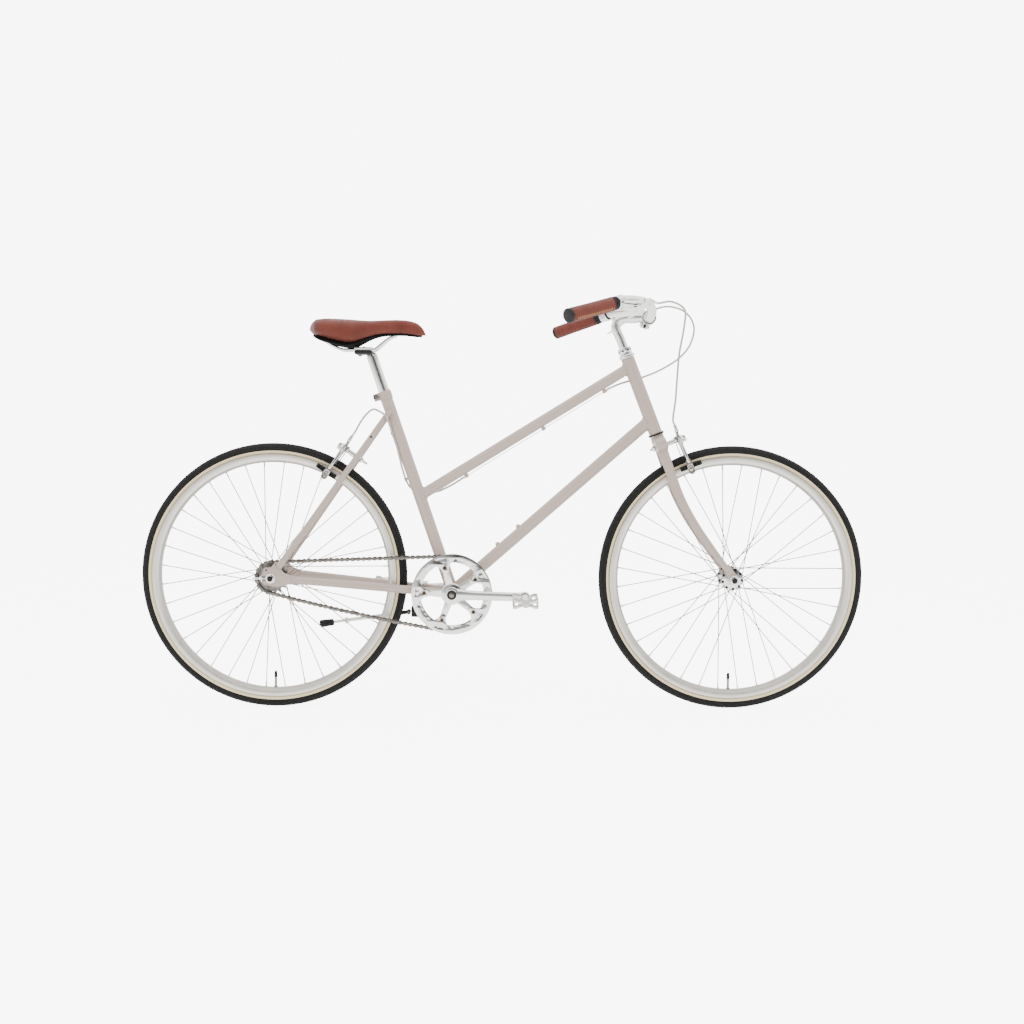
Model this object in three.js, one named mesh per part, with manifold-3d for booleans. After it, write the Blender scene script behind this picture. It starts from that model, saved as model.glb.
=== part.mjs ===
// Step-through city bicycle with single-speed drive, side-pull brakes and a folded kickstand.
// Millimetres. +X is forward, +Y is the rider's left, +Z is up. The chain side faces -Y.
// The origin is on the ground, midway between the two wheel axles.
import * as THREE from 'three';
import { mergeVertices } from 'three/addons/utils/BufferGeometryUtils.js';
import Module from 'manifold-3d';

const wasm = await Module();
wasm.setup();

const deg = Math.PI / 180;

// Driving dimensions
const wheelbase = 1080;
const bottomBracketDrop = 36.5;
const chainStayTarget = 422;
const headAngle = 68.5 * deg;
const forkRake = 44;
const headTube = { fromAxle: 386, length: 188.5, radius: 15.9, bore: 14.2, sides: 16 };
const seatTube = { angle: 71 * deg, length: 500, radius: 14.3, bore: 13.7, boreDepth: 200, sides: 12 };
const topTube = { radius: 12.7, seatJoint: 240, headJoint: 22.5, sides: 12 };
const downTube = { radius: 14.3, aboveHeadFoot: 33, sides: 12 };
const shell = { radius: 20, bore: 17.6, halfWidth: 34, sides: 14 };
const rearSpacing = 120;
const frontSpacing = 100;

// Fits that many pieces share
const clearance = 0.3;
const overrun = 1;
const weld = 1.5;
const mergeDistance = 1e-4;
// A link of one width is drawn a trace narrower at one end, so that its outline keeps two separate arcs
const evenShare = 0.999;

// Side counts of round pieces that have none of their own, from the thinnest to the widest
const facets = { wire: 5, screw: 6, pin: 8, eye: 10, tube: 12, clamp: 14, wide: 25 };
const straightSteps = 1;
const searchSteps = 60;

// Wheels
const tyre = {
  radius: 313.5, treadHalfWidth: 6, wallDrop: 12.5, wallHalfWidth: 14, beadHalfWidth: 8.4, segments: 36,
};
// The rim's drops are measured in from the tread
const rim = {
  edgeDrop: 22, halfWidth: 12, bedDrop: 26.5, bedHalfWidth: 9.2, sideDrop: 37.5, innerDrop: 45.5,
  innerHalfWidth: 6,
};
const rimEdgeRadius = tyre.radius - rim.edgeDrop;
const rimBedRadius = tyre.radius - rim.bedDrop;
const rimSideRadius = tyre.radius - rim.sideDrop;
const rimInnerRadius = tyre.radius - rim.innerDrop;
const spoke = {
  radius: 0.9, count: 18, crossing: 60 * deg, phase: 5 * deg, rimOffset: 2.2, rimSpread: 0.6,
  headSpread: 1.2, reach: 0.4, rootDrop: 3, sides: 3,
};
const valve = { radius: 3, capRadius: 3.8, stem: 26, cap: 13, sides: 6 };
const axle = { radius: 4.7, bore: 5.3, nutRadius: 9.2, nutLength: 8, endLength: 5, sides: 8 };
const frontHub = {
  flangeRadius: 26, flangeThick: 4.4, flangeY: 29, barrelRadius: 13, endRadius: 8, sides: 12,
};
const rearHub = {
  flangeRadius: 22.5, flangeThick: 4.4, leftFlangeY: 30, rightFlangeY: 22, barrelRadius: 14,
  endRadius: 9.6, sides: 12,
};

// Chain drive
const chain = {
  pitch: 12.7, rollerHalf: 2.2, innerHalf: 1.8, innerOuter: 2.8, outerInner: 2.7, outerHalf: 3.7,
  outerHeight: 4.1, outerEnd: 5.6, outerShoulder: 0.56, innerHeight: 3.2, innerEnd: 2.2, slack: 0.15,
  line: 42,
};
const chainring = {
  teeth: 44, thick: 2.8, holeRadius: 74, boltCircle: 65, tabRadius: 8.5, boltHole: 4, rootDrop: 4.3,
  rootHalf: 2.8, tipRise: 3.6,
};
const sprocket = { teeth: 18, bodyRadius: 24, bodyOuter: 4.5, bodyInner: 12.5, bore: 10.1, sides: 16 };
const guard = {
  radius: 95, holeRadius: 79, thick: 2.6, tabInner: 57, tabInnerHalf: 8, tabOuterHalf: 30,
  windowInner: 72, windowOuter: 85, windowHalf: 11, sides: 40,
};
const crank = {
  length: 170, angle: -1 * deg, spindleRadius: 8.5, spindleHalf: 62, bossRadius: 17, bossInner: 37,
  bossOuter: 63, armHeight: 13, armThick: 6.5, tipHeight: 10.5, tipThick: 6, armY: 57, tipY: 69,
  eyeRadius: 12.5, eyeHalf: 7.5, arms: 5, spiderThick: 3, spiderArm: 8.5, spiderRoot: 13,
  spiderPhase: 33 * deg, sides: 8,
};
const pedal = {
  axleRadius: 4.5, axleOut: 104, barrelRadius: 9, barrelBore: 5, inner: 12, width: 90, length: 58,
  height: 34, plate: 2.4, waistShare: 0.55, waistWidthShare: 0.42, barHeight: 18,
};

// Stays and dropouts
const stay = {
  chainRootY: 21, chainRootHeight: 10, chainRootThick: 8.5, chainTipHeight: 8.5, chainTipThick: 6.5,
  seatRootY: 17, seatRootRadius: 6, seatTipRadius: 7.5, seatJoint: 452, tipY: 62.6, sides: 8,
};
const dropout = {
  thick: 5, slotHalf: 5.2, slotBack: 36, slotFront: 5.4, rear: 35, height: 15, front: 52, nose: 9,
  eyeletRadius: 6, eyeletHole: 2.6, lowEyeletX: -14, lowEyeletZ: 21, highEyeletX: 13.5, highEyeletZ: 32,
};
const tensioner = { plate: 3, rodRadius: 2.4, gapToAxle: 0.6 };
const bridge = { radius: 6, boltHole: 3.7 };
const boss = { radius: 5.5, height: 3.5, hole: 2.6, depth: 6, first: 155, spacing: 64, sides: 6 };
const cableStop = { radius: 4.2, length: 10, bore: 1.5, drop: 17.2, sides: 6 };
const cableStopPlaces = { front: 82, middle: 250, rear: 463 };
const clampEar = { length: 15, height: 17, halfWidth: 8, slot: 1, boltHole: 3.2 };
const cartridge = { bore: 9.1, proud: 2 };

// Headset, fork and stem
const headset = {
  cupRadius: 19, cupHeight: 7, cupStep: 15.5, stepHeight: 6, nutRadius: 16.5, nutHeight: 11, bore: 13.5,
  sides: 14,
};
const fork = {
  steererRadius: 12.7, steererBore: 11.7, boreBottom: 430, crownHalf: 27, crownHeight: 17,
  crownDepth: 13, crownFromAxle: 358, bladeTop: 12.5, bladeTopThick: 9.5, bladeTip: 7, tipY: 52.8,
  tipThick: 5, tipRadius: 11.5, tipRise: 34, bladeInset: 6, bladeFlare: 1.5, bladeBack: 3, bladeSteps: 7,
  sides: 8,
};
// Along a blade: shares of the height up to the crown, of the way out to the tip and of the rake
const bladeShares = {
  top: 0.83, upper: 0.62, upperOut: 0.3, lower: 0.43, lowerOut: 0.58, lowerRake: 0.14, foot: 0.22,
  footOut: 0.86, footRake: 0.56, endRake: 0.95, tipRake: 0.92,
};
const stem = {
  quillRadius: 10.9, quillBottom: 500, quillStraight: 618, elbow: 652, clampX: 336, clampZ: 925,
  clampRadius: 17.5, clampHalf: 18, slit: 1.2, lugDrop: 25, lugHalf: 8, lugLength: 15,
  lugLean: 24.775 * deg, neckLead: 26.16, steps: 10, sides: 10,
};

// Handlebar, grips and brake levers
const bar = {
  radius: 11.1, bulge: 12.7, bulgeHalf: 26, sides: 8, steps: 26,
  bend: [[302, -139, 951], [325, -106, 947], [336, -72, 936]],
};
const gripLine = {
  innerX: 232, innerY: 200, innerZ: 939, outerX: 137, outerY: 280, outerZ: 908, lead: 45,
};
const grip = {
  radius: 15.6, bore: 12.4, capRadius: 16, capLength: 7, capStepShare: 0.6, capEndShare: 0.8, sides: 12,
};
const lever = {
  perchAlong: 24, perchHalf: 9, perchRadius: 15.4, bore: 12.7, drop: 22 * deg, pivotAlong: 74,
  pivotOut: 31, bodyThick: 13, bodyEnd: 20, bodyDrop: 4, bodyBend: 20, bodyRadius: 8.5, slot: 9.4,
  blade: 8.8, eyeRadius: 6.5, pinRadius: 2.5, pinGap: 0.6, barrelLeanShares: [0.25, 0, -0.5],
  tipAlong: 24, tipOut: 76, tipRadius: 5.5, tipLength: 22, tipCurl: 6, neckRadius: 4.4, kneeAlong: 42,
  kneeOut: 52, kneeRadius: 5.2, eyeBack: 3, barrelRadius: 4, barrel: 14,
};

// Brakes: offsets are from the caliper's pivot bolt, in its own plane
const caliper = {
  reach: 67, rimGap: 2.5, padThick: 9, padHeight: 9, padLength: 50, armThick: 6, armOut: 29.5, armEnd: 9,
  kneeOut: 31, kneeDrop: 38, shoulderOut: 14, shoulderDrop: 5, legRadius: 5.2, shoulderRadius: 8,
  bossRadius: 9.5, tailRadius: 5, boltRadius: 3, boltRear: 27, nutRadius: 6.2, nutLength: 8,
  boltGap: 0.4, stopOut: 27, stopRise: 24, anchorOut: 31, anchorDrop: 3, adjusterRadius: 3.6,
  adjuster: 12, adjusterBelow: 4, studRadius: 3, frontPad: 48, rearPad: 40.5, sides: 8,
};
const frontBrakeFromAxle = 352;
const rearBrakeFromAxle = 342;

// Saddle and seat post
// The saddle's places are measured from the middle of the post's top
const post = { radius: 12.9, proud: 83, inside: 110, sides: 16 };
const saddle = {
  nose: 125.4, tail: -145.6, halfWidth: 77, top: 88.8, bottom: 26.8, around: 20, along: 18,
  baseAround: 12, baseThick: 7, baseInset: 7, baseGap: 0.8, railRadius: 3.5, railSteps: 24,
  clampX: -18.6, clampZ: 16.8, clampLength: 42, clampHeight: 13, clampHalf: 29, railBore: 5,
  railHalf: 21,
};
const saddleWidthShares = [[0, 0.12], [0.03, 0.24], [0.1, 0.29], [0.24, 0.32], [0.38, 0.42], [0.5, 0.62],
  [0.62, 0.85], [0.74, 0.99], [0.86, 0.94], [0.95, 0.66], [1, 0.3]];
const saddleTopShares = [[0, 0.48], [0.01, 0.61], [0.048, 0.78], [0.13, 0.945], [0.24, 0.985], [0.36,
  0.955],
  [0.5, 0.91], [0.69, 0.945], [0.87, 1], [0.96, 0.89], [0.99, 0.8], [1, 0.61]];
const saddleBottomShares = [[0, 0.33], [0.1, 0.37], [0.25, 0.395], [0.36, 0.39], [0.44, 0.31], [0.52, 0.22],
  [0.6, 0.1], [0.69, 0.01], [0.74, 0.04], [0.83, 0.21], [0.94, 0.38], [1, 0.45]];
const saddleEnd = { fade: 0.5, power: 0.6, square: 0.72, widestShare: 0.4 };
const saddleBaseShares = [[0, 0.4], [0.36, 0.4], [0.55, 1], [1, 1]];
const railRoute = [[-101.6, 33, 26.7], [-88.6, 30, 22], [-68.6, 24, 14.8], [-42.6, 21, 16.8],
  [-18.6, 21, 16.8], [5.4, 21, 16.8], [21.4, 18, 28.8], [36.4, 14, 41.2], [45.4, 7, 44.3]];

// Kickstand, folded
const stand = {
  plateX: -195, plateLength: 34, plateHalf: 21, plateThick: 4, stayGap: 13, boltRadius: 4, blockY: 38,
  blockZ: 222, blockX: -220, gap: 6.2, eyeHalf: 5, blockLength: 20, blockHeight: 24, blockWidth: 14,
  neck: 6, legRadius: 4.6, footX: -444, footY: 66, footZ: 187, footRadius: 9.5, footTopShare: 0.85,
  footLength: 36, nutRadius: 8, nutLength: 7, adjuster: 28, pinRadius: 3.5,
  swingShares: [-0.05, 0.35, -0.93],
};

// Cable routes, chosen by hand
const housingRadius = 2.5;
const cableLead = 10;
const cableSteps = { front: 18, rear: 22 };
const wireRadius = 0.8;
const frontCableRoute = [[377, -112, 953], [409, -88, 937], [410, -76, 900], [402, -60, 838], [398, -40,
  735]];
const rearLoopRoute = [[389, 112, 961], [424, 96, 954], [447, 82, 933], [455, 72, 905], [444, 62, 866],
  [418, 52, 835], [378, 42, 809], [335, 31, 790], [305, 23, 781], [275, 11, 772]];
const rearHousingStart = [[-128, 10, 522], [-160, 19, 508], [-201, 19, 508]];
// The rest of the route is measured from the bottom bracket: up the seat tube, behind it and to the side
const rearHousingBySeatTube = [[268, 16, 9], [288, 18.9, 2], [316, 17.9, -3], [337, 15.6, -8], [366, 13,
  -12],
  [400, 12.8, -12.5], [418, 12, -17], [434, 12, -26.5], [446, 14, -29.5], [457, 22, -30], [467, 35, -30.5],
  [468.5, 52, -30], [457, 81, -29]];

// Basic solids
function merge(geometry) {
  const bare = geometry.clone();
  bare.deleteAttribute('normal');
  bare.deleteAttribute('uv');
  return mergeVertices(bare, mergeDistance);
}

function toSolid(geometry) {
  const merged = merge(geometry);
  const position = merged.attributes.position;
  const index = Array.from(merged.index.array);
  const a = new THREE.Vector3();
  const b = new THREE.Vector3();
  const c = new THREE.Vector3();
  const triVerts = [];
  let volume = 0;
  for (let i = 0; i < index.length; i += 3) {
    const [i0, i1, i2] = index.slice(i, i + 3);
    if (i0 === i1 || i1 === i2 || i2 === i0) continue;
    a.fromBufferAttribute(position, i0);
    b.fromBufferAttribute(position, i1);
    c.fromBufferAttribute(position, i2);
    volume += a.dot(b.cross(c));
    triVerts.push(i0, i1, i2);
  }
  if (volume < 0) triVerts.reverse();
  return new wasm.Manifold(new wasm.Mesh({
    numProp: 3,
    vertProperties: new Float32Array(position.array),
    triVerts: new Uint32Array(triVerts),
  }));
}

function toGeometry(solid) {
  const mesh = solid.getMesh();
  const geometry = new THREE.BufferGeometry();
  geometry.setAttribute('position', new THREE.BufferAttribute(new Float32Array(mesh.vertProperties), 3));
  geometry.setIndex(new THREE.BufferAttribute(new Uint32Array(mesh.triVerts), 1));
  const flat = geometry.toNonIndexed();
  flat.computeVertexNormals();
  return flat;
}

function join(...solids) {
  return wasm.Manifold.union(solids.flat(Infinity));
}

// A round bar from one point to another, straight or tapered
function rod(from, to, fromRadius, toRadius = fromRadius, sides = facets.tube) {
  const axis = to.clone().sub(from);
  const geometry = new THREE.CylinderGeometry(toRadius, fromRadius, axis.length(), sides);
  geometry.applyQuaternion(new THREE.Quaternion().setFromUnitVectors(
    new THREE.Vector3(0, 1, 0), axis.clone().normalize()));
  const middle = from.clone().add(to).multiplyScalar(0.5);
  geometry.translate(middle.x, middle.y, middle.z);
  return toSolid(geometry);
}

// An X-Z outline given a thickness along Y
function slab(outline, lowY, highY) {
  const shape = new THREE.Shape(outline.map(([x, z]) => new THREE.Vector2(x, z)));
  const geometry = new THREE.ExtrudeGeometry(shape, { depth: highY - lowY, bevelEnabled: false });
  geometry.rotateX(Math.PI / 2);
  geometry.translate(0, highY, 0);
  return toSolid(geometry);
}

function block(centre, size) {
  const geometry = new THREE.BoxGeometry(size[0], size[1], size[2]);
  geometry.translate(centre[0], centre[1], centre[2]);
  return toSolid(geometry);
}

// A profile of [radius, y] points turned about the Y axis; a ring's profile closes on itself
function turned(profile, segments) {
  return toSolid(new THREE.LatheGeometry(profile.map(([r, y]) => new THREE.Vector2(r, y)), segments));
}

function ring(profile, segments) {
  return turned([...profile, profile[0]], segments);
}

// A round wire or tube of one size along a smooth curve
function swept(points, radius, steps, sides) {
  const path = new THREE.CatmullRomCurve3(points, false, 'centripetal');
  const section = new THREE.Shape(circle(radius, sides).map(([x, y]) => new THREE.Vector2(x, y)));
  return toSolid(new THREE.ExtrudeGeometry(section, { steps, bevelEnabled: false, extrudePath: path }));
}

// A tube whose oval section changes along a smooth curve: sizes gives the half height and half width
// at the start and at the end, the width lying along Y
function tapered(points, sizes, steps, sides) {
  const path = new THREE.CatmullRomCurve3(points, false, 'centripetal');
  const geometry = merge(new THREE.CylinderGeometry(1, 1, 1, sides, steps));
  const position = geometry.attributes.position;
  const across = new THREE.Vector3(0, 1, 0);
  for (let i = 0; i < position.count; i += 1) {
    const t = THREE.MathUtils.clamp(position.getY(i) + 0.5, 0, 1);
    const tangent = path.getTangentAt(t);
    const upright = tangent.clone().cross(across).normalize();
    const side = upright.clone().cross(tangent).normalize();
    const height = THREE.MathUtils.lerp(sizes[0][0], sizes[1][0], t);
    const width = THREE.MathUtils.lerp(sizes[0][1], sizes[1][1], t);
    const point = path.getPointAt(t)
      .addScaledVector(upright, position.getX(i) * height)
      .addScaledVector(side, position.getZ(i) * width);
    position.setXYZ(i, point.x, point.y, point.z);
  }
  return toSolid(geometry);
}

function circle(radius, sides, x = 0, z = 0, phase = 0) {
  return Array.from({ length: sides }, (_, i) => {
    const angle = phase + (2 * Math.PI * i) / sides;
    return [x + radius * Math.cos(angle), z + radius * Math.sin(angle)];
  });
}

// The outline round two circles, like a flat link or a tapered lever
function linkOutline(a, aRadius, b, bRadius, turns = 3) {
  const heading = Math.atan2(b[1] - a[1], b[0] - a[0]);
  const span = Math.hypot(b[0] - a[0], b[1] - a[1]);
  const tilt = Math.acos((aRadius - bRadius) / span);
  const points = [];
  for (let i = 0; i <= turns; i += 1) {
    const angle = heading + tilt + ((2 * Math.PI - 2 * tilt) * i) / turns;
    points.push([a[0] + aRadius * Math.cos(angle), a[1] + aRadius * Math.sin(angle)]);
  }
  for (let i = 0; i <= turns; i += 1) {
    const angle = heading - tilt + (2 * tilt * i) / turns;
    points.push([b[0] + bRadius * Math.cos(angle), b[1] + bRadius * Math.sin(angle)]);
  }
  return points;
}

// The outline of a bent strip that follows points, each with its own half width
function ribbon(points, halves) {
  const left = [];
  const right = [];
  points.forEach((point, i) => {
    const before = points[Math.max(0, i - 1)];
    const after = points[Math.min(points.length - 1, i + 1)];
    const into = new THREE.Vector2(point[0] - before[0], point[1] - before[1]).normalize();
    const out = new THREE.Vector2(after[0] - point[0], after[1] - point[1]).normalize();
    const along = into.add(out).normalize();
    left.push([point[0] - along.y * halves[i], point[1] + along.x * halves[i]]);
    right.unshift([point[0] + along.y * halves[i], point[1] - along.x * halves[i]]);
  });
  return [...right, ...left];
}

// A flat outline in a local x-y plane given a thickness along local z
function plate(outline, lowZ, highZ, holes = []) {
  const shape = new THREE.Shape(outline.map(([x, y]) => new THREE.Vector2(x, y)));
  for (const hole of holes) shape.holes.push(new THREE.Path(hole.map(([x, y]) => new THREE.Vector2(x, y))));
  const geometry = new THREE.ExtrudeGeometry(shape, { depth: highZ - lowZ, bevelEnabled: false });
  geometry.translate(0, 0, lowZ);
  return toSolid(geometry);
}

function moved(solid, matrix) {
  return toSolid(toGeometry(solid).applyMatrix4(matrix));
}

function mirrored(solid) {
  return moved(solid, new THREE.Matrix4().makeScale(1, -1, 1));
}

function smooth(shares, t) {
  const curve = new THREE.SplineCurve(shares.map(([x, y]) => new THREE.Vector2(x, y)));
  let low = 0;
  let high = 1;
  for (let i = 0; i < searchSteps; i += 1) {
    const mid = (low + high) / 2;
    if (curve.getPoint(mid).x < t) low = mid;
    else high = mid;
  }
  return curve.getPoint((low + high) / 2).y;
}

const vector = (x, y, z) => new THREE.Vector3(x, y, z);

// Materials
function finish(color, roughness, metalness) {
  return () => new THREE.MeshStandardMaterial({ color, roughness, metalness });
}
const paint = finish(0xc6bbb3, 0.45, 0);
const silver = finish(0xd5d4cf, 0.28, 1);
const chrome = finish(0xe4e4e2, 0.12, 1);
const steel = finish(0x9c9890, 0.4, 1);
const rubber = finish(0x17171a, 0.85, 0);
const blackPlastic = finish(0x1c1c1e, 0.5, 0);
const leather = finish(0x8c3f2c, 0.6, 0);
const housingGrey = finish(0xc8c5bd, 0.5, 0);

const bike = new THREE.Group();

function add(group, name, solid, material) {
  const mesh = new THREE.Mesh(toGeometry(solid), material());
  mesh.name = name;
  group.add(mesh);
  return mesh;
}

function groupAt(parent, x, y, z) {
  const group = new THREE.Group();
  group.position.set(x, y, z);
  parent.add(group);
  return group;
}

// Drive geometry: the axle sits where the chain's links just close round both sprockets
const ringPitchRadius = chain.pitch / (2 * Math.sin(Math.PI / chainring.teeth));
const sprocketPitchRadius = chain.pitch / (2 * Math.sin(Math.PI / sprocket.teeth));

function chainPath(distance) {
  const lean = Math.asin((ringPitchRadius - sprocketPitchRadius) / distance);
  const run = distance * Math.cos(lean);
  const ringWrap = (Math.PI / 2 + lean) * chainring.teeth / Math.PI;
  const sprocketWrap = (Math.PI / 2 - lean) * sprocket.teeth / Math.PI;
  return 2 * run + (ringWrap + sprocketWrap) * chain.pitch;
}

const linkCount = 2 * Math.round(chainPath(chainStayTarget) / (2 * chain.pitch));
let axleDistance = chainStayTarget;
for (let i = 0; i < searchSteps; i += 1) {
  axleDistance -= (chainPath(axleDistance) - linkCount * chain.pitch + chain.slack) / 2;
}

// Main points of the frame
const axleHeight = tyre.radius;
const rearAxle = vector(-wheelbase / 2, 0, axleHeight);
const frontAxle = vector(wheelbase / 2, 0, axleHeight);
const bracket = vector(
  rearAxle.x + Math.sqrt(axleDistance ** 2 - bottomBracketDrop ** 2), 0, axleHeight - bottomBracketDrop);
const steerUp = vector(-Math.cos(headAngle), 0, Math.sin(headAngle));
const steerOut = vector(Math.sin(headAngle), 0, Math.cos(headAngle));
const steerFoot = frontAxle.clone().addScaledVector(steerOut, -forkRake);
const onSteer = (up, out = 0, y = 0) =>
  steerFoot.clone().addScaledVector(steerUp, up).addScaledVector(steerOut, out).setY(y);
const seatUp = vector(-Math.cos(seatTube.angle), 0, Math.sin(seatTube.angle));
const onSeat = (up, y = 0) => bracket.clone().addScaledVector(seatUp, up).setY(y);
const headTop = onSteer(headTube.fromAxle + headTube.length);
const headBottom = onSteer(headTube.fromAxle);
const topTubeFront = onSteer(headTube.fromAxle + headTube.length - topTube.headJoint);
const topTubeRear = onSeat(topTube.seatJoint);
const topTubeAlong = topTubeFront.clone().sub(topTubeRear).normalize();
const topTubeUnder = vector(topTubeAlong.z, 0, -topTubeAlong.x);
const downTubeFront = onSteer(headTube.fromAxle + downTube.aboveHeadFoot);
const downTubeAlong = downTubeFront.clone().sub(bracket).normalize();
const downTubeOver = vector(-downTubeAlong.z, 0, downTubeAlong.x);
const postTop = onSeat(seatTube.length + post.proud);
const stayTop = onSeat(stay.seatJoint);
const stayUp = stayTop.clone().sub(rearAxle).normalize();
const stayOut = vector(-stayUp.z, 0, stayUp.x);
const rearBrakePivot = rearAxle.clone().addScaledVector(stayUp, rearBrakeFromAxle);
const frontBrakePivot = onSteer(frontBrakeFromAxle);

// Cable stops hold the bare wire a fixed drop below the top tube
function onWire(fromFront) {
  return topTubeFront.clone().addScaledVector(topTubeAlong, -fromFront).addScaledVector(topTubeUnder,
    cableStop.drop);
}

// Frame
function makeStop(fromFront) {
  const start = onWire(fromFront - cableStop.length / 2);
  const end = onWire(fromFront + cableStop.length / 2);
  const tube = topTubeFront.clone().addScaledVector(topTubeAlong, -fromFront)
    .addScaledVector(topTubeUnder, topTube.radius - weld);
  const foot = rod(tube, onWire(fromFront).addScaledVector(topTubeUnder, -cableStop.bore - clearance),
    cableStop.radius, cableStop.radius, cableStop.sides);
  const barrel = rod(start, end, cableStop.radius, cableStop.radius, cableStop.sides);
  const past = topTubeAlong.clone().multiplyScalar(overrun);
  const bore = rod(start.clone().add(past), end.clone().sub(past), cableStop.bore, cableStop.bore,
    cableStop.sides);
  return join(foot, barrel).subtract(bore);
}

function makeDropout(side) {
  const inner = rearSpacing / 2;
  const { x, z } = rearAxle;
  const outline = [
    [x - dropout.rear, z - dropout.height], [x + dropout.front, z - dropout.height],
    [x + dropout.front, z + dropout.nose], [x + dropout.front / 2, z + dropout.height],
    [x + dropout.highEyeletX, z + dropout.highEyeletZ], [x + dropout.lowEyeletX, z + dropout.lowEyeletZ],
    [x - dropout.rear, z + dropout.height],
  ];
  const slot = [
    [x - dropout.slotBack, z - dropout.slotHalf], [x + dropout.slotFront, z - dropout.slotHalf],
    [x + dropout.slotFront, z + dropout.slotHalf], [x - dropout.slotBack, z + dropout.slotHalf],
  ];
  const eyelets = [[dropout.lowEyeletX, dropout.lowEyeletZ], [dropout.highEyeletX, dropout.highEyeletZ]];
  let solid = slab(outline, inner, inner + dropout.thick);
  for (const [ex, ez] of eyelets) {
    solid = solid.add(slab(circle(dropout.eyeletRadius, facets.eye, x + ex, z + ez), inner,
      inner + dropout.thick));
  }
  for (const [ex, ez] of eyelets) {
    solid = solid.subtract(slab(circle(dropout.eyeletHole, facets.pin, x + ex, z + ez),
      inner - overrun, inner + dropout.thick + overrun));
  }
  solid = solid.subtract(slab(slot, inner - overrun, inner + dropout.thick + overrun));
  return side > 0 ? solid : mirrored(solid);
}

function makeStays(side) {
  const chainStay = tapered([
    vector(bracket.x - shell.bore, side * stay.chainRootY, bracket.z),
    vector(rearAxle.x + dropout.front - weld, side * stay.tipY,
      rearAxle.z - (dropout.height - dropout.nose) / 2),
  ], [[stay.chainRootHeight, stay.chainRootThick], [stay.chainTipHeight, stay.chainTipThick]],
    straightSteps, stay.sides);
  const seatFoot = rearAxle.clone().addScaledVector(stayUp, dropout.highEyeletZ).setY(side * stay.tipY);
  const seatStay = tapered([stayTop.clone().setY(side * stay.seatRootY), seatFoot],
    [[stay.seatRootRadius, stay.seatRootRadius], [stay.seatTipRadius, stay.seatTipRadius]], straightSteps,
      stay.sides);
  return [chainStay, seatStay];
}

function stayHalfAt(up) {
  const top = stayTop.distanceTo(rearAxle);
  const share = (up - dropout.highEyeletZ) / (top - dropout.highEyeletZ);
  return THREE.MathUtils.lerp(stay.tipY, stay.seatRootY, share);
}

function makeFrame() {
  const bridgeHalf = stayHalfAt(rearBrakeFromAxle);
  const earTop = onSeat(seatTube.length);
  const back = vector(-seatUp.z, 0, seatUp.x);
  const earMatrix = new THREE.Matrix4().makeBasis(back, vector(0, 1, 0), seatUp.clone())
    .setPosition(earTop.clone().addScaledVector(seatUp, -clampEar.height / 2));
  const earCentre = seatTube.radius + clampEar.length / 2 - weld;
  const ear = moved(block([earCentre, 0, 0], [clampEar.length, 2 * clampEar.halfWidth, clampEar.height]),
    earMatrix);
  const earSlot = moved(block([earCentre, 0, 0],
    [clampEar.length + 2 * seatTube.radius, 2 * clampEar.slot, clampEar.height + 2 * overrun]), earMatrix);
  const boltLine = earTop.clone().addScaledVector(seatUp, -clampEar.height / 2)
    .addScaledVector(back, seatTube.radius + clampEar.length / 2);
  const earHole = rod(boltLine.clone().setY(-clampEar.halfWidth - overrun),
    boltLine.clone().setY(clampEar.halfWidth + overrun), clampEar.boltHole, clampEar.boltHole, facets.pin);
  const bosses = [boss.first, boss.first + boss.spacing].map((along) => {
    const foot = bracket.clone().addScaledVector(downTubeAlong, along)
      .addScaledVector(downTubeOver, downTube.radius - weld);
    const top = foot.clone().addScaledVector(downTubeOver, weld + boss.height);
    const hole = rod(top.clone().addScaledVector(downTubeOver, -boss.depth),
      top.clone().addScaledVector(downTubeOver, overrun), boss.hole, boss.hole, boss.sides);
    return { post: rod(foot, top, boss.radius, boss.radius, boss.sides), hole };
  });
  const brakeHole = rod(rearBrakePivot.clone().addScaledVector(stayOut, -bridge.radius - overrun),
    rearBrakePivot.clone().addScaledVector(stayOut, bridge.radius + overrun), bridge.boltHole,
      bridge.boltHole, facets.pin);
  const bodies = [
    rod(headBottom, headTop, headTube.radius, headTube.radius, headTube.sides),
    rod(topTubeRear, topTubeFront, topTube.radius, topTube.radius, topTube.sides),
    rod(bracket, downTubeFront, downTube.radius, downTube.radius, downTube.sides),
    rod(bracket, onSeat(seatTube.length), seatTube.radius, seatTube.radius, seatTube.sides),
    rod(bracket.clone().setY(-shell.halfWidth), bracket.clone().setY(shell.halfWidth),
      shell.radius, shell.radius, shell.sides),
    rod(rearBrakePivot.clone().setY(-bridgeHalf), rearBrakePivot.clone().setY(bridgeHalf),
      bridge.radius, bridge.radius, facets.eye),
    makeStays(1), makeStays(-1), makeDropout(1), makeDropout(-1), ear,
    bosses.map(({ post: bossPost }) => bossPost),
  ];
  const cuts = [
    rod(headBottom.clone().addScaledVector(steerUp, -overrun), headTop.clone().addScaledVector(steerUp,
      overrun),
      headTube.bore, headTube.bore, headTube.sides),
    rod(onSeat(seatTube.length - seatTube.boreDepth), onSeat(seatTube.length + overrun),
      seatTube.bore, seatTube.bore, seatTube.sides),
    rod(bracket.clone().setY(-shell.halfWidth - overrun), bracket.clone().setY(shell.halfWidth + overrun),
      shell.bore, shell.bore, shell.sides),
    earSlot, earHole, brakeHole, bosses.map(({ hole }) => hole),
  ];
  const stops = Object.values(cableStopPlaces).map(makeStop);
  return join(bodies).subtract(join(cuts)).add(join(stops));
}

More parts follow.
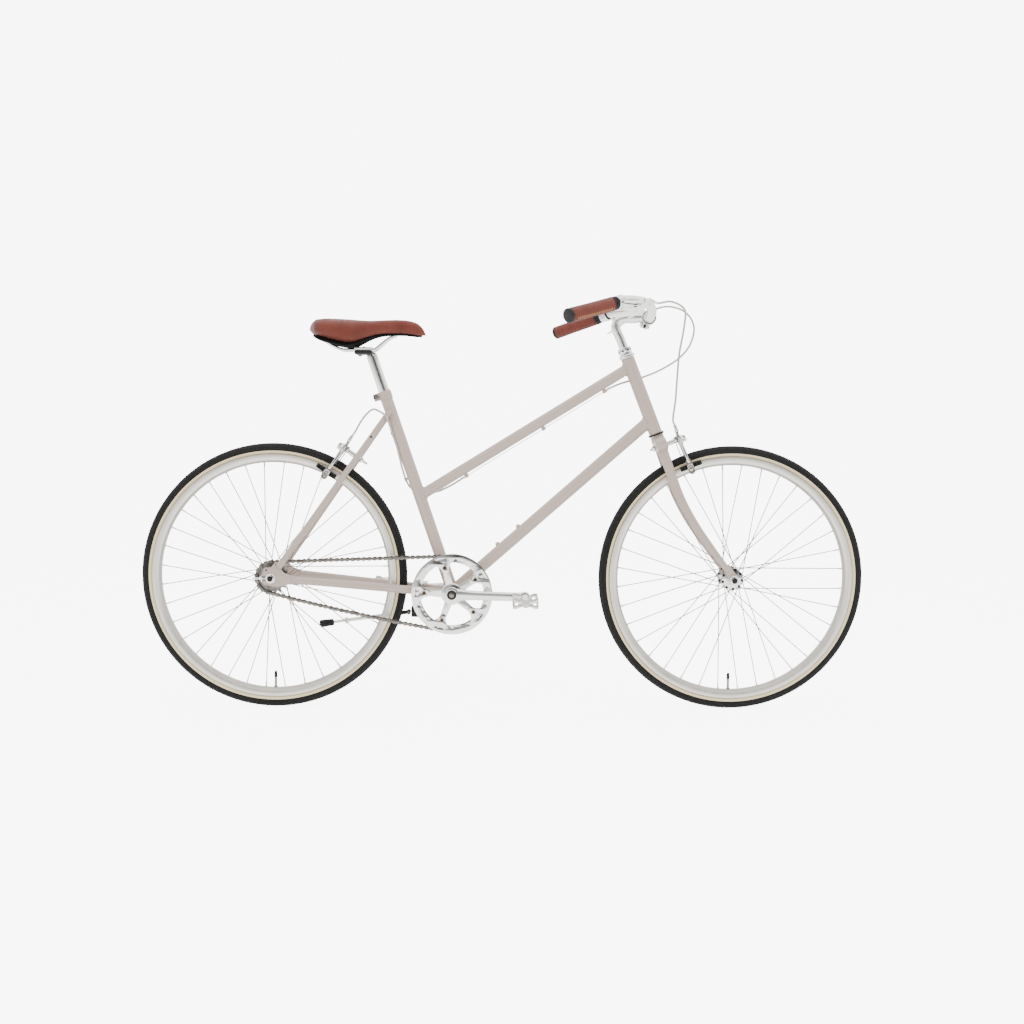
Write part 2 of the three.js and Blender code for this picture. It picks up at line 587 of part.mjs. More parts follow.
// Bearing cups on the head tube's two ends; flip turns the lower one over
function makeCup(flip) {
  const low = clearance;
  const profile = [
    [headset.bore, low], [headset.cupRadius, low], [headset.cupRadius, low + headset.cupHeight],
    [headset.cupStep, low + headset.cupHeight], [headset.cupStep,
      low + headset.cupHeight + headset.stepHeight],
    [headset.bore, low + headset.cupHeight + headset.stepHeight],
  ];
  const lower = profile.slice(0, 3).concat([[headset.bore, low + headset.cupHeight]]);
  return ring(flip ? lower.map(([r, y]) => [r, -y]) : profile, headset.sides);
}

function steerMatrix(up) {
  return new THREE.Matrix4().makeBasis(steerOut, steerUp, vector(0, -1, 0)).setPosition(onSteer(up));
}

function makeCartridge() {
  const end = shell.halfWidth + cartridge.proud;
  const outer = shell.bore - 2 * clearance;
  return ring([[cartridge.bore, -end], [outer, -end], [outer, end], [cartridge.bore, end]], shell.sides);
}

function makeAxle(spacing, dropoutThick) {
  const seat = spacing / 2 + dropoutThick + clearance;
  const end = seat + axle.nutLength + axle.endLength;
  return join(
    rod(vector(0, -end, 0), vector(0, end, 0), axle.radius, axle.radius, axle.sides),
    rod(vector(0, seat, 0), vector(0, seat + axle.nutLength, 0), axle.nutRadius, axle.nutRadius,
      facets.screw),
    rod(vector(0, -seat - axle.nutLength, 0), vector(0, -seat, 0), axle.nutRadius, axle.nutRadius,
      facets.screw),
  );
}

// The cap closes the back of the track end; its rod reaches the axle
function makeTensioner(side) {
  const back = -dropout.rear - clearance;
  const low = rearSpacing / 2;
  const high = low + dropout.thick;
  const cap = slab([[back - tensioner.plate, -dropout.height], [back, -dropout.height],
    [back, dropout.height], [back - tensioner.plate, dropout.height]], low, high);
  const y = (low + high) / 2;
  const screw = rod(vector(back - tensioner.plate / 2, y, 0),
    vector(-axle.radius - tensioner.gapToAxle, y, 0), tensioner.rodRadius, tensioner.rodRadius, facets.pin);
  const solid = join(cap, screw);
  return side > 0 ? solid : mirrored(solid);
}

// Where every roller of the chain lies, in the plane of the sprockets, from the top of the chainring
// back along the upper run, round the rear sprocket, forward along the lower run and round the chainring
function chainRollers() {
  const toRing = Math.atan2(bracket.z - rearAxle.z, bracket.x - rearAxle.x);
  const lean = Math.asin((ringPitchRadius - sprocketPitchRadius) / axleDistance);
  const topAngle = toRing + Math.PI / 2 + lean;
  const lowAngle = toRing - Math.PI / 2 - lean;
  const onCircle = (centre, radius, angle) => [centre.x + radius * Math.cos(angle),
    centre.z + radius * Math.sin(angle)];
  const start = onCircle(bracket, ringPitchRadius, topAngle);
  const back = topAngle + Math.PI / 2;
  const run = axleDistance * Math.cos(lean);
  const straight = Math.floor(run / chain.pitch);
  const rollers = [];
  for (let i = 0; i <= straight; i += 1) {
    rollers.push([start[0] + i * chain.pitch * Math.cos(back),
      start[1] + i * chain.pitch * Math.sin(back)]);
  }
  // The first roller on the rear sprocket is one link from the last of the straight run
  const rest = run - straight * chain.pitch;
  const sprocketStep = (2 * Math.PI) / sprocket.teeth;
  let low = 0;
  let high = sprocketStep;
  const last = rollers[rollers.length - 1];
  for (let i = 0; i < searchSteps; i += 1) {
    const mid = (low + high) / 2;
    const point = onCircle(rearAxle, sprocketPitchRadius, topAngle + mid);
    if (Math.hypot(point[0] - last[0], point[1] - last[1]) < chain.pitch) low = mid;
    else high = mid;
  }
  const firstAngle = rest > 0 ? topAngle + (low + high) / 2 : topAngle + sprocketStep;
  const sprocketWrap = Math.PI - 2 * lean;
  let angle = firstAngle;
  while (angle <= topAngle + sprocketWrap) {
    rollers.push(onCircle(rearAxle, sprocketPitchRadius, angle));
    angle += sprocketStep;
  }
  // Rollers on the chainring, counted from its top round the front
  const ringStep = (2 * Math.PI) / chainring.teeth;
  const ringWrap = topAngle - lowAngle;
  const onRing = Math.floor(ringWrap / ringStep);
  const front = [];
  for (let i = onRing; i >= 1; i -= 1) front.push(onCircle(bracket, ringPitchRadius,
    topAngle - i * ringStep));
  // The lower run hangs in a shallow arc with what is left of the links
  const from = rollers[rollers.length - 1];
  const to = front[0];
  const links = linkCount - rollers.length - front.length + 1;
  const chord = Math.hypot(to[0] - from[0], to[1] - from[1]);
  let bendLow = 1e-7;
  let bendHigh = 0.2;
  for (let i = 0; i < searchSteps; i += 1) {
    const bend = (bendLow + bendHigh) / 2;
    if (chain.pitch * Math.sin((links * bend) / 2) / Math.sin(bend / 2) > chord) bendLow = bend;
    else bendHigh = bend;
  }
  const bend = (bendLow + bendHigh) / 2;
  let heading = Math.atan2(to[1] - from[1], to[0] - from[0]) - ((links - 1) * bend) / 2;
  let point = from;
  for (let i = 1; i < links; i += 1) {
    point = [point[0] + chain.pitch * Math.cos(heading), point[1] + chain.pitch * Math.sin(heading)];
    rollers.push(point);
    heading += bend;
  }
  return { rollers: rollers.concat(front), ringPhase: topAngle, sprocketPhase: firstAngle };
}

const drive = chainRollers();

// Narrow links are closed rings with a roller block at each end and room for a tooth between them;
// wide links are pairs of plates with pointed ends
function makeChain() {
  const solids = [];
  drive.rollers.forEach((from, i) => {
    const to = drive.rollers[(i + 1) % drive.rollers.length];
    const heading = Math.atan2(to[1] - from[1], to[0] - from[0]);
    const turn = new THREE.Matrix4().makeRotationY(-heading).setPosition(from[0], 0, from[1]);
    const { outerShoulder: s, outerHeight: h, outerEnd: e, innerEnd, innerOuter, innerHalf,
      rollerHalf } = chain;
    if (i % 2 === 0) {
      const outline = [[-innerEnd, -innerOuter], [chain.pitch + innerEnd, -innerOuter],
        [chain.pitch + innerEnd, innerOuter], [-innerEnd, innerOuter]];
      const room = [[rollerHalf, -innerHalf], [chain.pitch - rollerHalf, -innerHalf],
        [chain.pitch - rollerHalf, innerHalf], [rollerHalf, innerHalf]];
      solids.push(moved(plate(outline, -chain.innerHeight, chain.innerHeight, [room]), turn));
    } else {
      const outline = [[-e, 0], [-s, -h], [chain.pitch + s, -h], [chain.pitch + e, 0], [chain.pitch + s,
        h], [-s, h]];
      solids.push(moved(slab(outline, chain.outerInner, chain.outerHalf), turn));
      solids.push(moved(slab(outline, -chain.outerHalf, -chain.outerInner), turn));
    }
  });
  return wasm.Manifold.union(solids);
}

// Tooth gaps sit under the rollers: the phase is the angle of one roller
function toothOutline(teeth, pitchRadius, phase) {
  const points = [];
  for (let i = 0; i < teeth; i += 1) {
    const gap = phase + (2 * Math.PI * i) / teeth;
    const tooth = gap + Math.PI / teeth;
    const root = pitchRadius - chainring.rootDrop;
    const tip = pitchRadius + chainring.tipRise;
    for (const [angle, radius, half] of [
      [gap, root, -chainring.rootHalf], [gap, root, chainring.rootHalf], [tooth, tip, 0]]) {
      points.push([radius * Math.cos(angle) - half * Math.sin(angle),
        radius * Math.sin(angle) + half * Math.cos(angle)]);
    }
  }
  return points;
}

function armAngles() {
  return Array.from({ length: crank.arms }, (_, i) => crank.spiderPhase + (2 * Math.PI * i) / crank.arms);
}

function makeChainring() {
  const low = -chainring.thick / 2;
  const high = chainring.thick / 2;
  let solid = slab(toothOutline(chainring.teeth, ringPitchRadius, drive.ringPhase), low, high)
    .subtract(slab(circle(chainring.holeRadius, facets.wide), low - overrun, high + overrun));
  for (const angle of armAngles()) {
    const [bx, bz] = [chainring.boltCircle * Math.cos(angle), chainring.boltCircle * Math.sin(angle)];
    const grow = (chainring.holeRadius + weld) / chainring.boltCircle;
    solid = solid.add(slab(linkOutline([bx, bz], chainring.tabRadius,
      [bx * grow, bz * grow], chainring.tabRadius * evenShare), low, high));
    solid = solid.subtract(slab(circle(chainring.boltHole, facets.screw, bx, bz), low - overrun,
      high + overrun));
  }
  return solid;
}

function makeGuard() {
  const low = -guard.thick / 2;
  const high = guard.thick / 2;
  let solid = slab(circle(guard.radius, guard.sides), low, high)
    .subtract(slab(circle(guard.holeRadius, facets.wide), low - overrun, high + overrun));
  for (const angle of armAngles()) {
    const turn = ([r, across]) => [r * Math.cos(angle) - across * Math.sin(angle),
      r * Math.sin(angle) + across * Math.cos(angle)];
    const tab = [[guard.tabInner, -guard.tabInnerHalf], [guard.holeRadius, -guard.tabOuterHalf],
      [guard.holeRadius + weld, 0], [guard.holeRadius, guard.tabOuterHalf], [guard.tabInner,
        guard.tabInnerHalf]].map(turn);
    const window = [[guard.windowInner, 0], [guard.windowOuter, -guard.windowHalf], [guard.windowOuter,
      guard.windowHalf]].map(turn);
    const hole = circle(chainring.boltHole, facets.screw, ...turn([chainring.boltCircle, 0]));
    solid = solid.add(slab(tab, low, high))
      .subtract(slab(window, low - overrun, high + overrun))
      .subtract(slab(hole, low - overrun, high + overrun));
  }
  return solid;
}

function makeCrankArm(side) {
  const direction = side < 0 ? crank.angle : crank.angle + Math.PI;
  const tip = [crank.length * Math.cos(direction), crank.length * Math.sin(direction)];
  const arm = tapered([vector(0, side * crank.armY, 0), vector(tip[0], side * crank.tipY, tip[1])],
    [[crank.armHeight, crank.armThick], [crank.tipHeight, crank.tipThick]], straightSteps, crank.sides);
  const inner = crank.bossInner;
  const bossPart = slab(circle(crank.bossRadius, facets.tube), Math.min(side * inner,
    side * crank.bossOuter),
    Math.max(side * inner, side * crank.bossOuter));
  const eye = rod(vector(tip[0], side * (crank.tipY - crank.eyeHalf), tip[1]),
    vector(tip[0], side * (crank.tipY + crank.eyeHalf), tip[1]), crank.eyeRadius, crank.eyeRadius,
      facets.eye);
  const cuts = [
    rod(vector(0, -crank.bossOuter - overrun, 0), vector(0, crank.bossOuter + overrun, 0),
      crank.spindleRadius + 3 * clearance, crank.spindleRadius + 3 * clearance, facets.eye),
    rod(vector(tip[0], side * (crank.tipY - crank.eyeHalf - overrun), tip[1]),
      vector(tip[0], side * (crank.tipY + crank.eyeHalf + overrun), tip[1]),
      pedal.axleRadius + 2 * clearance, pedal.axleRadius + 2 * clearance, facets.pin),
  ];
  return { solid: join(arm, bossPart, eye), cuts: join(cuts), tip };
}

// Five arms in one star-shaped plate between the chainring and the guard
function makeSpider() {
  const outer = -chain.line - chainring.thick / 2 - clearance;
  const inner = outer - crank.spiderThick;
  const star = [];
  const holes = [];
  for (const angle of armAngles()) {
    const turn = ([r, across]) => [r * Math.cos(angle) - across * Math.sin(angle),
      r * Math.sin(angle) + across * Math.cos(angle)];
    const { boltCircle } = chainring;
    star.push(...[[crank.spiderRoot, -crank.spiderArm], [boltCircle, -crank.spiderArm],
      [boltCircle + crank.spiderArm, 0],
      [boltCircle, crank.spiderArm], [crank.spiderRoot, crank.spiderArm]].map(turn));
    holes.push(slab(circle(chainring.boltHole, facets.screw, ...turn([boltCircle, 0])), inner - overrun,
      outer + overrun));
  }
  return slab(star, inner, outer).subtract(join(holes));
}

function makePedal(side) {
  const start = crank.tipY + crank.eyeHalf + pedal.inner;
  const end = start + pedal.width;
  const [l, h] = [pedal.length / 2, pedal.height / 2];
  const wing = [[-l, -h], [-l * pedal.waistWidthShare, -h * pedal.waistShare], [l * pedal.waistWidthShare,
    -h * pedal.waistShare],
    [l, -h], [l, h], [l * pedal.waistWidthShare, h * pedal.waistShare], [-l * pedal.waistWidthShare,
      h * pedal.waistShare], [-l, h]];
  const b = pedal.barHeight / 2;
  const barSlab = (x) => slab([[x - pedal.plate, -b], [x, -b], [x, b], [x - pedal.plate, b]], start, end);
  const bore = slab(circle(pedal.barrelBore, facets.eye), start - overrun, end + overrun);
  const solid = join(slab(wing, start, start + pedal.plate), slab(wing, end - pedal.plate, end),
    barSlab(l), barSlab(pedal.plate - l), slab(circle(pedal.barrelRadius, facets.eye), start,
      end)).subtract(bore);
  return side > 0 ? solid : mirrored(solid);
}

function makePedalAxle(side) {
  const start = crank.tipY - crank.eyeHalf;
  const solid = join(
    slab(circle(pedal.axleRadius, facets.pin), start, start + pedal.axleOut + pedal.inner),
    slab(circle(pedal.barrelRadius, facets.screw), crank.tipY + crank.eyeHalf + clearance,
      crank.tipY + crank.eyeHalf + pedal.inner / 2));
  return side > 0 ? solid : mirrored(solid);
}

// Wheels, turned about their own axle. Each ring has a flat side at the bottom, at the profile's radius
function wheelRing(profile) {
  const half = Math.PI / tyre.segments;
  const solid = ring(profile.map(([r, y]) => [r / Math.cos(half), y]), tyre.segments);
  return moved(solid, new THREE.Matrix4().makeRotationY(half));
}

function makeTyre() {
  return wheelRing([
    [rimBedRadius + 2 * clearance, -tyre.beadHalfWidth], [tyre.radius - tyre.wallDrop, -tyre.wallHalfWidth],
    [tyre.radius, -tyre.treadHalfWidth], [tyre.radius, tyre.treadHalfWidth],
    [tyre.radius - tyre.wallDrop, tyre.wallHalfWidth], [rimBedRadius + 2 * clearance, tyre.beadHalfWidth],
  ]);
}

function makeRim() {
  return wheelRing([
    [rimInnerRadius, -rim.innerHalfWidth], [rimSideRadius, -rim.halfWidth], [rimEdgeRadius, -rim.halfWidth],
    [rimBedRadius, -rim.bedHalfWidth], [rimBedRadius, rim.bedHalfWidth], [rimEdgeRadius, rim.halfWidth],
    [rimSideRadius, rim.halfWidth], [rimInnerRadius, rim.innerHalfWidth],
  ]);
}

function makeSpokes(hubRadius, flangeY, flip) {
  const inner = rimInnerRadius + spoke.reach;
  const step = (2 * Math.PI) / spoke.count;
  const spokes = [];
  for (let i = 0; i < spoke.count; i += 1) {
    const leading = i % 2 === 1;
    const hubAngle = i * step + spoke.phase + (flip ? step / 2 : 0);
    const rimAngle = hubAngle + (leading ? -1 : 1) * spoke.crossing;
    const outward = Math.sign(flangeY);
    const spread = leading ? -outward : outward;
    const y = flangeY + spread * spoke.headSpread;
    const from = vector(hubRadius * Math.cos(hubAngle), y, hubRadius * Math.sin(hubAngle));
    const to = vector(inner * Math.cos(rimAngle), outward * spoke.rimOffset + spread * spoke.rimSpread,
      inner * Math.sin(rimAngle));
    spokes.push(rod(from, to, spoke.radius, spoke.radius, spoke.sides));
  }
  return spokes;
}

function makeFrontHub() {
  const end = frontSpacing / 2 - clearance;
  const { flangeY: f, flangeThick: t } = frontHub;
  const half = [
    [frontHub.barrelRadius, f - t / 2], [frontHub.flangeRadius, f - t / 2], [frontHub.flangeRadius,
      f + t / 2],
    [frontHub.barrelRadius, f + t], [frontHub.endRadius, end],
  ];
  const profile = [[axle.bore, -end], ...half.map(([r, y]) => [r, -y]).reverse(), ...half, [axle.bore,
    end]];
  const rootRadius = frontHub.flangeRadius - spoke.rootDrop;
  return wasm.Manifold.union([ring(profile, frontHub.sides), ...makeSpokes(rootRadius, f, false),
    ...makeSpokes(rootRadius, -f, true)]);
}

function makeRearHub() {
  const end = rearSpacing / 2 - clearance;
  const { leftFlangeY: l, rightFlangeY: r, flangeThick: t } = rearHub;
  const profile = [
    [axle.bore, -end], [rearHub.endRadius, -end], [rearHub.endRadius, -r - t / 2], [rearHub.flangeRadius,
      -r - t / 2],
    [rearHub.flangeRadius, -r + t / 2], [rearHub.barrelRadius, -r + t], [rearHub.barrelRadius, l - t],
    [rearHub.flangeRadius, l - t / 2], [rearHub.flangeRadius, l + t / 2], [rearHub.barrelRadius, l + t],
    [rearHub.endRadius, end], [axle.bore, end],
  ];
  const rootRadius = rearHub.flangeRadius - spoke.rootDrop;
  return wasm.Manifold.union([ring(profile, rearHub.sides), ...makeSpokes(rootRadius, l, false),
    ...makeSpokes(rootRadius, -r, true)]);
}

function makeValve() {
  const start = clearance - rimInnerRadius;
  return join(
    rod(vector(0, 0, start), vector(0, 0, start + valve.stem), valve.radius, valve.radius, valve.sides),
    rod(vector(0, 0, start + valve.stem - weld), vector(0, 0, start + valve.stem + valve.cap),
      valve.capRadius, valve.capRadius, valve.sides));
}

function makeSprocket() {
  const plateSolid = slab(toothOutline(sprocket.teeth, sprocketPitchRadius, drive.sprocketPhase),
    -chainring.thick / 2, chainring.thick / 2);
  const body = slab(circle(sprocket.bodyRadius, sprocket.sides), -sprocket.bodyOuter, sprocket.bodyInner);
  const bore = slab(circle(sprocket.bore, sprocket.sides), -sprocket.bodyOuter - overrun,
    sprocket.bodyInner + overrun);
  return join(plateSolid, body).subtract(bore);
}

// Fork: two blades that run down beside the wheel and sweep forward to the axle
function makeFork() {
  const outTo = (share) => THREE.MathUtils.lerp(fork.crownHalf, fork.tipY, share);
  const blades = [1, -1].map((side) => tapered([
    onSteer(fork.crownFromAxle + fork.crownHeight / 2, 0, side * (fork.crownHalf - fork.bladeInset)),
    onSteer(fork.crownFromAxle * bladeShares.top, -fork.bladeBack,
      side * (fork.crownHalf + fork.bladeFlare)),
    onSteer(fork.crownFromAxle * bladeShares.upper, -fork.bladeBack, side * outTo(bladeShares.upperOut)),
    onSteer(fork.crownFromAxle * bladeShares.lower, forkRake * bladeShares.lowerRake,
      side * outTo(bladeShares.lowerOut)),
    onSteer(fork.crownFromAxle * bladeShares.foot, forkRake * bladeShares.footRake,
      side * outTo(bladeShares.footOut)),
    onSteer(fork.tipRise / 2, forkRake * bladeShares.endRake, side * fork.tipY),
  ], [[fork.bladeTop, fork.bladeTopThick], [fork.bladeTip, fork.bladeTip]], fork.bladeSteps, fork.sides));
  const tips = [1, -1].map((side) => {
    const a = [frontAxle.x, frontAxle.z];
    const top = onSteer(fork.tipRise, forkRake * bladeShares.tipRake);
    const low = side > 0 ? frontSpacing / 2 : -frontSpacing / 2 - fork.tipThick;
    const slotWidth = axle.radius + clearance;
    const tipPlate = slab(linkOutline(a, fork.tipRadius, [top.x, top.z], fork.bladeTip), low,
      low + fork.tipThick);
    const slot = slab([[a[0] - slotWidth, a[1] - fork.tipRadius - overrun], [a[0] + slotWidth,
      a[1] - fork.tipRadius - overrun],
      [a[0] + slotWidth, a[1] + slotWidth], [a[0] - slotWidth, a[1] + slotWidth]], low - overrun,
        low + fork.tipThick + overrun);
    return tipPlate.subtract(slot);
  });
  const steererTop = headTube.fromAxle + headTube.length + 2 * clearance + headset.cupHeight
    + headset.stepHeight + headset.nutHeight / 2;
  const steerer = rod(onSteer(fork.crownFromAxle), onSteer(steererTop), fork.steererRadius,
    fork.steererRadius);
  const crown = moved(plate(linkOutline([-fork.crownHalf + weld, 0], fork.crownHeight,
    [fork.crownHalf - weld, 0],
    fork.crownHeight * evenShare), -fork.crownDepth, fork.crownDepth),
  new THREE.Matrix4().makeBasis(vector(0, 1, 0), steerUp,
    steerOut).setPosition(onSteer(fork.crownFromAxle)));
  const bore = rod(onSteer(fork.boreBottom), onSteer(steererTop + overrun), fork.steererBore,
    fork.steererBore);
  const boltHole = rod(onSteer(frontBrakeFromAxle, -fork.crownDepth - overrun),
    onSteer(frontBrakeFromAxle, fork.crownDepth + overrun),
    bridge.boltHole, bridge.boltHole, facets.pin);
  return join(blades, tips, steerer, crown).subtract(join(bore, boltHole));
}

function makeLocknut() {
  return ring([[headset.bore, 0], [headset.nutRadius, 0], [headset.nutRadius, headset.nutHeight],
    [headset.bore, headset.nutHeight]], headset.sides);
}

// Stem: quill along the steering axis, an elbow and a split clamp round the handlebar
function makeStem() {
  const clamp = vector(stem.clampX, 0, stem.clampZ);
  const neck = swept([onSteer(stem.quillBottom), onSteer((stem.quillBottom + stem.quillStraight) / 2),
    onSteer(stem.quillStraight), onSteer(stem.elbow),
    onSteer(stem.elbow + stem.quillRadius, stem.quillRadius), clamp.clone().add(vector(-stem.neckLead, 0,
      0)), clamp],
  stem.quillRadius, stem.steps, stem.sides);
  const clampRing = slab(circle(stem.clampRadius, facets.clamp, stem.clampX, stem.clampZ),
    -stem.clampHalf, stem.clampHalf);
  const down = vector(-Math.sin(stem.lugLean), 0, -Math.cos(stem.lugLean));
  const across = vector(down.z, 0, -down.x);
  const lugMatrix = new THREE.Matrix4().makeBasis(across, vector(0, 1, 0), down.clone().negate())
    .setPosition(clamp.clone().addScaledVector(down, stem.lugDrop - stem.lugLength / 2 + weld));
  const lug = moved(block([0, 0, 0], [2 * stem.lugHalf, 2 * stem.lugHalf, stem.lugLength]), lugMatrix);
  const slit = moved(block([0, 0, 0], [2 * stem.slit, 2 * stem.clampHalf + 2 * overrun,
    stem.lugLength + 4 * weld]), lugMatrix);
  const bore = slab(circle(bar.bulge + 2 * clearance, facets.clamp, stem.clampX, stem.clampZ),
    -stem.clampHalf - overrun, stem.clampHalf + overrun);
  return join(neck, clampRing, lug).subtract(join(bore, slit));
}

// Handlebar and everything on its two ends, drawn for the right side and mirrored for the left
const gripInner = vector(gripLine.innerX, -gripLine.innerY, gripLine.innerZ);
const gripOuter = vector(gripLine.outerX, -gripLine.outerY, gripLine.outerZ);
const gripAlong = gripOuter.clone().sub(gripInner).normalize();
const onGrip = (along, out = 0) => gripInner.clone().addScaledVector(gripAlong,
  along).addScaledVector(leverOut, out);
const leverSide = vector(0, 0, 1).cross(gripAlong).normalize();
const leverDown = leverSide.clone().cross(gripAlong).normalize();
const leverOut = leverSide.clone().multiplyScalar(Math.cos(lever.drop))
  .addScaledVector(leverDown, leverDown.z < 0 ? Math.sin(lever.drop) : -Math.sin(lever.drop));
const leverPin = gripAlong.clone().cross(leverOut).normalize();
const leverMatrix = new THREE.Matrix4().makeBasis(gripAlong, leverOut, leverPin).setPosition(gripInner);

function makeHandlebar() {
  const tip = gripOuter.clone().addScaledVector(gripAlong, -clearance);
  const half = [tip, onGrip(tip.distanceTo(gripInner) / 2), gripInner, onGrip(-gripLine.lead),
    ...bar.bend.map(([x, y, z]) => vector(x, y, z)), vector(stem.clampX, -bar.bulgeHalf - bar.radius,
      stem.clampZ)];
  const left = half.map((p) => vector(p.x, -p.y, p.z)).reverse();
  const tube = swept([...half, vector(stem.clampX, 0, stem.clampZ), ...left], bar.radius, bar.steps,
    bar.sides);
  return join(tube, slab(circle(bar.bulge, facets.tube, stem.clampX, stem.clampZ), -bar.bulgeHalf,
    bar.bulgeHalf));
}

function makeGrip() {
  return rod(gripInner, gripOuter, grip.radius, grip.radius, grip.sides)
    .subtract(rod(onGrip(-overrun), gripOuter.clone().addScaledVector(gripAlong, overrun), grip.bore,
      grip.bore, grip.sides));
}

function makeGripCap() {
  const start = gripOuter.clone().addScaledVector(gripAlong, clearance);
  const end = start.clone().addScaledVector(gripAlong, grip.capLength);
  const middle = start.clone().lerp(end, grip.capStepShare);
  return join(rod(start, middle, grip.capRadius, grip.capRadius, grip.sides),
    rod(middle, end, grip.capRadius, grip.capRadius * grip.capEndShare, grip.sides));
}

// Lever body: a clamp on the bar and a forked arm that holds the lever's pin and the cable's barrel
function makePerch() {
  const half = lever.bodyThick / 2;
  const pivot = [-lever.pivotAlong, lever.pivotOut];
  const end = [pivot[0] - lever.bodyEnd, pivot[1] - lever.bodyDrop];
  const collar = rod(onGrip(-lever.perchAlong - lever.perchHalf),
    onGrip(-lever.perchAlong + lever.perchHalf),
    lever.perchRadius, lever.perchRadius);
  const arm = moved(plate(ribbon([[-lever.perchAlong, 0], [-lever.perchAlong - lever.bodyBend,
    lever.pivotOut - lever.bodyDrop],
    pivot, end], [lever.perchHalf, lever.bodyRadius, lever.bodyRadius, lever.barrelRadius]), -half, half),
      leverMatrix);
  const slotLow = pivot[1] - lever.bodyRadius - 2 * clearance;
  const slotEnd = pivot[0] - lever.bodyRadius - 2 * clearance;
  const slot = moved(plate([[slotEnd, slotLow], [0, slotLow], [0, 2 * pivot[1]], [slotEnd, 2 * pivot[1]]],
    -lever.slot / 2, lever.slot / 2), leverMatrix);
  const barrelStart = onGrip(...end);
  const barrelEnd = barrelStart.clone().addScaledVector(leverBarrelAlong, lever.barrel);
  const bore = rod(onGrip(-lever.perchAlong - 2 * lever.perchHalf),
    onGrip(-lever.perchAlong + 2 * lever.perchHalf),
    lever.bore, lever.bore, facets.eye);
  const pin = moved(plate(circle(lever.pinRadius, facets.screw, pivot[0], pivot[1]), -half, half),
    leverMatrix);
  return join(join(collar, arm).subtract(join(slot, bore)),
    rod(barrelStart, barrelEnd, lever.barrelRadius, lever.barrelRadius, facets.screw), pin);
}

const leverBarrelAlong = gripAlong.clone().negate().add(vector(...lever.barrelLeanShares)).normalize();
const frontCableStart = onGrip(-lever.pivotAlong - lever.bodyEnd, lever.pivotOut - lever.bodyDrop)
  .addScaledVector(leverBarrelAlong, lever.barrel + clearance);

function makeLever() {
  const half = lever.blade / 2;
  const pivot = [-lever.pivotAlong, lever.pivotOut];
  const knee = [-lever.kneeAlong, lever.kneeOut];
  const tip = [lever.tipAlong, lever.tipOut];
  const back = [pivot[0] - lever.eyeRadius, pivot[1] - lever.eyeBack];
  const nearTip = [tip[0] - lever.tipLength, tip[1] - lever.tipCurl];
  const blade = plate(ribbon([back, pivot, knee, nearTip, tip],
    [lever.eyeBack, lever.eyeRadius, lever.kneeRadius, lever.neckRadius, lever.tipRadius]), -half, half);
  const hole = plate(circle(lever.pinRadius + lever.pinGap, facets.pin, pivot[0], pivot[1]),
    -half - overrun, half + overrun);
  return moved(blade.subtract(hole), leverMatrix);
}

// Caliper brake in its own plane: local x is across the wheel, y up to the pivot, z out along the bolt
function caliperPieces(padOffset, cableSide) {
  const inner = padOffset - caliper.armThick - clearance / 2;
  const outer = padOffset + clearance / 2;
  const rimFace = rim.halfWidth + caliper.rimGap;
  const holdX = rimFace + caliper.padThick + clearance;
  const armSolid = (side, low, tail) => {
    const high = low + caliper.armThick;
    const leg = ribbon([[side * caliper.armOut, -caliper.reach - caliper.armEnd], [side * caliper.kneeOut,
      -caliper.kneeDrop],
      [side * caliper.shoulderOut, -caliper.shoulderDrop], [-side * caliper.bossRadius, 0]],
    [caliper.legRadius, caliper.legRadius, caliper.shoulderRadius, caliper.bossRadius]);
    const upper = ribbon([[0, 0], tail], [caliper.bossRadius, caliper.tailRadius]);
    const hole = circle(caliper.boltRadius + caliper.boltGap, caliper.sides);
    return join(plate(leg, low, high), plate(upper, low, high)).subtract(plate(hole, low - overrun,
      high + overrun));
  };
  const stop = [cableSide * caliper.stopOut, caliper.stopRise];
  const anchor = [cableSide * caliper.anchorOut, -caliper.anchorDrop];
  const stopPlane = inner + caliper.armThick / 2;
  const adjuster = rod(vector(stop[0], stop[1] - caliper.adjusterBelow, stopPlane),
    vector(stop[0], stop[1] + caliper.adjuster, stopPlane), caliper.adjusterRadius,
      caliper.adjusterRadius, facets.screw);
  const pad = (side) => {
    const middle = [side * (rimFace + caliper.padThick / 2), -caliper.reach, padOffset];
    return block(middle, [caliper.padThick, caliper.padHeight, caliper.padLength]);
  };
  const stud = (side, low) => rod(vector(side * holdX, -caliper.reach, low + caliper.armThick / 2),
    vector(side * (caliper.armOut + caliper.legRadius + weld), -caliper.reach, low + caliper.armThick / 2),
    caliper.studRadius, caliper.studRadius, facets.screw);
  const crossArm = join(armSolid(-cableSide, outer, anchor), stud(-cableSide, outer));
  const nearArm = join(armSolid(cableSide, inner, stop), adjuster, stud(cableSide, inner));
  const bolt = join(
    rod(vector(0, 0, -caliper.boltRear), vector(0, 0, outer + caliper.armThick + caliper.nutLength),
      caliper.boltRadius, caliper.boltRadius, facets.pin),
    rod(vector(0, 0, outer + caliper.armThick + clearance), vector(0, 0,
      outer + caliper.armThick + caliper.nutLength),
      caliper.nutRadius, caliper.nutRadius, facets.screw));
  const rearNut = (face) => rod(vector(0, 0, -face - clearance - caliper.nutLength), vector(0, 0,
    -face - clearance),
    caliper.nutRadius, caliper.nutRadius, facets.screw);
  const spacer = (face) => rod(vector(0, 0, face + clearance), vector(0, 0, inner - clearance),
    caliper.nutRadius, caliper.nutRadius, facets.pin);
  return { crossArm, nearArm, padCross: pad(-cableSide), padNear: pad(cableSide), bolt, rearNut, spacer,
    stop, stopPlane };
}

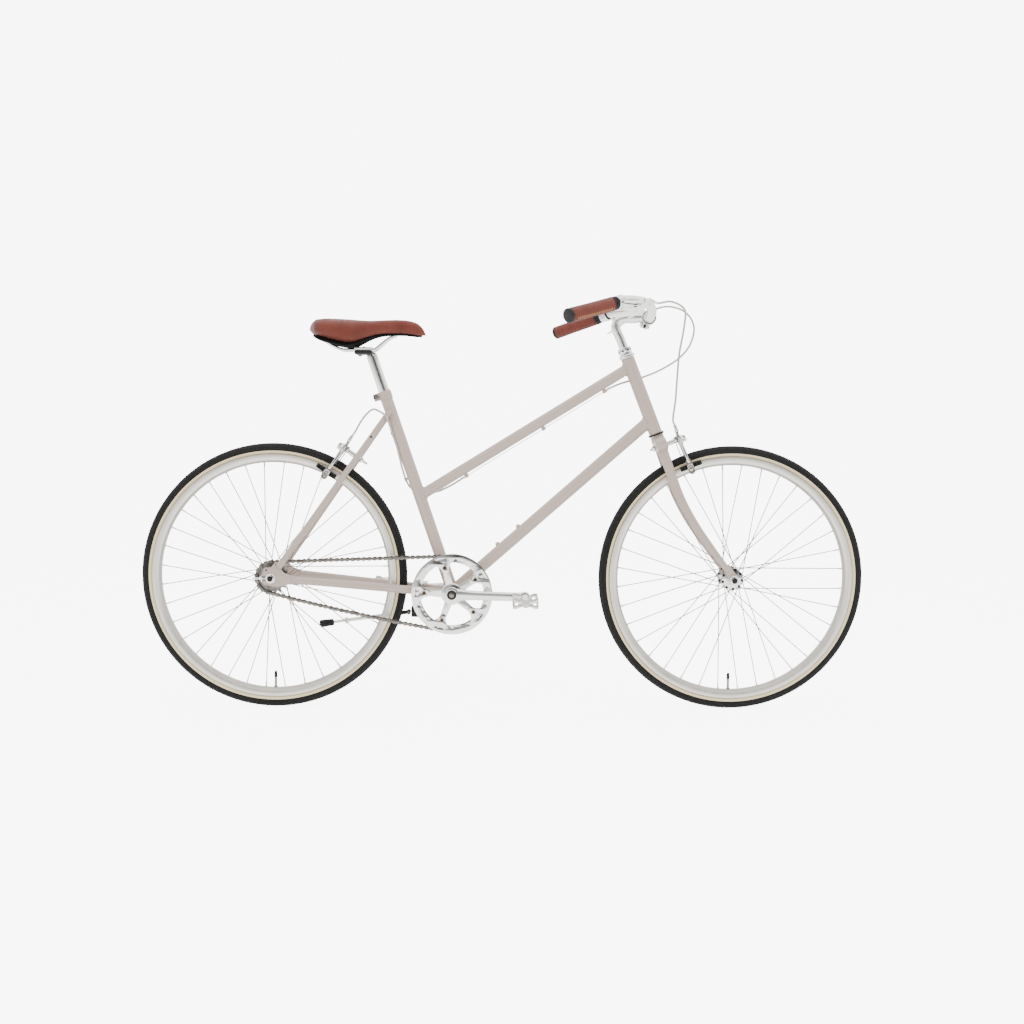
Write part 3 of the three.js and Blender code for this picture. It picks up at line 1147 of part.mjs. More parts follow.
// Saddle: a closed form whose width, top and bottom follow smooth lines from nose to tail
function saddleForm(isBase) {
  const geometry = merge(new THREE.SphereGeometry(1, isBase ? saddle.baseAround : saddle.around,
    saddle.along));
  geometry.rotateZ(-Math.PI / 2);
  const position = geometry.attributes.position;
  const height = saddle.top - saddle.bottom;
  const inset = isBase ? saddle.baseInset : 0;
  for (let i = 0; i < position.count; i += 1) {
    const end = THREE.MathUtils.clamp(position.getX(i), -1, 1);
    const radius = Math.sqrt(1 - end ** 2);
    const x = THREE.MathUtils.lerp(saddle.nose - inset, saddle.tail + inset, (1 - end) / 2);
    const share = (saddle.nose - x) / (saddle.nose - saddle.tail);
    const up = radius > mergeDistance ? position.getY(i) / radius : 0;
    const out = radius > mergeDistance ? position.getZ(i) / radius : 0;
    const fade = Math.min(1, radius / saddleEnd.fade) ** saddleEnd.power;
    const bottom = saddle.bottom + smooth(saddleBottomShares, share) * height;
    const top = saddle.bottom + smooth(saddleTopShares, share) * height;
    const high = isBase ? bottom - saddle.baseGap : top;
    const low = isBase ? high - saddle.baseThick * smooth(saddleBaseShares, share) : bottom;
    const middle = THREE.MathUtils.lerp(low, high, saddleEnd.widestShare);
    const rise = Math.abs(up) ** saddleEnd.square * (up > 0 ? high - middle : low - middle);
    const width = fade * (smooth(saddleWidthShares, share) * saddle.halfWidth - inset);
    position.setXYZ(i, x, Math.sign(out) * Math.abs(out) ** saddleEnd.square * width, middle + fade * rise);
  }
  return toSolid(geometry);
}

function makeRails() {
  const path = [...route(railRoute), ...route(railRoute, -1).reverse()];
  return swept(path, saddle.railRadius, saddle.railSteps, facets.wire);
}

function makeSaddleClamp() {
  const body = block([saddle.clampX, 0, saddle.clampZ], [saddle.clampLength, 2 * saddle.clampHalf,
    saddle.clampHeight]);
  const tunnels = [1, -1].map((side) => rod(vector(saddle.clampX - saddle.clampLength,
    side * saddle.railHalf, saddle.clampZ),
    vector(saddle.clampX + saddle.clampLength, side * saddle.railHalf, saddle.clampZ), saddle.railBore,
      saddle.railBore, facets.pin));
  return body.subtract(join(tunnels));
}

function makePost() {
  const low = onSeat(seatTube.length - post.inside);
  const cutZ = postTop.z + saddle.clampZ - saddle.clampHeight / 2 - clearance;
  const cutter = block([postTop.x, 0, cutZ + 2 * post.radius], [8 * post.radius, 8 * post.radius,
    4 * post.radius]);
  return rod(low, onSeat(seatTube.length + post.proud + post.radius), post.radius, post.radius,
    post.sides).subtract(cutter);
}

// Kickstand: a clamp between the chain stays, a block beside them and a leg folded back along the wheel
function makeStandBracket() {
  const stayZ = THREE.MathUtils.lerp(bracket.z, rearAxle.z,
    (bracket.x - stand.plateX) / (bracket.x - rearAxle.x));
  const low = stayZ - stand.stayGap;
  const high = stayZ + stand.stayGap;
  const size = [stand.plateLength, 2 * stand.plateHalf, stand.plateThick];
  const top = block([stand.plateX, 0, high + stand.plateThick / 2], size);
  const bottom = block([stand.plateX, stand.neck, low - stand.plateThick / 2],
    [stand.plateLength, 2 * stand.plateHalf + 2 * stand.neck, stand.plateThick]);
  const bolt = rod(vector(stand.plateX, 0, low - stand.plateThick), vector(stand.plateX, 0,
    high + stand.plateThick + weld),
    stand.boltRadius, stand.boltRadius, facets.pin);
  const arm = rod(vector(stand.plateX, stand.plateHalf, low - stand.plateThick),
    vector(stand.blockX + stand.neck, stand.blockY, stand.blockZ + stand.blockHeight / 2), stand.neck,
      stand.neck, facets.pin);
  const head = block([stand.blockX + stand.blockLength / 2, stand.blockY, stand.blockZ],
    [stand.blockLength, stand.blockWidth, stand.blockHeight]);
  return join(top, bottom, bolt, arm, head);
}

const standPivot = vector(stand.blockX - stand.gap, stand.blockY, stand.blockZ);
const standFoot = vector(stand.footX, stand.footY, stand.footZ);
const standAlong = standFoot.clone().sub(standPivot).normalize();
const standDown = vector(...stand.swingShares).normalize();
const standAxis = standAlong.clone().cross(standDown).normalize();

function makeStandLeg() {
  const total = standFoot.distanceTo(standPivot);
  const at = (along) => standPivot.clone().addScaledVector(standAlong, along);
  const footStart = total - stand.footLength;
  const eye = rod(standPivot.clone().addScaledVector(standAxis, -stand.eyeHalf),
    standPivot.clone().addScaledVector(standAxis, stand.eyeHalf),
    stand.gap - 3 * clearance, stand.gap - 3 * clearance, facets.clamp);
  return join(eye, rod(at(0), at(footStart - stand.adjuster), stand.legRadius, stand.legRadius, facets.pin),
    rod(at(footStart - stand.adjuster - stand.nutLength), at(footStart - stand.adjuster), stand.nutRadius,
      stand.nutRadius, facets.screw),
    rod(at(footStart - stand.adjuster - weld), at(footStart - clearance), stand.pinRadius,
      stand.pinRadius, facets.pin));
}

function makeStandFoot() {
  const total = standFoot.distanceTo(standPivot);
  const at = (along) => standPivot.clone().addScaledVector(standAlong, along);
  return rod(at(total - stand.footLength), at(total), stand.footRadius * stand.footTopShare,
    stand.footRadius, facets.eye);
}

function route(points, side = 1) {
  return points.map(([x, y, z]) => vector(x, side * y, z));
}

// Assembly: the frame group
const frameGroup = groupAt(bike, 0, 0, 0);
add(frameGroup, 'frame', makeFrame(), paint);

add(frameGroup, 'headset_upper_cup', moved(makeCup(false),
  steerMatrix(headTube.fromAxle + headTube.length)), chrome);
add(frameGroup, 'headset_lower_cup', moved(makeCup(true), steerMatrix(headTube.fromAxle)), chrome);
add(frameGroup, 'kickstand_bracket', makeStandBracket(), blackPlastic);

const bracketGroup = groupAt(bike, bracket.x, bracket.y, bracket.z);
add(bracketGroup, 'bottom_bracket', makeCartridge(), steel);

const rearAxleGroup = groupAt(bike, rearAxle.x, rearAxle.y, rearAxle.z);
add(rearAxleGroup, 'rear_axle', makeAxle(rearSpacing, dropout.thick), chrome);
add(rearAxleGroup, 'chain_tensioner_right', makeTensioner(-1), silver);
add(rearAxleGroup, 'chain_tensioner_left', makeTensioner(1), silver);

const chainGroup = groupAt(bike, 0, -chain.line, 0);
add(chainGroup, 'chain', makeChain(), steel);

// Steering group
const steering = groupAt(bike, 0, 0, 0);
add(steering, 'fork', makeFork(), paint);
add(steering, 'headset_locknut', moved(makeLocknut(), steerMatrix(headTube.fromAxle + headTube.length
  + 2 * clearance + headset.cupHeight + headset.stepHeight)), chrome);
add(steering, 'stem', makeStem(), silver);

add(steering, 'handlebar', makeHandlebar(), silver);
for (const [name, flip] of [['right', (s) => s], ['left', mirrored]]) {
  add(steering, `grip_${name}`, flip(makeGrip()), leather);
  add(steering, `grip_cap_${name}`, flip(makeGripCap()), blackPlastic);
  add(steering, `lever_perch_${name}`, flip(makePerch()), silver);
  add(steering, `brake_lever_${name}`, flip(makeLever()), silver);
}
const frontAxleGroup = groupAt(steering, frontAxle.x, frontAxle.y, frontAxle.z);
add(frontAxleGroup, 'front_axle', makeAxle(frontSpacing, fork.tipThick), chrome);

// Wheels
const frontWheel = groupAt(frontAxleGroup, 0, 0, 0);
add(frontWheel, 'front_tyre', makeTyre(), rubber);
add(frontWheel, 'front_rim', makeRim(), silver);
add(frontWheel, 'front_hub_and_spokes', makeFrontHub(), silver);
add(frontWheel, 'front_valve', makeValve(), steel);
const rearWheel = groupAt(rearAxleGroup, 0, 0, 0);
add(rearWheel, 'rear_tyre', makeTyre(), rubber);
add(rearWheel, 'rear_rim', makeRim(), silver);
add(rearWheel, 'rear_hub_and_spokes', makeRearHub(), silver);
add(rearWheel, 'rear_valve', makeValve(), steel);
const sprocketGroup = groupAt(rearAxleGroup, 0, -chain.line, 0);
add(sprocketGroup, 'rear_sprocket', makeSprocket(), steel);

// Cranks and pedals
const crankGroup = groupAt(bike, bracket.x, bracket.y, bracket.z);
add(crankGroup, 'spindle', rod(vector(0, -crank.spindleHalf, 0), vector(0, crank.spindleHalf, 0),
  crank.spindleRadius, crank.spindleRadius), steel);
const rightArm = makeCrankArm(-1);
const leftArm = makeCrankArm(1);
add(crankGroup, 'crank_right', join(rightArm.solid, makeSpider()).subtract(rightArm.cuts), silver);
add(crankGroup, 'crank_left', leftArm.solid.subtract(leftArm.cuts), silver);
const ringGroup = groupAt(crankGroup, 0, -chain.line, 0);
add(ringGroup, 'chainring', makeChainring(), silver);
const guardGroup = groupAt(crankGroup, 0,
  -chain.line - chainring.thick / 2 - crank.spiderThick - 2 * clearance - guard.thick / 2, 0);
add(guardGroup, 'chain_guard', makeGuard(), silver);
for (const [name, arm, side] of [['right', rightArm, -1], ['left', leftArm, 1]]) {
  const pedalGroup = groupAt(crankGroup, arm.tip[0], 0, arm.tip[1]);
  add(pedalGroup, `pedal_axle_${name}`, makePedalAxle(side), steel);
  add(pedalGroup, `pedal_${name}`, makePedal(side), silver);
}

// Brakes: the calipers' cable side is the chain side
function addCaliper(prefix, pivot, across, up, padOffset, faceHalf, cableSide) {
  const group = new THREE.Group();
  group.applyMatrix4(new THREE.Matrix4().makeBasis(across, up,
    across.clone().cross(up)).setPosition(pivot));
  bike.add(group);
  const pieces = caliperPieces(padOffset, cableSide);
  add(group, `${prefix}_brake_bolt`, join(pieces.bolt, pieces.rearNut(faceHalf), pieces.spacer(faceHalf)),
    silver);
  add(group, `${prefix}_brake_arm_outer`, pieces.crossArm, silver);
  add(group, `${prefix}_brake_arm_inner`, pieces.nearArm, silver);
  add(group, `${prefix}_brake_pad_outer`, pieces.padCross, rubber);
  add(group, `${prefix}_brake_pad_inner`, pieces.padNear, rubber);
  return vector(pieces.stop[0], pieces.stop[1] + caliper.adjuster + clearance, pieces.stopPlane)
    .applyMatrix4(group.matrix);
}
const frontCableEnd = addCaliper('front', frontBrakePivot, vector(0, 1, 0), steerUp,
  caliper.frontPad, fork.crownDepth, -1);
const rearCableEnd = addCaliper('rear', rearBrakePivot, vector(0, -1, 0), stayUp,
  caliper.rearPad, bridge.radius, 1);

// Cables
const rearLoopStart = vector(frontCableStart.x, -frontCableStart.y, frontCableStart.z);
const wireFront = onWire(cableStopPlaces.front - cableStop.length / 2 - clearance);
const wireRear = onWire(cableStopPlaces.rear + cableStop.length / 2 + clearance);
add(steering, 'front_brake_cable', swept([frontCableStart,
  frontCableStart.clone().addScaledVector(leverBarrelAlong, cableLead), ...route(frontCableRoute),
  frontCableEnd.clone().addScaledVector(steerUp, cableLead), frontCableEnd], housingRadius,
    cableSteps.front, facets.wire), housingGrey);
const leftBarrelAlong = vector(leverBarrelAlong.x, -leverBarrelAlong.y, leverBarrelAlong.z);
add(frameGroup, 'rear_housing_front', swept([rearLoopStart,
  rearLoopStart.clone().addScaledVector(leftBarrelAlong, cableLead), ...route(rearLoopRoute),
  wireFront.clone().addScaledVector(topTubeAlong, cableLead), wireFront], housingRadius, cableSteps.rear,
    facets.wire), housingGrey);
add(frameGroup, 'rear_brake_cable', join(
  rod(wireFront.clone().addScaledVector(topTubeAlong, -clearance),
    wireRear.clone().addScaledVector(topTubeAlong, -weld),
    wireRadius, wireRadius, facets.screw),
  swept([wireRear, wireRear.clone().addScaledVector(topTubeAlong, -cableLead), ...route(rearHousingStart),
    ...rearHousingBySeatTube.map(([up, back, y]) => onSeat(up, y).add(vector(-seatUp.z * back, 0,
      seatUp.x * back))),
    rearCableEnd.clone().addScaledVector(stayUp, cableLead), rearCableEnd], housingRadius,
      cableSteps.rear, facets.wire)), housingGrey);

// Seat post and saddle
const seatGroup = groupAt(bike, 0, 0, 0);
add(seatGroup, 'seat_post', makePost(), silver);
const saddleGroup = groupAt(seatGroup, postTop.x, 0, postTop.z);
add(saddleGroup, 'saddle_clamp', makeSaddleClamp(), silver);
add(saddleGroup, 'saddle_rails', makeRails(), chrome);
add(saddleGroup, 'saddle_base', saddleForm(true), blackPlastic);
add(saddleGroup, 'saddle_cover', saddleForm(false), leather);

// Kickstand
const standGroup = groupAt(bike, 0, 0, 0);
add(standGroup, 'kickstand_leg', makeStandLeg(), silver);
add(standGroup, 'kickstand_foot', makeStandFoot(), rubber);

export default bike;
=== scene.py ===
"""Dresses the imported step-through bike: painted tubes, polished alloy, leather, rubber and the studio."""

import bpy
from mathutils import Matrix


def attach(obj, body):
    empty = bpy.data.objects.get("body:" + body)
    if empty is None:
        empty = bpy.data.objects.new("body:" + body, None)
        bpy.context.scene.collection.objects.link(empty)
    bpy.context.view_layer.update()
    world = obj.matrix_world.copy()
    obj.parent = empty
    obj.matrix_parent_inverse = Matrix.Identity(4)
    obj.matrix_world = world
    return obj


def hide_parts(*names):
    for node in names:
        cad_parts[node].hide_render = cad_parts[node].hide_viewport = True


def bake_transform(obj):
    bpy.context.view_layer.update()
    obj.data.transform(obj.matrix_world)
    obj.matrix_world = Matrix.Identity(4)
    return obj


bl_info = {
    "name": "Step-through bike looks",
    "version": (1, 0, 0),
    "blender": (4, 5, 0),
    "location": "View3D > Sidebar > Bike",
    "description": "Builds the visible surfaces of a step-through city bike round its packed frame",
    "category": "Object",
}

import math

import bmesh
import bpy
import numpy as np
from mathutils import Matrix

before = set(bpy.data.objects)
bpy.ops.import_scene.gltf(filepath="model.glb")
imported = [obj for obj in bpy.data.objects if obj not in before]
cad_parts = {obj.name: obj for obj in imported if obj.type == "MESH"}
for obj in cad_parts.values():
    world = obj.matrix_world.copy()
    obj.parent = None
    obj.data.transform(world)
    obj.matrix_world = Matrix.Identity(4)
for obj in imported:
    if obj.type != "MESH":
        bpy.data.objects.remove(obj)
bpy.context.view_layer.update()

MM = 0.001
DEG = math.pi / 180


def vec(x, y, z):
    return np.array([x, y, z], float)


def unit(a):
    return np.asarray(a, float) / np.linalg.norm(a)


# Places on the bike, in millimetres: forward, to the rider's left, up
AXLE_HEIGHT = 313.5
REAR = vec(-540, 0, AXLE_HEIGHT)
FRONT = vec(540, 0, AXLE_HEIGHT)
PITCH, RING_TEETH, SPROCKET_TEETH, LINKS, CHAIN_LINE = 12.7, 44, 18, 98, 42
RING_RADIUS = PITCH / (2 * math.sin(math.pi / RING_TEETH))
SPROCKET_RADIUS = PITCH / (2 * math.sin(math.pi / SPROCKET_TEETH))


def chain_path(distance):
    """The length of a tight chain round both sprockets, their axles at the given distance."""
    lean = math.asin((RING_RADIUS - SPROCKET_RADIUS) / distance)
    wrap = (math.pi / 2 + lean) * RING_TEETH / math.pi + (math.pi / 2 - lean) * SPROCKET_TEETH / math.pi
    return 2 * distance * math.cos(lean) + wrap * PITCH


STAY_LENGTH = 422.0
for _ in range(20):
    STAY_LENGTH -= (chain_path(STAY_LENGTH) - LINKS * PITCH + 0.15) / 2
CRANK_DROP = 36.5
CRANK = vec(REAR[0] + math.sqrt(STAY_LENGTH ** 2 - CRANK_DROP ** 2), 0, AXLE_HEIGHT - CRANK_DROP)
SIDE = vec(0, 1, 0)
HEAD_ANGLE, SEAT_ANGLE, FORK_OFFSET = 68.5 * DEG, 71 * DEG, 44
STEER_UP = vec(-math.cos(HEAD_ANGLE), 0, math.sin(HEAD_ANGLE))
STEER_OUT = vec(math.sin(HEAD_ANGLE), 0, math.cos(HEAD_ANGLE))
SEAT_UP = vec(-math.cos(SEAT_ANGLE), 0, math.sin(SEAT_ANGLE))
SEAT_BACK = vec(-SEAT_UP[2], 0, SEAT_UP[0])


def steer(up, out=0.0, y=0.0):
    """A place beside the steering axis, by its height along it."""
    return FRONT + STEER_UP * up + STEER_OUT * (out - FORK_OFFSET) + SIDE * y


def seat(up, y=0.0, back=0.0):
    """A place beside the seat tube's axis, by its height above the crank."""
    return CRANK + SEAT_UP * up + SEAT_BACK * back + SIDE * y


TOP_FRONT, TOP_REAR = steer(552), seat(240)
DOWN_FRONT = steer(419)
TOP_ALONG, DOWN_ALONG = unit(TOP_FRONT - TOP_REAR), unit(DOWN_FRONT - CRANK)
TOP_UNDER = vec(TOP_ALONG[2], 0, -TOP_ALONG[0])
DOWN_OVER = vec(-DOWN_ALONG[2], 0, DOWN_ALONG[0])
STAY_TOP = seat(452)
STAY_UP = unit(STAY_TOP - REAR)
REAR_BRAKE = REAR + STAY_UP * 342
FRONT_BRAKE = steer(352)
REAR_BRAKE_OUT, FRONT_BRAKE_OUT = np.cross(-SIDE, STAY_UP), np.cross(SIDE, STEER_UP)

# Radii of the tubes, and half widths across the bike
HEAD_TUBE, SEAT_TUBE, DOWN_TUBE, TOP_TUBE, SHELL = 15.9, 14.3, 14.3, 12.7, 20
STAY_FOOT, STAY_WIDE, STAY_NARROW = 32, 62.6, 17
REAR_FACE, FRONT_FACE, TIP_THICK = 60, 50, 5
BOTTLE_BOSSES, WIRE_STOPS = (155, 219), (82, 250, 463)

# From each caliper's pivot: out to its pads, between its two arms, down to its pads, and to its cable's end
REAR_REACH, FRONT_REACH, ARM_STEP, ARM_HALF, PAD_DROP = 40.5, 48, 6.15, 3, -67
CABLE_SIDE, CABLE_EYE, CABLE_TOP = 27, 24, 36.3

CRANK_LENGTH, CRANK_AIM = 170, vec(math.cos(-1 * DEG), 0, math.sin(-1 * DEG))
RING_BOLTS = 65

GRIP_IN, GRIP_OUT = vec(232, -200, 939), vec(137, -280, 908)
GRIP_ALONG = unit(GRIP_OUT - GRIP_IN)
GRIP_LENGTH = float(np.linalg.norm(GRIP_OUT - GRIP_IN))
LEVER_SIDE = unit(np.cross([0, 0, 1], GRIP_ALONG))
LEVER_DOWN = unit(np.cross(LEVER_SIDE, GRIP_ALONG))
LEVER_OUT = LEVER_SIDE * math.cos(22 * DEG) + LEVER_DOWN * math.copysign(math.sin(22 * DEG), -LEVER_DOWN[2])
LEVER_PIN = unit(np.cross(GRIP_ALONG, LEVER_OUT))
BARREL_ALONG = unit(-GRIP_ALONG + vec(0.25, 0, -0.5))


def on_grip(along, out=0.0, pin=0.0):
    """A place beside the right grip, from its inner end; out is towards the lever."""
    return GRIP_IN + GRIP_ALONG * along + LEVER_OUT * out + LEVER_PIN * pin


# Shape making. Every function puts out points in millimetres and faces that turn outwards
def resample(points, count):
    points = np.asarray(points, float)
    walked = np.concatenate([[0], np.cumsum(np.linalg.norm(np.diff(points, axis=0), axis=1))])
    return np.stack([np.interp(np.linspace(0, walked[-1], count), walked, points[:, k])
                     for k in range(points.shape[1])], 1)


def smooth_path(points, count):
    """Points along a smooth curve through the given ones, evenly spaced."""
    p = [np.array(q, float) for q in points]
    p = [2 * p[0] - p[1]] + p + [2 * p[-1] - p[-2]]
    fine = []
    for i in range(1, len(p) - 2):
        a, b, c, d = p[i - 1:i + 3]
        ab, bc, cd = [max(np.linalg.norm(v - u), 1e-6) ** 0.5 for u, v in ((a, b), (b, c), (c, d))]
        into = ((b - a) / ab - (c - a) / (ab + bc) + (c - b) / bc) * bc
        out = ((c - b) / bc - (d - b) / (bc + cd) + (d - c) / cd) * bc
        for t in np.linspace(0, 1, 16, endpoint=False):
            fine.append(b + into * t + (3 * (c - b) - 2 * into - out) * t * t
                        + (2 * (b - c) + into + out) * t ** 3)
    fine.append(p[-2])
    return resample(fine, count)


def basis(x, y, z, at):
    """A matrix whose columns are three directions and a place."""
    m = np.eye(4)
    m[:3, 0], m[:3, 1], m[:3, 2], m[:3, 3] = x, y, z, at
    return m


class Form:
    """Gathers the surfaces of one piece, each with a finish number and a flat map."""

    def __init__(self):
        self.points, self.faces, self.maps, self.numbers, self.count = [], [], [], [], 0

    def add(self, points, faces, maps=None, number=0, matrix=None):
        points = np.asarray(points, float)
        if matrix is not None:
            points = points @ np.asarray(matrix)[:3, :3].T + np.asarray(matrix)[:3, 3]
        middle = points.mean(0)
        volume = 0.0
        for face in faces:
            a = points[face[0]] - middle
            for k in range(1, len(face) - 1):
                volume += a @ np.cross(points[face[k]] - middle, points[face[k + 1]] - middle)
        step = -1 if volume < 0 else 1
        self.points.append(points)
        for i, face in enumerate(faces):
            flat = maps[i] if maps is not None else [(0.0, 0.0)] * len(face)
            self.faces.append([self.count + k for k in face[::step]])
            self.maps.append(flat[::step])
            self.numbers.append(number if np.isscalar(number) else number[i])
        self.count += len(points)
        return self

    def mirrored(self):
        """The same surfaces on the other side of the bike."""
        other = Form()
        other.points = [p * vec(1, -1, 1) for p in self.points]
        other.faces = [f[::-1] for f in self.faces]
        other.maps = [m[::-1] for m in self.maps]
        other.numbers, other.count = list(self.numbers), self.count
        return other

    def mesh(self, name, finishes, angle=32):
        data = bpy.data.meshes.new(name)
        data.from_pydata(np.concatenate(self.points) * MM, [], self.faces)
        layer = data.uv_layers.new(name="flat")
        layer.data.foreach_set("uv", [c for m in self.maps for uv in m for c in uv])
        data.polygons.foreach_set("material_index", self.numbers)
        for f in finishes:
            data.materials.append(material(f))
        data.shade_smooth()
        data.set_sharp_from_angle(angle=angle * DEG)
        data.update()
        return data

    def piece(self, name, body, finishes, replaces=(), angle=32, slot=None):
        """Makes the finished piece; its slot argument is not used."""
        return dress(placed(name, self.mesh(name, finishes, angle)), body, replaces)


def placed(name, data):
    """A new object that shows the given data in the scene."""
    o = bpy.data.objects.new(name, data)
    bpy.context.scene.collection.objects.link(o)
    return o


def dress(o, body, replaces=()):
    """Fixes a finished piece to a body and the solids that it stands for."""
    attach(o, body)
    if replaces:
        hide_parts(*replaces)
    return o


def sweep(form, path, sizes, sides=24, number=0, across=None, square=1.0, closed=False):
    """A round or oval bar along a path; sizes are half heights or pairs of half height and half width."""
    path = np.asarray(path, float)
    n = len(path)
    sizes = np.asarray(sizes, float)
    if sizes.ndim == 0:
        sizes = np.full((n, 2), float(sizes))
    elif sizes.ndim == 1:
        sizes = np.stack([sizes, sizes], 1) if len(sizes) == n else np.tile(sizes, (n, 1))
    along = np.roll(path, -1, 0) - np.roll(path, 1, 0) if closed else np.gradient(path, axis=0)
    along /= np.linalg.norm(along, axis=1)[:, None]
    up = np.zeros((n, 3))
    level = SIDE if abs(along[0][1]) < 0.9 else vec(1, 0, 0)
    up[0] = unit(np.cross(along[0], level if across is None else across))
    for i in range(1, n):
        carried = up[i - 1] - along[i] * (up[i - 1] @ along[i])
        up[i] = unit(carried if across is None else np.cross(along[i], across))
    side = np.cross(up, along)
    turn = np.linspace(0, 2 * math.pi, sides, endpoint=False)
    c, s = np.cos(turn), np.sin(turn)
    c, s = np.sign(c) * np.abs(c) ** square, np.sign(s) * np.abs(s) ** square
    points = (path[:, None] + up[:, None] * (c[None, :, None] * sizes[:, 0, None, None])
              + side[:, None] * (s[None, :, None] * sizes[:, 1, None, None])).reshape(-1, 3)
    walked = np.concatenate([[0], np.cumsum(np.linalg.norm(np.diff(path, axis=0), axis=1))]) * MM
    faces, maps = [], []
    for i in range(n if closed else n - 1):
        k = (i + 1) % n
        for j in range(sides):
            m = (j + 1) % sides
            faces.append((i * sides + j, i * sides + m, k * sides + m, k * sides + j))
            a, b = j / sides, (j + 1) / sides
            maps.append([(a, walked[i]), (b, walked[i]), (b, walked[k] if k else walked[i]),
                         (a, walked[k] if k else walked[i])])
    if not closed:
        faces += [tuple(range(sides))[::-1], tuple((n - 1) * sides + j for j in range(sides))]
        maps += [[(0, 0)] * sides, [(0, 0)] * sides]
    return form.add(points, faces, maps, number)


def rod(form, a, b, ra, rb=None, sides=24, edge=0.4, number=0):
    """A bar with broken edges from a to b."""
    a, b = np.asarray(a, float), np.asarray(b, float)
    rb = ra if rb is None else rb
    d = unit(b - a) * min(edge, np.linalg.norm(b - a) / 3)
    return sweep(form, [a, a + d, b - d, b], [ra - edge, ra, rb, rb - edge], sides, number)


def turn_about(form, profile, centre, axis=SIDE, sides=48, number=0, closed=True):
    """A profile of (radius, along) pairs turned about an axis; an open one has both its ends on the axis."""
    axis = unit(axis)
    x = unit(np.cross(axis, vec(0.31, 0.17, 0.93) if abs(axis[2]) < 0.9 else vec(1, 0, 0)))
    if abs(axis[1]) > 0.99:
        x = vec(1, 0, 0)
    z = np.cross(x, axis)
    profile = np.asarray(profile, float)
    n = len(profile)
    spin = np.linspace(0, 2 * math.pi, sides, endpoint=False)
    points = (np.asarray(centre, float) + profile[:, 1, None, None] * axis
              + profile[:, 0, None, None] * (np.cos(spin)[None, :, None] * x
        + np.sin(spin)[None, :, None] * z))
    steps = np.linalg.norm(np.diff(np.vstack([profile, profile[:1]]), axis=0), axis=1)
    share = np.concatenate([[0], np.cumsum(steps)]) / steps.sum()
    faces, maps, numbers = [], [], []
    for i in range(n if closed else n - 1):
        k = (i + 1) % n
        for j in range(sides):
            m = (j + 1) % sides
            a, b = j / sides, (j + 1) / sides
            quad = [(i * sides + j, (a, share[i])), (i * sides + m, (b, share[i])),
                    (k * sides + m, (b, share[i + 1])), (k * sides + j, (a, share[i + 1]))]
            if profile[i][0] < 1e-6:
                quad = [(i * sides, quad[0][1]), quad[2], quad[3]]
            elif profile[k][0] < 1e-6:
                quad = [quad[0], quad[1], (k * sides, quad[2][1])]
            faces.append(tuple(q[0] for q in quad))
            maps.append([q[1] for q in quad])
            numbers.append(number if np.isscalar(number) else number[i])
    return form.add(points.reshape(-1, 3), faces, maps, numbers)


def arc(radius, start, end, count, x=0.0, y=0.0):
    """Points on a circle from one angle to another, in degrees."""
    return [(x + radius * math.cos(t), y + radius * math.sin(t))
            for t in np.linspace(start, end, count) * DEG]


def circle(radius, sides=32, x=0.0, y=0.0):
    turns = [2 * math.pi * i / sides for i in range(sides)]
    return [(x + radius * math.cos(t), y + radius * math.sin(t)) for t in turns]


def link_outline(a, ra, b, rb, turns):
    """The outline of two circles and the straight lines that touch both."""
    heading = math.degrees(math.atan2(b[1] - a[1], b[0] - a[0]))
    tilt = math.degrees(math.acos(max(-1, min(1, (ra - rb) / math.hypot(b[0] - a[0], b[1] - a[1])))))
    return arc(ra, heading + tilt, heading + 360 - tilt, turns + 1, *a) + arc(rb, heading - tilt,
        heading + tilt, turns + 1, *b)


def ribbon(points, halves, steps=8, ends=5):
    """The outline of a smooth bent strip with round ends."""
    count = (len(points) - 1) * steps + 1
    line = smooth_path([(*p, h) for p, h in zip(points, halves)], count)
    run = np.gradient(line[:, :2], axis=0)
    run /= np.linalg.norm(run, axis=1)[:, None]
    reach = np.stack([-run[:, 1], run[:, 0]], 1) * line[:, 2:3]
    left, right = line[:, :2] + reach, line[:, :2] - reach
    start = math.degrees(math.atan2(run[0][1], run[0][0])) + 180
    end = math.degrees(math.atan2(run[-1][1], run[-1][0]))
    (ax, ay, ar), (bx, by, br) = line[0], line[-1]
    return ([tuple(p) for p in right] + arc(br, end - 90, end + 90, ends + 2, bx, by)[1:-1]
            + [tuple(p) for p in left[::-1]] + arc(ar, start - 90, start + 90, ends + 2, ax, ay)[1:-1])


def plate(form, loops, low, high, bevel=0.4, matrix=None, number=0, rounds=1):
    """A flat plate from an outline and its holes, with broken edges."""
    curve = bpy.data.curves.new("outline", "CURVE")
    curve.dimensions, curve.fill_mode = "2D", "BOTH"
    curve.extrude, curve.bevel_depth, curve.bevel_resolution = (high - low) / 2 - bevel, bevel, rounds
    curve.offset = -bevel
    for loop in loops:
        spline = curve.splines.new("POLY")
        spline.points.add(len(loop) - 1)
        spline.points.foreach_set("co", [c for x, y in loop for c in (x, y, 0, 1)])
        spline.use_cyclic_u = True
    o = placed("outline", curve)
    bpy.context.view_layer.update()
    data = bpy.data.meshes.new_from_object(o.evaluated_get(bpy.context.evaluated_depsgraph_get()))
    bpy.data.objects.remove(o)
    bpy.data.curves.remove(curve)
    work = bmesh.new()
    work.from_mesh(data)
    bmesh.ops.remove_doubles(work, verts=work.verts, dist=0.002)
    bmesh.ops.recalc_face_normals(work, faces=work.faces)
    middle = (low + high) / 2
    points = [(p.co.x, p.co.y, p.co.z + middle) for p in work.verts]
    faces = [tuple(p.index for p in f.verts) for f in work.faces]
    maps = [[(points[k][0] * MM, points[k][1] * MM) for k in f] for f in faces]
    work.free()
    bpy.data.meshes.remove(data)
    return form.add(points, faces, maps, number, matrix)


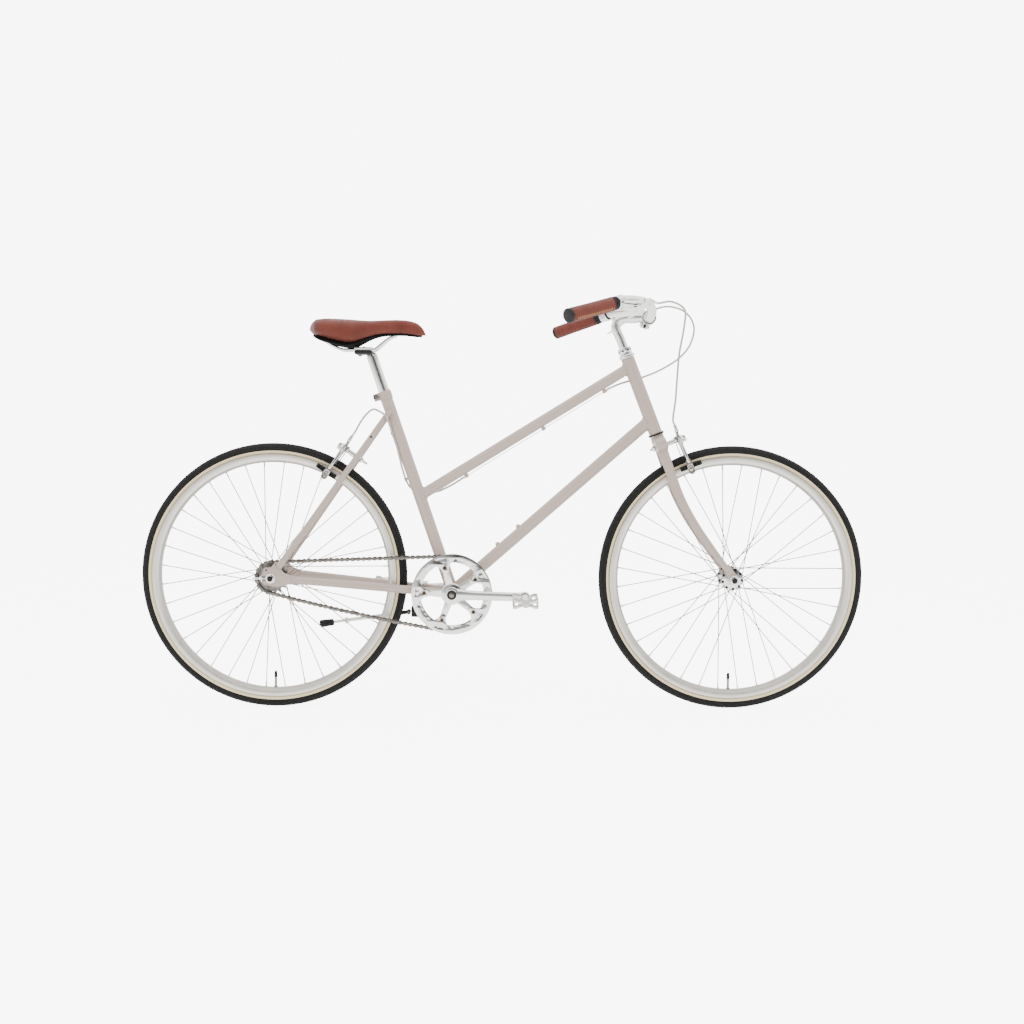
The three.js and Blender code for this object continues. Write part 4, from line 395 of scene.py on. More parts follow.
def wheel_plane(at):
    """Local x forward, y up and z to the rider's right, so that a plate's top faces the chain side."""
    return basis(vec(1, 0, 0), vec(0, 0, 1), -SIDE, at)


def block(form, centre, size, matrix, bevel, number=0):
    """A box with rounded upright edges and broken rims."""
    w, d, h = (s / 2 for s in size)
    r = min(w, d, bevel * 2)
    loop = [(x * (w - r) + r * math.cos(t), y * (d - r) + r * math.sin(t))
            for x, y, start in ((1, 1, 0), (-1, 1, 90), (-1, -1, 180), (1, -1, 270))
            for t in (start * DEG, (start + 45) * DEG, (start + 90) * DEG)]
    place = basis((1, 0, 0), (0, 1, 0), (0, 0, 1), centre)
    return plate(form, [loop], -h, h, min(bevel, h * 0.8),
                 place if matrix is None else np.asarray(matrix) @ place, number)


def bolt_head(form, at, axis, radius, height, hexed=True, number=0):
    """A bolt or nut with a turned rim; the socket or thread end in its middle is painted dark as painted
    shade.
    """
    axis = unit(axis)
    x = unit(np.cross(axis, vec(0.2, 0.3, 0.93)))
    place = basis(x, np.cross(axis, x), axis, at)
    rim_sides, socket_sides = (6, 16) if hexed else (28, 6)
    loops = [circle(radius, rim_sides), circle(radius / 2, socket_sides)[::-1]]
    plate(form, loops, 0, height, min(0.5, height / 4), place, number)
    rod(form, at + axis * 0.05, at + axis * height * 0.55, radius / 2 + 0.05, sides=16, edge=0.1,
        number=number + 1)
    return form


# Repeated things are set out by Geometry Nodes
def tree_with(name, inputs):
    tree = bpy.data.node_groups.new(name, "GeometryNodeTree")
    tree.interface.new_socket("Geometry", in_out="INPUT", socket_type="NodeSocketGeometry")
    for label, kind, value in inputs:
        socket = tree.interface.new_socket(label, in_out="INPUT", socket_type="NodeSocket" + kind)
        if value is not None:
            socket.default_value = value
    tree.interface.new_socket("Geometry", in_out="OUTPUT", socket_type="NodeSocketGeometry")
    return tree, tree.nodes.new("NodeGroupInput"), tree.nodes.new("NodeGroupOutput")


def finish_tree(tree, geometry, given, out):
    real = tree.nodes.new("GeometryNodeRealizeInstances")
    coat = tree.nodes.new("GeometryNodeSetMaterial")
    tree.links.new(geometry, real.inputs[0])
    tree.links.new(real.outputs[0], coat.inputs["Geometry"])
    tree.links.new(given.outputs["Finish"], coat.inputs["Material"])
    tree.links.new(coat.outputs[0], out.inputs[0])
    return tree


def place_each_tree():
    """One shape on every given point, turned by the point's own angles."""
    tree, given, out = tree_with("place_each", [("Shape", "Object", None), ("Scale", "Float", 1.0),
        ("Finish", "Material", None)])
    shape = tree.nodes.new("GeometryNodeObjectInfo")
    turn = tree.nodes.new("GeometryNodeInputNamedAttribute")
    turn.data_type = "FLOAT_VECTOR"
    turn.inputs["Name"].default_value = "turn"
    angles = tree.nodes.new("FunctionNodeEulerToRotation")
    put = tree.nodes.new("GeometryNodeInstanceOnPoints")
    tree.links.new(given.outputs["Shape"], shape.inputs[0])
    tree.links.new(given.outputs["Geometry"], put.inputs["Points"])
    tree.links.new(shape.outputs["Geometry"], put.inputs["Instance"])
    tree.links.new(turn.outputs["Attribute"], angles.inputs[0])
    tree.links.new(angles.outputs[0], put.inputs["Rotation"])
    tree.links.new(given.outputs["Scale"], put.inputs["Scale"])
    return finish_tree(tree, put.outputs[0], given, out)


def wire_tree():
    """A round wire along every line of the given mesh."""
    tree, given, out = tree_with("wire_along", [("Wire Radius", "Float", 0.001), ("Sides", "Int", 8),
        ("Finish", "Material", None)])
    line = tree.nodes.new("GeometryNodeMeshToCurve")
    ring = tree.nodes.new("GeometryNodeCurvePrimitiveCircle")
    wire = tree.nodes.new("GeometryNodeCurveToMesh")
    wire.inputs["Fill Caps"].default_value = True
    even = tree.nodes.new("GeometryNodeSetShadeSmooth")
    tree.links.new(given.outputs["Geometry"], line.inputs[0])
    tree.links.new(given.outputs["Wire Radius"], ring.inputs["Radius"])
    tree.links.new(given.outputs["Sides"], ring.inputs["Resolution"])
    tree.links.new(line.outputs[0], wire.inputs["Curve"])
    tree.links.new(ring.outputs[0], wire.inputs["Profile Curve"])
    tree.links.new(wire.outputs[0], even.inputs[0])
    return finish_tree(tree, even.outputs[0], given, out)


TREES = {}


def grown(name, tree_maker, base, values, shape=None, angle=32):
    """Runs a tree on a base mesh and keeps only the plain mesh that comes out of it."""
    if tree_maker not in TREES:
        TREES[tree_maker] = tree_maker()
    tree = TREES[tree_maker]
    o = placed(name, base)
    helper = None
    if shape is not None:
        helper = placed(name + "_shape", shape.mesh(name + "_shape", []))
        values = {**values, "Shape": helper}
    values = {**values, "Finish": material(values["Finish"])}
    modifier = o.modifiers.new("set_out", "NODES")
    modifier.node_group = tree
    for socket in tree.interface.items_tree:
        if socket.in_out == "INPUT" and socket.name in values:
            modifier[socket.identifier] = values[socket.name]
    bpy.context.view_layer.update()
    data = bpy.data.meshes.new_from_object(o.evaluated_get(bpy.context.evaluated_depsgraph_get()))
    o.modifiers.clear()
    o.data = data
    data.shade_smooth()
    data.set_sharp_from_angle(angle=angle * DEG)
    if helper is not None:
        bpy.data.objects.remove(helper)
    if not len(data.polygons):
        raise RuntimeError(f"{name} came out empty")
    return o


def points_mesh(name, points, turns=None, edges=()):
    data = bpy.data.meshes.new(name)
    data.from_pydata(np.asarray(points, float) * MM, list(edges), [])
    if turns is not None:
        data.attributes.new("turn", "FLOAT_VECTOR", "POINT").data.foreach_set("vector",
            np.asarray(turns, float).ravel())
    return data


# Finishes: shared effects are node groups, and each material keeps its own shader
def linear(colour):
    return tuple(c / 12.92 if c <= 0.04045 else ((c + 0.055) / 1.055) ** 2.4 for c in colour) + (1.0,)


class Wiring:
    """Short calls for making nodes: a socket links, and anything else sets a value."""

    def __init__(self, tree):
        self.tree = tree

    def node(self, kind, out=0, options=(), **values):
        n = self.tree.nodes.new("ShaderNode" + kind)
        for key, value in dict(options).items():
            setattr(n, key, value)
        for key, value in values.items():
            self.put(value, n.inputs[int(key[1:]) if key[0] == "i" and key[1:].isdigit()
                                     else key.replace("_", " ")])
        return n.outputs[out]

    def put(self, value, socket):
        if isinstance(value, bpy.types.NodeSocket):
            self.tree.links.new(value, socket)
        else:
            socket.default_value = value

    def fold(self, operation, *terms):
        """One value worked out from several, two at a time."""
        result = terms[0]
        for term in terms[1:]:
            result = self.node("Math", options={"operation": operation}, i0=result, i1=term)
        return result

    def plus(self, *terms):
        return self.fold("ADD", *terms)

    def minus(self, a, b):
        return self.fold("SUBTRACT", a, b)

    def times(self, *terms):
        return self.fold("MULTIPLY", *terms)

    def largest(self, *terms):
        return self.fold("MAXIMUM", *terms)

    def away(self, value, middle=0.0):
        """How far a value lies from a middle one."""
        return self.fold("ABSOLUTE", self.minus(value, middle), 0.0)

    def place(self, scale=(1, 1, 1), flat=False):
        return self.node("Mapping", Vector=self.node("TexCoord", out="UV" if flat else "Object"), Scale=scale)

    def ramp(self, value, low, high, a=0.0, b=1.0):
        return self.node("MapRange", i0=value, i1=low, i2=high, i3=a, i4=b)

    def blend(self, share, a, b):
        n = self.tree.nodes.new("ShaderNodeMix")
        n.data_type = "RGBA"
        for k, value in ((0, share), (6, a), (7, b)):
            self.put(value, n.inputs[k])
        return n.outputs[2]

    def bump(self, strength, depth, height):
        """A Bump node; its depth is in millimetres."""
        return self.node("Bump", Strength=strength, Distance=depth * MM, Height=height)

    def effect(self, name, **values):
        """Places a shared effect's group, which is built when it is first asked for."""
        n = self.tree.nodes.new("ShaderNodeGroup")
        n.node_tree = bpy.data.node_groups.get(name) or effect_group(name)
        for key, value in values.items():
            self.put(value, n.inputs[key])
        return n.outputs[0]


def tone_drift(w, given):
    noise = w.node("TexNoise", Vector=w.place(), Scale=given["Scale"], Detail=4.0)
    return w.blend(w.ramp(noise, 0.35, 0.65), given["Colour"], given["Second"])


def fine_relief(w, given):
    noise = w.node("TexNoise", Vector=w.place(), Scale=given["Scale"], Detail=5.0)
    cells = w.node("TexVoronoi", Vector=w.place(), Scale=given["Scale"])
    return w.plus(w.times(noise, w.minus(1.0, given["Pebble"])), w.times(cells, given["Pebble"]))


def smudges(w, given):
    noise = w.node("TexNoise", Vector=w.place(), Scale=given["Scale"], Detail=6.0, Roughness=0.65)
    return w.ramp(noise, 0.3, 0.7, given["Smooth"], given["Rough"])


def edge_wear(w, given):
    noise = w.node("TexNoise", Vector=w.place(), Scale=given["Scale"], Detail=8.0)
    edge = w.plus(w.node("NewGeometry", out="Pointiness"), w.times(w.minus(noise, 0.5), 0.08))
    return w.times(w.ramp(edge, 0.53, 0.62), given["Amount"])


WHITE = (1, 1, 1, 1)
EFFECTS = {
    "tone_drift": (tone_drift, "Colour", {"Colour": WHITE, "Second": WHITE, "Scale": 20.0}),
    "fine_relief": (fine_relief, "Height", {"Scale": 500.0, "Pebble": 0.0}),
    "smudges": (smudges, "Roughness", {"Smooth": 0.2, "Rough": 0.4, "Scale": 30.0}),
    "edge_wear": (edge_wear, "Mask", {"Amount": 0.3, "Scale": 120.0}),
}


def effect_group(name):
    """Builds the shader node group of an effect from its row in the table."""
    fill, result, inputs = EFFECTS[name]
    group = bpy.data.node_groups.new(name, "ShaderNodeTree")
    for label, value in inputs.items():
        kind = "NodeSocketColor" if value == WHITE else "NodeSocketFloat"
        group.interface.new_socket(label, in_out="INPUT", socket_type=kind).default_value = value
    kind = "NodeSocketColor" if result == "Colour" else "NodeSocketFloat"
    group.interface.new_socket(result, in_out="OUTPUT", socket_type=kind)
    w = Wiring(group)
    w.put(fill(w, group.nodes.new("NodeGroupInput").outputs),
          group.nodes.new("NodeGroupOutput").inputs[result])
    return group


def shade(name, colour, second, rough, metal=0.0, spots=30.0, relief=900.0, pebble=0.0, depth=0.02,
          strength=0.3,
          worn=0.0, worn_colour=None, surface=None, **own):
    """The plan of every finish: drifting colour, smudged gloss, fine relief and worn edges."""
    m = bpy.data.materials.new(name + "_finish")
    m.use_nodes = True
    m.node_tree.nodes.clear()
    w = Wiring(m.node_tree)
    shader = m.node_tree.nodes.new("ShaderNodeBsdfPrincipled")
    end = m.node_tree.nodes.new("ShaderNodeOutputMaterial")
    m.node_tree.links.new(shader.outputs[0], end.inputs["Surface"])
    base = w.effect("tone_drift", Colour=linear(colour), Second=linear(second), Scale=spots)
    if worn:
        base = w.blend(w.effect("edge_wear", Amount=worn), base, linear(worn_colour))
    w.put(base, shader.inputs["Base Color"])
    w.put(w.effect("smudges", Smooth=rough[0], Rough=rough[1], Scale=spots * 1.7), shader.inputs["Roughness"])
    for key, value in {"Metallic": metal, **own}.items():
        shader.inputs[key.replace("_", " ")].default_value = value
    if surface is not None:
        w.put(surface(w, shader), shader.inputs["Normal"])
    else:
        w.put(w.bump(strength, depth, w.effect("fine_relief", Scale=relief, Pebble=pebble)),
              shader.inputs["Normal"])
    return m


def brushed_surface(w, shader):
    """Fine lines that run round a rim."""
    return w.bump(0.25, 0.04, w.node("TexNoise", Vector=w.place((14.0, 900.0, 1.0), True), Scale=1.0,
                                     Detail=5.0))


def tread_surface(w, shader):
    """Slanted bars between straight grooves; the grooves are painted darker than the bars as painted shade.
    """
    flat = w.node("TexCoord", out="UV")
    u, v = (w.node("SeparateXYZ", out=i, Vector=flat) for i in range(2))
    slant = w.plus(w.times(u, 330.0), w.times(w.away(v, 0.5), 26.0))
    bars = w.ramp(w.fold("PINGPONG", slant, 0.5), 0.1, 0.2)
    lanes = w.ramp(w.fold("PINGPONG", w.times(v, 15.0), 0.5), 0.05, 0.12)
    cut = w.times(bars, lanes)
    # Painted shade: the grooves are coloured darker than the bars.
    groove_shaded = w.blend(cut, linear((0.055, 0.055, 0.055)), linear((0.13, 0.128, 0.126)))
    patches = w.node("TexNoise", Vector=w.place(), Scale=40.0)
    w.put(w.blend(patches, groove_shaded, linear((0.12, 0.118, 0.116))), shader.inputs["Base Color"])
    grain = w.effect("fine_relief", Scale=1500.0, Pebble=0.3)
    return w.bump(0.9, 0.7, w.plus(cut, w.times(grain, 0.08)))


def wall_surface(w, shader):
    """The threads of a tyre's casing under its thin rubber."""
    threads = w.node("TexWave", Vector=w.place((2200.0, 260.0, 1.0), True), Scale=0.3, Distortion=0.6)
    return w.bump(0.3, 0.1, w.plus(w.times(threads, 0.3), w.effect("fine_relief", Scale=1200.0, Pebble=0.2)))


def leather_surface(w, shader):
    """Pebbled grain over soft, wider folds."""
    folds = w.node("TexNoise", Vector=w.place(), Scale=38.0, Detail=3.0)
    return w.bump(0.4, 0.22, w.plus(w.effect("fine_relief", Scale=620.0, Pebble=0.75), w.times(folds, 0.8)))


FINISHES = {
    "frame_paint": dict(colour=(0.765, 0.69, 0.645), second=(0.755, 0.68, 0.635), rough=(0.3, 0.36), spots=14,
    relief=700,
                        depth=0.03, strength=0.12, Specular_IOR_Level=0.35, Coat_Weight=0.3,
                        Coat_Roughness=0.12),
    "polished_silver": dict(colour=(0.93, 0.925, 0.91), second=(0.90, 0.895, 0.885), rough=(0.12, 0.24),
    metal=1.0, spots=60,
                            relief=1500, strength=0.15),
    "bright_chrome": dict(colour=(0.93, 0.93, 0.93), second=(0.9, 0.9, 0.91), rough=(0.04, 0.1), metal=1.0,
    spots=50,
                          relief=1200, depth=0.01, strength=0.08),
    "dark_steel": dict(colour=(0.52, 0.505, 0.48), second=(0.36, 0.35, 0.34), rough=(0.32, 0.5), metal=1.0,
    spots=90,
                       relief=1400, depth=0.05, worn=0.5, worn_colour=(0.72, 0.71, 0.69)),
    "spoke_steel": dict(colour=(0.56, 0.525, 0.49), second=(0.49, 0.46, 0.43), rough=(0.28, 0.4), metal=1.0,
    spots=80,
                        relief=1600, strength=0.2),
    "chain_steel": dict(colour=(0.5, 0.475, 0.45), second=(0.34, 0.32, 0.3), rough=(0.3, 0.48), metal=1.0,
    spots=160,
                        relief=1400, depth=0.04, worn=0.4, worn_colour=(0.7, 0.68, 0.65)),
    "bright_cast": dict(colour=(0.93, 0.925, 0.91), second=(0.89, 0.885, 0.87), rough=(0.3, 0.42), metal=0.9,
    spots=70,
                        relief=1100, pebble=0.2, depth=0.04),
    "brass_bolt": dict(colour=(0.60, 0.53, 0.46), second=(0.5, 0.44, 0.38), rough=(0.25, 0.4), metal=1.0,
    spots=90, relief=1400),
    "rim_silver": dict(colour=(0.90, 0.88, 0.845), second=(0.875, 0.855, 0.82), rough=(0.34, 0.46),
    metal=0.85, spots=22,
                       surface=brushed_surface),
    # Painted shade: a flat dark finish put into sockets, holes, slots, grooves and the gaps between parts.
    "painted_hollow_shade": dict(colour=(0.16, 0.155, 0.15), second=(0.1, 0.1, 0.1), rough=(0.5, 0.7), metal=0.6,
    spots=50),
    "tyre_rubber": dict(colour=(0.12, 0.118, 0.12), second=(0.1, 0.1, 0.1), rough=(0.62, 0.8), spots=70,
                        surface=tread_surface, Specular_IOR_Level=0.2),
    "tyre_wall": dict(colour=(0.97, 0.905, 0.75), second=(0.95, 0.88, 0.72), rough=(0.55, 0.7), spots=40,
                      surface=wall_surface, Specular_IOR_Level=0.25),
    # Painted shadow: the darker ring where the tyre meets the rim.
    "bead_shadow_line": dict(colour=(0.62, 0.57, 0.49), second=(0.55, 0.5, 0.43), rough=(0.6, 0.75), spots=60,
                      Specular_IOR_Level=0.2),
    "brown_leather": dict(colour=(0.44, 0.23, 0.19), second=(0.39, 0.195, 0.16), rough=(0.42, 0.58), spots=26,
    worn=0.25,
                          worn_colour=(0.55, 0.31, 0.25), surface=leather_surface, Sheen_Weight=0.05,
                          Sheen_Roughness=0.4, Specular_IOR_Level=0.16),
    "tan_thread": dict(colour=(0.80, 0.56, 0.36), second=(0.72, 0.48, 0.30), rough=(0.7, 0.85), spots=300,
    relief=4000,
                       depth=0.05, strength=0.5),
    "black_rubber": dict(colour=(0.12, 0.12, 0.12), second=(0.09, 0.09, 0.09), rough=(0.6, 0.8), spots=60,
    pebble=0.3,
                         depth=0.08, strength=0.4, Specular_IOR_Level=0.25),
    "black_plastic": dict(colour=(0.12, 0.12, 0.125), second=(0.1, 0.1, 0.105), rough=(0.4, 0.55), spots=40,
    relief=1300,
                          pebble=0.4, depth=0.05, strength=0.35, worn=0.2, worn_colour=(0.26, 0.26, 0.26),
                          Specular_IOR_Level=0.25),
    "black_shell": dict(colour=(0.085, 0.085, 0.085), second=(0.06, 0.06, 0.06), rough=(0.85, 0.95), spots=40,
    relief=1300,
                        pebble=0.4, depth=0.05, strength=0.35, Specular_IOR_Level=0.03),
    "housing_grey": dict(colour=(0.78, 0.755, 0.72), second=(0.74, 0.715, 0.685), rough=(0.32, 0.45),
    spots=50, relief=800,
                         depth=0.03, strength=0.2),
}


def material(name):
    """The material of a finish, made when it is first asked for."""
    return bpy.data.materials.get(name + "_finish") or shade(name, **FINISHES[name])


class BikeSizes(bpy.types.PropertyGroup):
    tube_sides: bpy.props.IntProperty(name="Tube Sides", description="Faces round each frame tube",
                                      default=40, min=12, max=96)
    wheel_steps: bpy.props.IntProperty(name="Wheel Steps", description="Faces round each tyre and rim",
                                       default=180, min=36, max=360)
    weld_size: bpy.props.FloatProperty(name="Weld Size",
                                       description="Radius of the smoothed bead where tubes meet",
                                       default=0.0026, unit="LENGTH")
    spoke_wire: bpy.props.FloatProperty(name="Spoke Wire", description="Radius of a spoke", default=0.00115,
                                        unit="LENGTH")
    housing: bpy.props.FloatProperty(name="Cable Housing", description="Radius of a brake cable's sleeve",
                                     default=0.0025, unit="LENGTH")
    stitch_step: bpy.props.FloatProperty(name="Stitch Step",
                                         description="Distance from one grip stitch to the next",
                                         default=0.0052, unit="LENGTH")


class StudioSizes(bpy.types.PropertyGroup):
    floor_colour: bpy.props.FloatVectorProperty(name="Floor Colour",
        description="Colour of the floor and backdrop", subtype="COLOR", size=3, default=(0.9, 0.9, 0.9))
    lens: bpy.props.FloatProperty(name="Lens", description="Focal length on a 36 mm wide sensor",
                                  default=45.14, unit="CAMERA")
    soft_light: bpy.props.FloatProperty(name="Soft Light",
                                        description="Strength of the light from all round", default=1.35,
                                        min=0.0)
    panel_light: bpy.props.FloatProperty(name="Panel Light",
                                         description="Brightness of the white panels that metal mirrors",
                                         default=2.9, min=0.0)
    paper_glow: bpy.props.FloatProperty(name="Paper Glow",
                                        description="How far the paper behind the bike is lit up",
                                        default=6.8, min=0.0)


def weld_bead(form, a, along_a, ra, b, along_b, rb, size, sides=36):
    """A bead where a tube of radius rb leaves a tube of radius ra; along_b points away from tube a."""
    along_a, along_b = unit(along_a), unit(along_b)
    u = unit(np.cross(along_b, along_a))
    w = np.cross(along_b, u)
    line = []
    for t in np.linspace(0, 2 * math.pi, sides, endpoint=False):
        p = b + rb * (math.cos(t) * u + math.sin(t) * w) - a
        p = p - along_a * (p @ along_a)
        d = along_b - along_a * (along_b @ along_a)
        q = max((p @ d) ** 2 - (d @ d) * (p @ p - ra * ra), 0)
        s = (-(p @ d) + math.sqrt(q)) / (d @ d)
        line.append(b + rb * (math.cos(t) * u + math.sin(t) * w) + along_b * s)
    sweep(form, line, size, 10, closed=True)


def domed(a, b, ra, rb, at_start=True, at_end=True, depth=0.6):
    """The path and sizes of a bar whose ends are rounded over."""
    a, b = np.asarray(a, float), np.asarray(b, float)
    d = unit(b - a)
    steps, shares = (0.0, 0.08, 0.3, 0.62, 1.0), (0.05, 0.42, 0.74, 0.94, 1.0)
    path, sizes = [a], [ra]
    if at_start:
        path, sizes = [a + d * ra * depth * t for t in steps], [ra * q for q in shares]
    if at_end:
        path += [b - d * rb * depth * t for t in steps[::-1]]
        sizes += [rb * q for q in shares[::-1]]
    else:
        path, sizes = path + [b], sizes + [rb]
    return path, sizes


def stay_y(up):
    """How far a seat stay lies from the bike's middle plane."""
    top = float(np.linalg.norm(STAY_TOP - REAR))
    return STAY_WIDE + (STAY_NARROW - STAY_WIDE) * (up - STAY_FOOT) / (top - STAY_FOOT)


def on_wire(from_front):
    """A place on the bare brake wire under the top tube."""
    return TOP_FRONT - TOP_ALONG * from_front + TOP_UNDER * 17.2


def slot_outline(half, reach):
    """The edge of a track end's open slot, from its upper mouth round to its lower one."""
    return [(-reach, half)] + arc(half, 90, -90, 9) + [(-reach, -half)]


class BIKE_OT_frame(bpy.types.Operator):
    """Build the painted frame: tubes, stays, dropouts, welds and small brazed pieces"""
    bl_idname = "bike.frame"
    bl_label = "Painted Frame"

    def execute(self, context):
        sizes = context.scene.bike_sizes
        n, bead = sizes.tube_sides, sizes.weld_size / MM
        f = Form()
        turn_about(f, [(14.0, 386.2), (15.4, 386), (15.9, 386.5), (15.9, 574), (15.4, 574.5), (14.0, 574.3)],
                   steer(0), STEER_UP, n)
        turn_about(f, [(13.2, 0), (14.3, 0), (14.3, 499.5), (13.8, 500), (13.2, 499.8)], CRANK, SEAT_UP, n)
        turn_about(f, [(17.3, -33.8), (19.5, -34), (20, -33.5), (20, 33.5), (19.5, 34), (17.3, 33.8)], CRANK,
                   SIDE, n)
        sweep(f, [TOP_REAR, TOP_FRONT], TOP_TUBE, n)
        sweep(f, [CRANK, DOWN_FRONT], DOWN_TUBE, n)
        weld_bead(f, steer(0), STEER_UP, HEAD_TUBE, TOP_FRONT, -TOP_ALONG, TOP_TUBE, bead)
        weld_bead(f, steer(0), STEER_UP, HEAD_TUBE, DOWN_FRONT, -DOWN_ALONG, DOWN_TUBE, bead)
        weld_bead(f, CRANK, SEAT_UP, SEAT_TUBE, TOP_REAR, TOP_ALONG, TOP_TUBE, bead)
        weld_bead(f, CRANK, SIDE, SHELL, CRANK, SEAT_UP, SEAT_TUBE, bead)
        weld_bead(f, CRANK, SIDE, SHELL, CRANK, DOWN_ALONG, DOWN_TUBE, bead)
        for s in (-1, 1):
            root = vec(CRANK[0] - 17.6, s * 21, CRANK[2])
            tip = vec(REAR[0] + 50.5, s * STAY_WIDE, REAR[2] - 3)
            sweep(f, [root, tip - unit(tip - root) * 8, tip], [(10, 8.5), (8.65, 6.7), (8.5, 5.2)], n,
                  across=SIDE)
            upper = STAY_TOP + SIDE * s * STAY_NARROW
            lower = REAR + STAY_UP * STAY_FOOT + SIDE * s * STAY_WIDE
            path, girth = domed(upper + STAY_UP * 3, lower, 6.6, 7.5, True, False)
            sweep(f, path, girth, n)
            eyelet = REAR + STAY_UP * 402 + SIDE * s * (stay_y(402) + 5.6)
            rod(f, eyelet, eyelet + SIDE * s * 1.4, 4.6, sides=20, edge=0.3)
            # A dark core in the eyelet's hole is painted shade.
            rod(f, eyelet, eyelet + SIDE * s * 1.6, 2.7, sides=16, edge=0.1, number=1)
            rod(f, REAR_BRAKE, REAR_BRAKE + SIDE * s * stay_y(342), 6, sides=28, edge=0.1)
            weld_bead(f, REAR + SIDE * s * stay_y(0), upper - lower, 6.9, REAR_BRAKE, -SIDE * s, 6, 1.5)
            self.dropout(f, s)
        for along in BOTTLE_BOSSES:
            foot = CRANK + DOWN_ALONG * along + DOWN_OVER * 12.5
            rod(f, foot, foot + DOWN_OVER * 5.3, 5.5, sides=28, edge=0.5)
        for at in WIRE_STOPS:
            barrel = on_wire(at)
            rod(f, barrel - TOP_UNDER * 6, barrel, 3.6, sides=20)
            rod(f, on_wire(at - 5), on_wire(at + 5), 4.2, sides=24, edge=0.6)
            # A dark core in the stop's bore is painted shade.
            rod(f, on_wire(at - 5.05), on_wire(at + 5.05), 2.9, sides=20, edge=0.05, number=1)
        ear = basis(SEAT_BACK, SIDE, SEAT_UP, seat(491.5))
        for s in (-1, 1):
            block(f, (20.3, s * 4.7, 0), (15, 6.6, 17), ear, 1.2)
        turn_about(f, [(14.2, 480), (15.6, 480.6), (15.9, 482), (15.9, 499), (15.4, 500), (14.2, 500.2)],
                   CRANK, SEAT_UP, n)
        f.piece("frame_tubes", "frame", ["frame_paint", "painted_hollow_shade"], ["frame"])

        b = Form()
        for along in BOTTLE_BOSSES:
            bolt_head(b, CRANK + DOWN_ALONG * along + DOWN_OVER * 17.6, DOWN_OVER, 4.3, 2.6, False)
        clamp = seat(491.5, back=22)
        bolt_head(b, clamp - SIDE * 8.1, -SIDE, 6.2, 4.4, False, number=2)
        bolt_head(b, clamp + SIDE * 8.1, SIDE, 5.4, 4.0, True, number=2)
        rod(b, clamp - SIDE * 8, clamp + SIDE * 8, 2.8, sides=16)
        b.piece("frame_bolts", "frame", ["bright_chrome", "painted_hollow_shade", "dark_steel"])
        g = Form()
        for up, back, y in ((288, 18.9, 2), (400, 12.8, -12.5)):
            at = seat(up, y, back)
            turn_about(g, [(2.7, -3.5), (3.9, -3.1), (3.9, 3.1), (2.7, 3.5)], at, SEAT_UP, 20)
            rod(g, at, at + (seat(up) - at) * 0.3, 2.4, sides=12)
        g.piece("housing_guides", "frame", ["frame_paint"])
        return {"FINISHED"}

    def dropout(self, f, s):
        """A track end with its open slot, two eyes for stays and an edge that follows the tubes."""
        outline = ([(-19, 12)] + slot_outline(5.2, 19) + arc(4.5, 180, 265, 7, -14.5, -9)
                   + [(-8, -15.5), (6, -19), (28, -17.5)]
                   + [(46, -12.5), (52, -11), (52, 6), (40, 9), (30, 14), (24, 22)]
                   + arc(6, -20, 150, 7, 13.5, 32)
                   + [(2, 27)] + arc(6, 60, 170, 7, -10, 20) + [(-17.5, 15)])
        holes = [circle(2.6, 16, 13.5, 32)[::-1], circle(2.6, 16, -10, 20)[::-1]]
        low = REAR_FACE if s > 0 else -REAR_FACE - TIP_THICK
        plate(f, [outline, *holes], -TIP_THICK, 0, 0.6, wheel_plane(REAR + SIDE * low))


class BIKE_OT_headset(bpy.types.Operator):
    """Build the turned bearing cups and the locknut on the steering axis"""
    bl_idname = "bike.headset"
    bl_label = "Headset"

    def execute(self, context):
        top, low = 574.5, 386
        f = Form()
        turn_about(f, [(13.4, 0.3), (17.4, 0.3), (18.6, 0.9), (19, 2.2), (19, 5), (18.4, 6.2), (16.6, 7),
                       (15.9, 7.4), (15.5, 8.2), (15.5, 12.6), (15, 13.2), (13.4, 13.2)], steer(top),
                   STEER_UP, 56)
        f.piece("headset_upper", "frame", ["bright_chrome"], ["headset_upper_cup"])
        f = Form()
        turn_about(f, [(13.4, -0.3), (17.4, -0.3), (18.8, -1), (19, -3.2), (18.5, -5.6), (17.2, -7),
                       (13.4, -7.2)], steer(low), STEER_UP, 56, [0, 0, 1, 1, 0, 0, 0])
        f.piece("headset_lower", "frame", ["bright_chrome", "painted_hollow_shade"], ["headset_lower_cup"])
        f = Form()
        place = basis(STEER_OUT, -SIDE, STEER_UP, steer(top + 13.6))
        flats = [(16.5 * math.cos(t), 16.5 * math.sin(t))
                 for t in np.linspace(0, 2 * math.pi, 8, endpoint=False)]
        plate(f, [flats, circle(11.4, 40)[::-1]], 0, 7.4, 0.7, place)
        turn_about(f, [(11.4, 7.2), (15.2, 7.2), (15.2, 9.6), (14, 10.8), (11.4, 10.9)], steer(top + 13.6),
                   STEER_UP, 48)
        # Dark boxes in the locknut's slots are painted shade.
        for k in range(8):
            t = (k + 0.5) * math.pi / 4
            out = STEER_OUT * math.cos(t) - SIDE * math.sin(t)
            slot = basis(np.cross(STEER_UP, out), STEER_UP, out, steer(top + 17.3) + out * 15)
            block(f, (0, 0, 0), (5.4, 3.6, 1.2), slot, 0.4, 1)
        turn_about(f, [(15.0, 7.3), (15.8, 7.3), (15.8, 8.0), (15.0, 8.0)], steer(top + 13.6), STEER_UP, 48,
                   1)
        f.piece("headset_locknut_turned", "steering", ["bright_chrome", "painted_hollow_shade"], ["headset_locknut"])
        return {"FINISHED"}


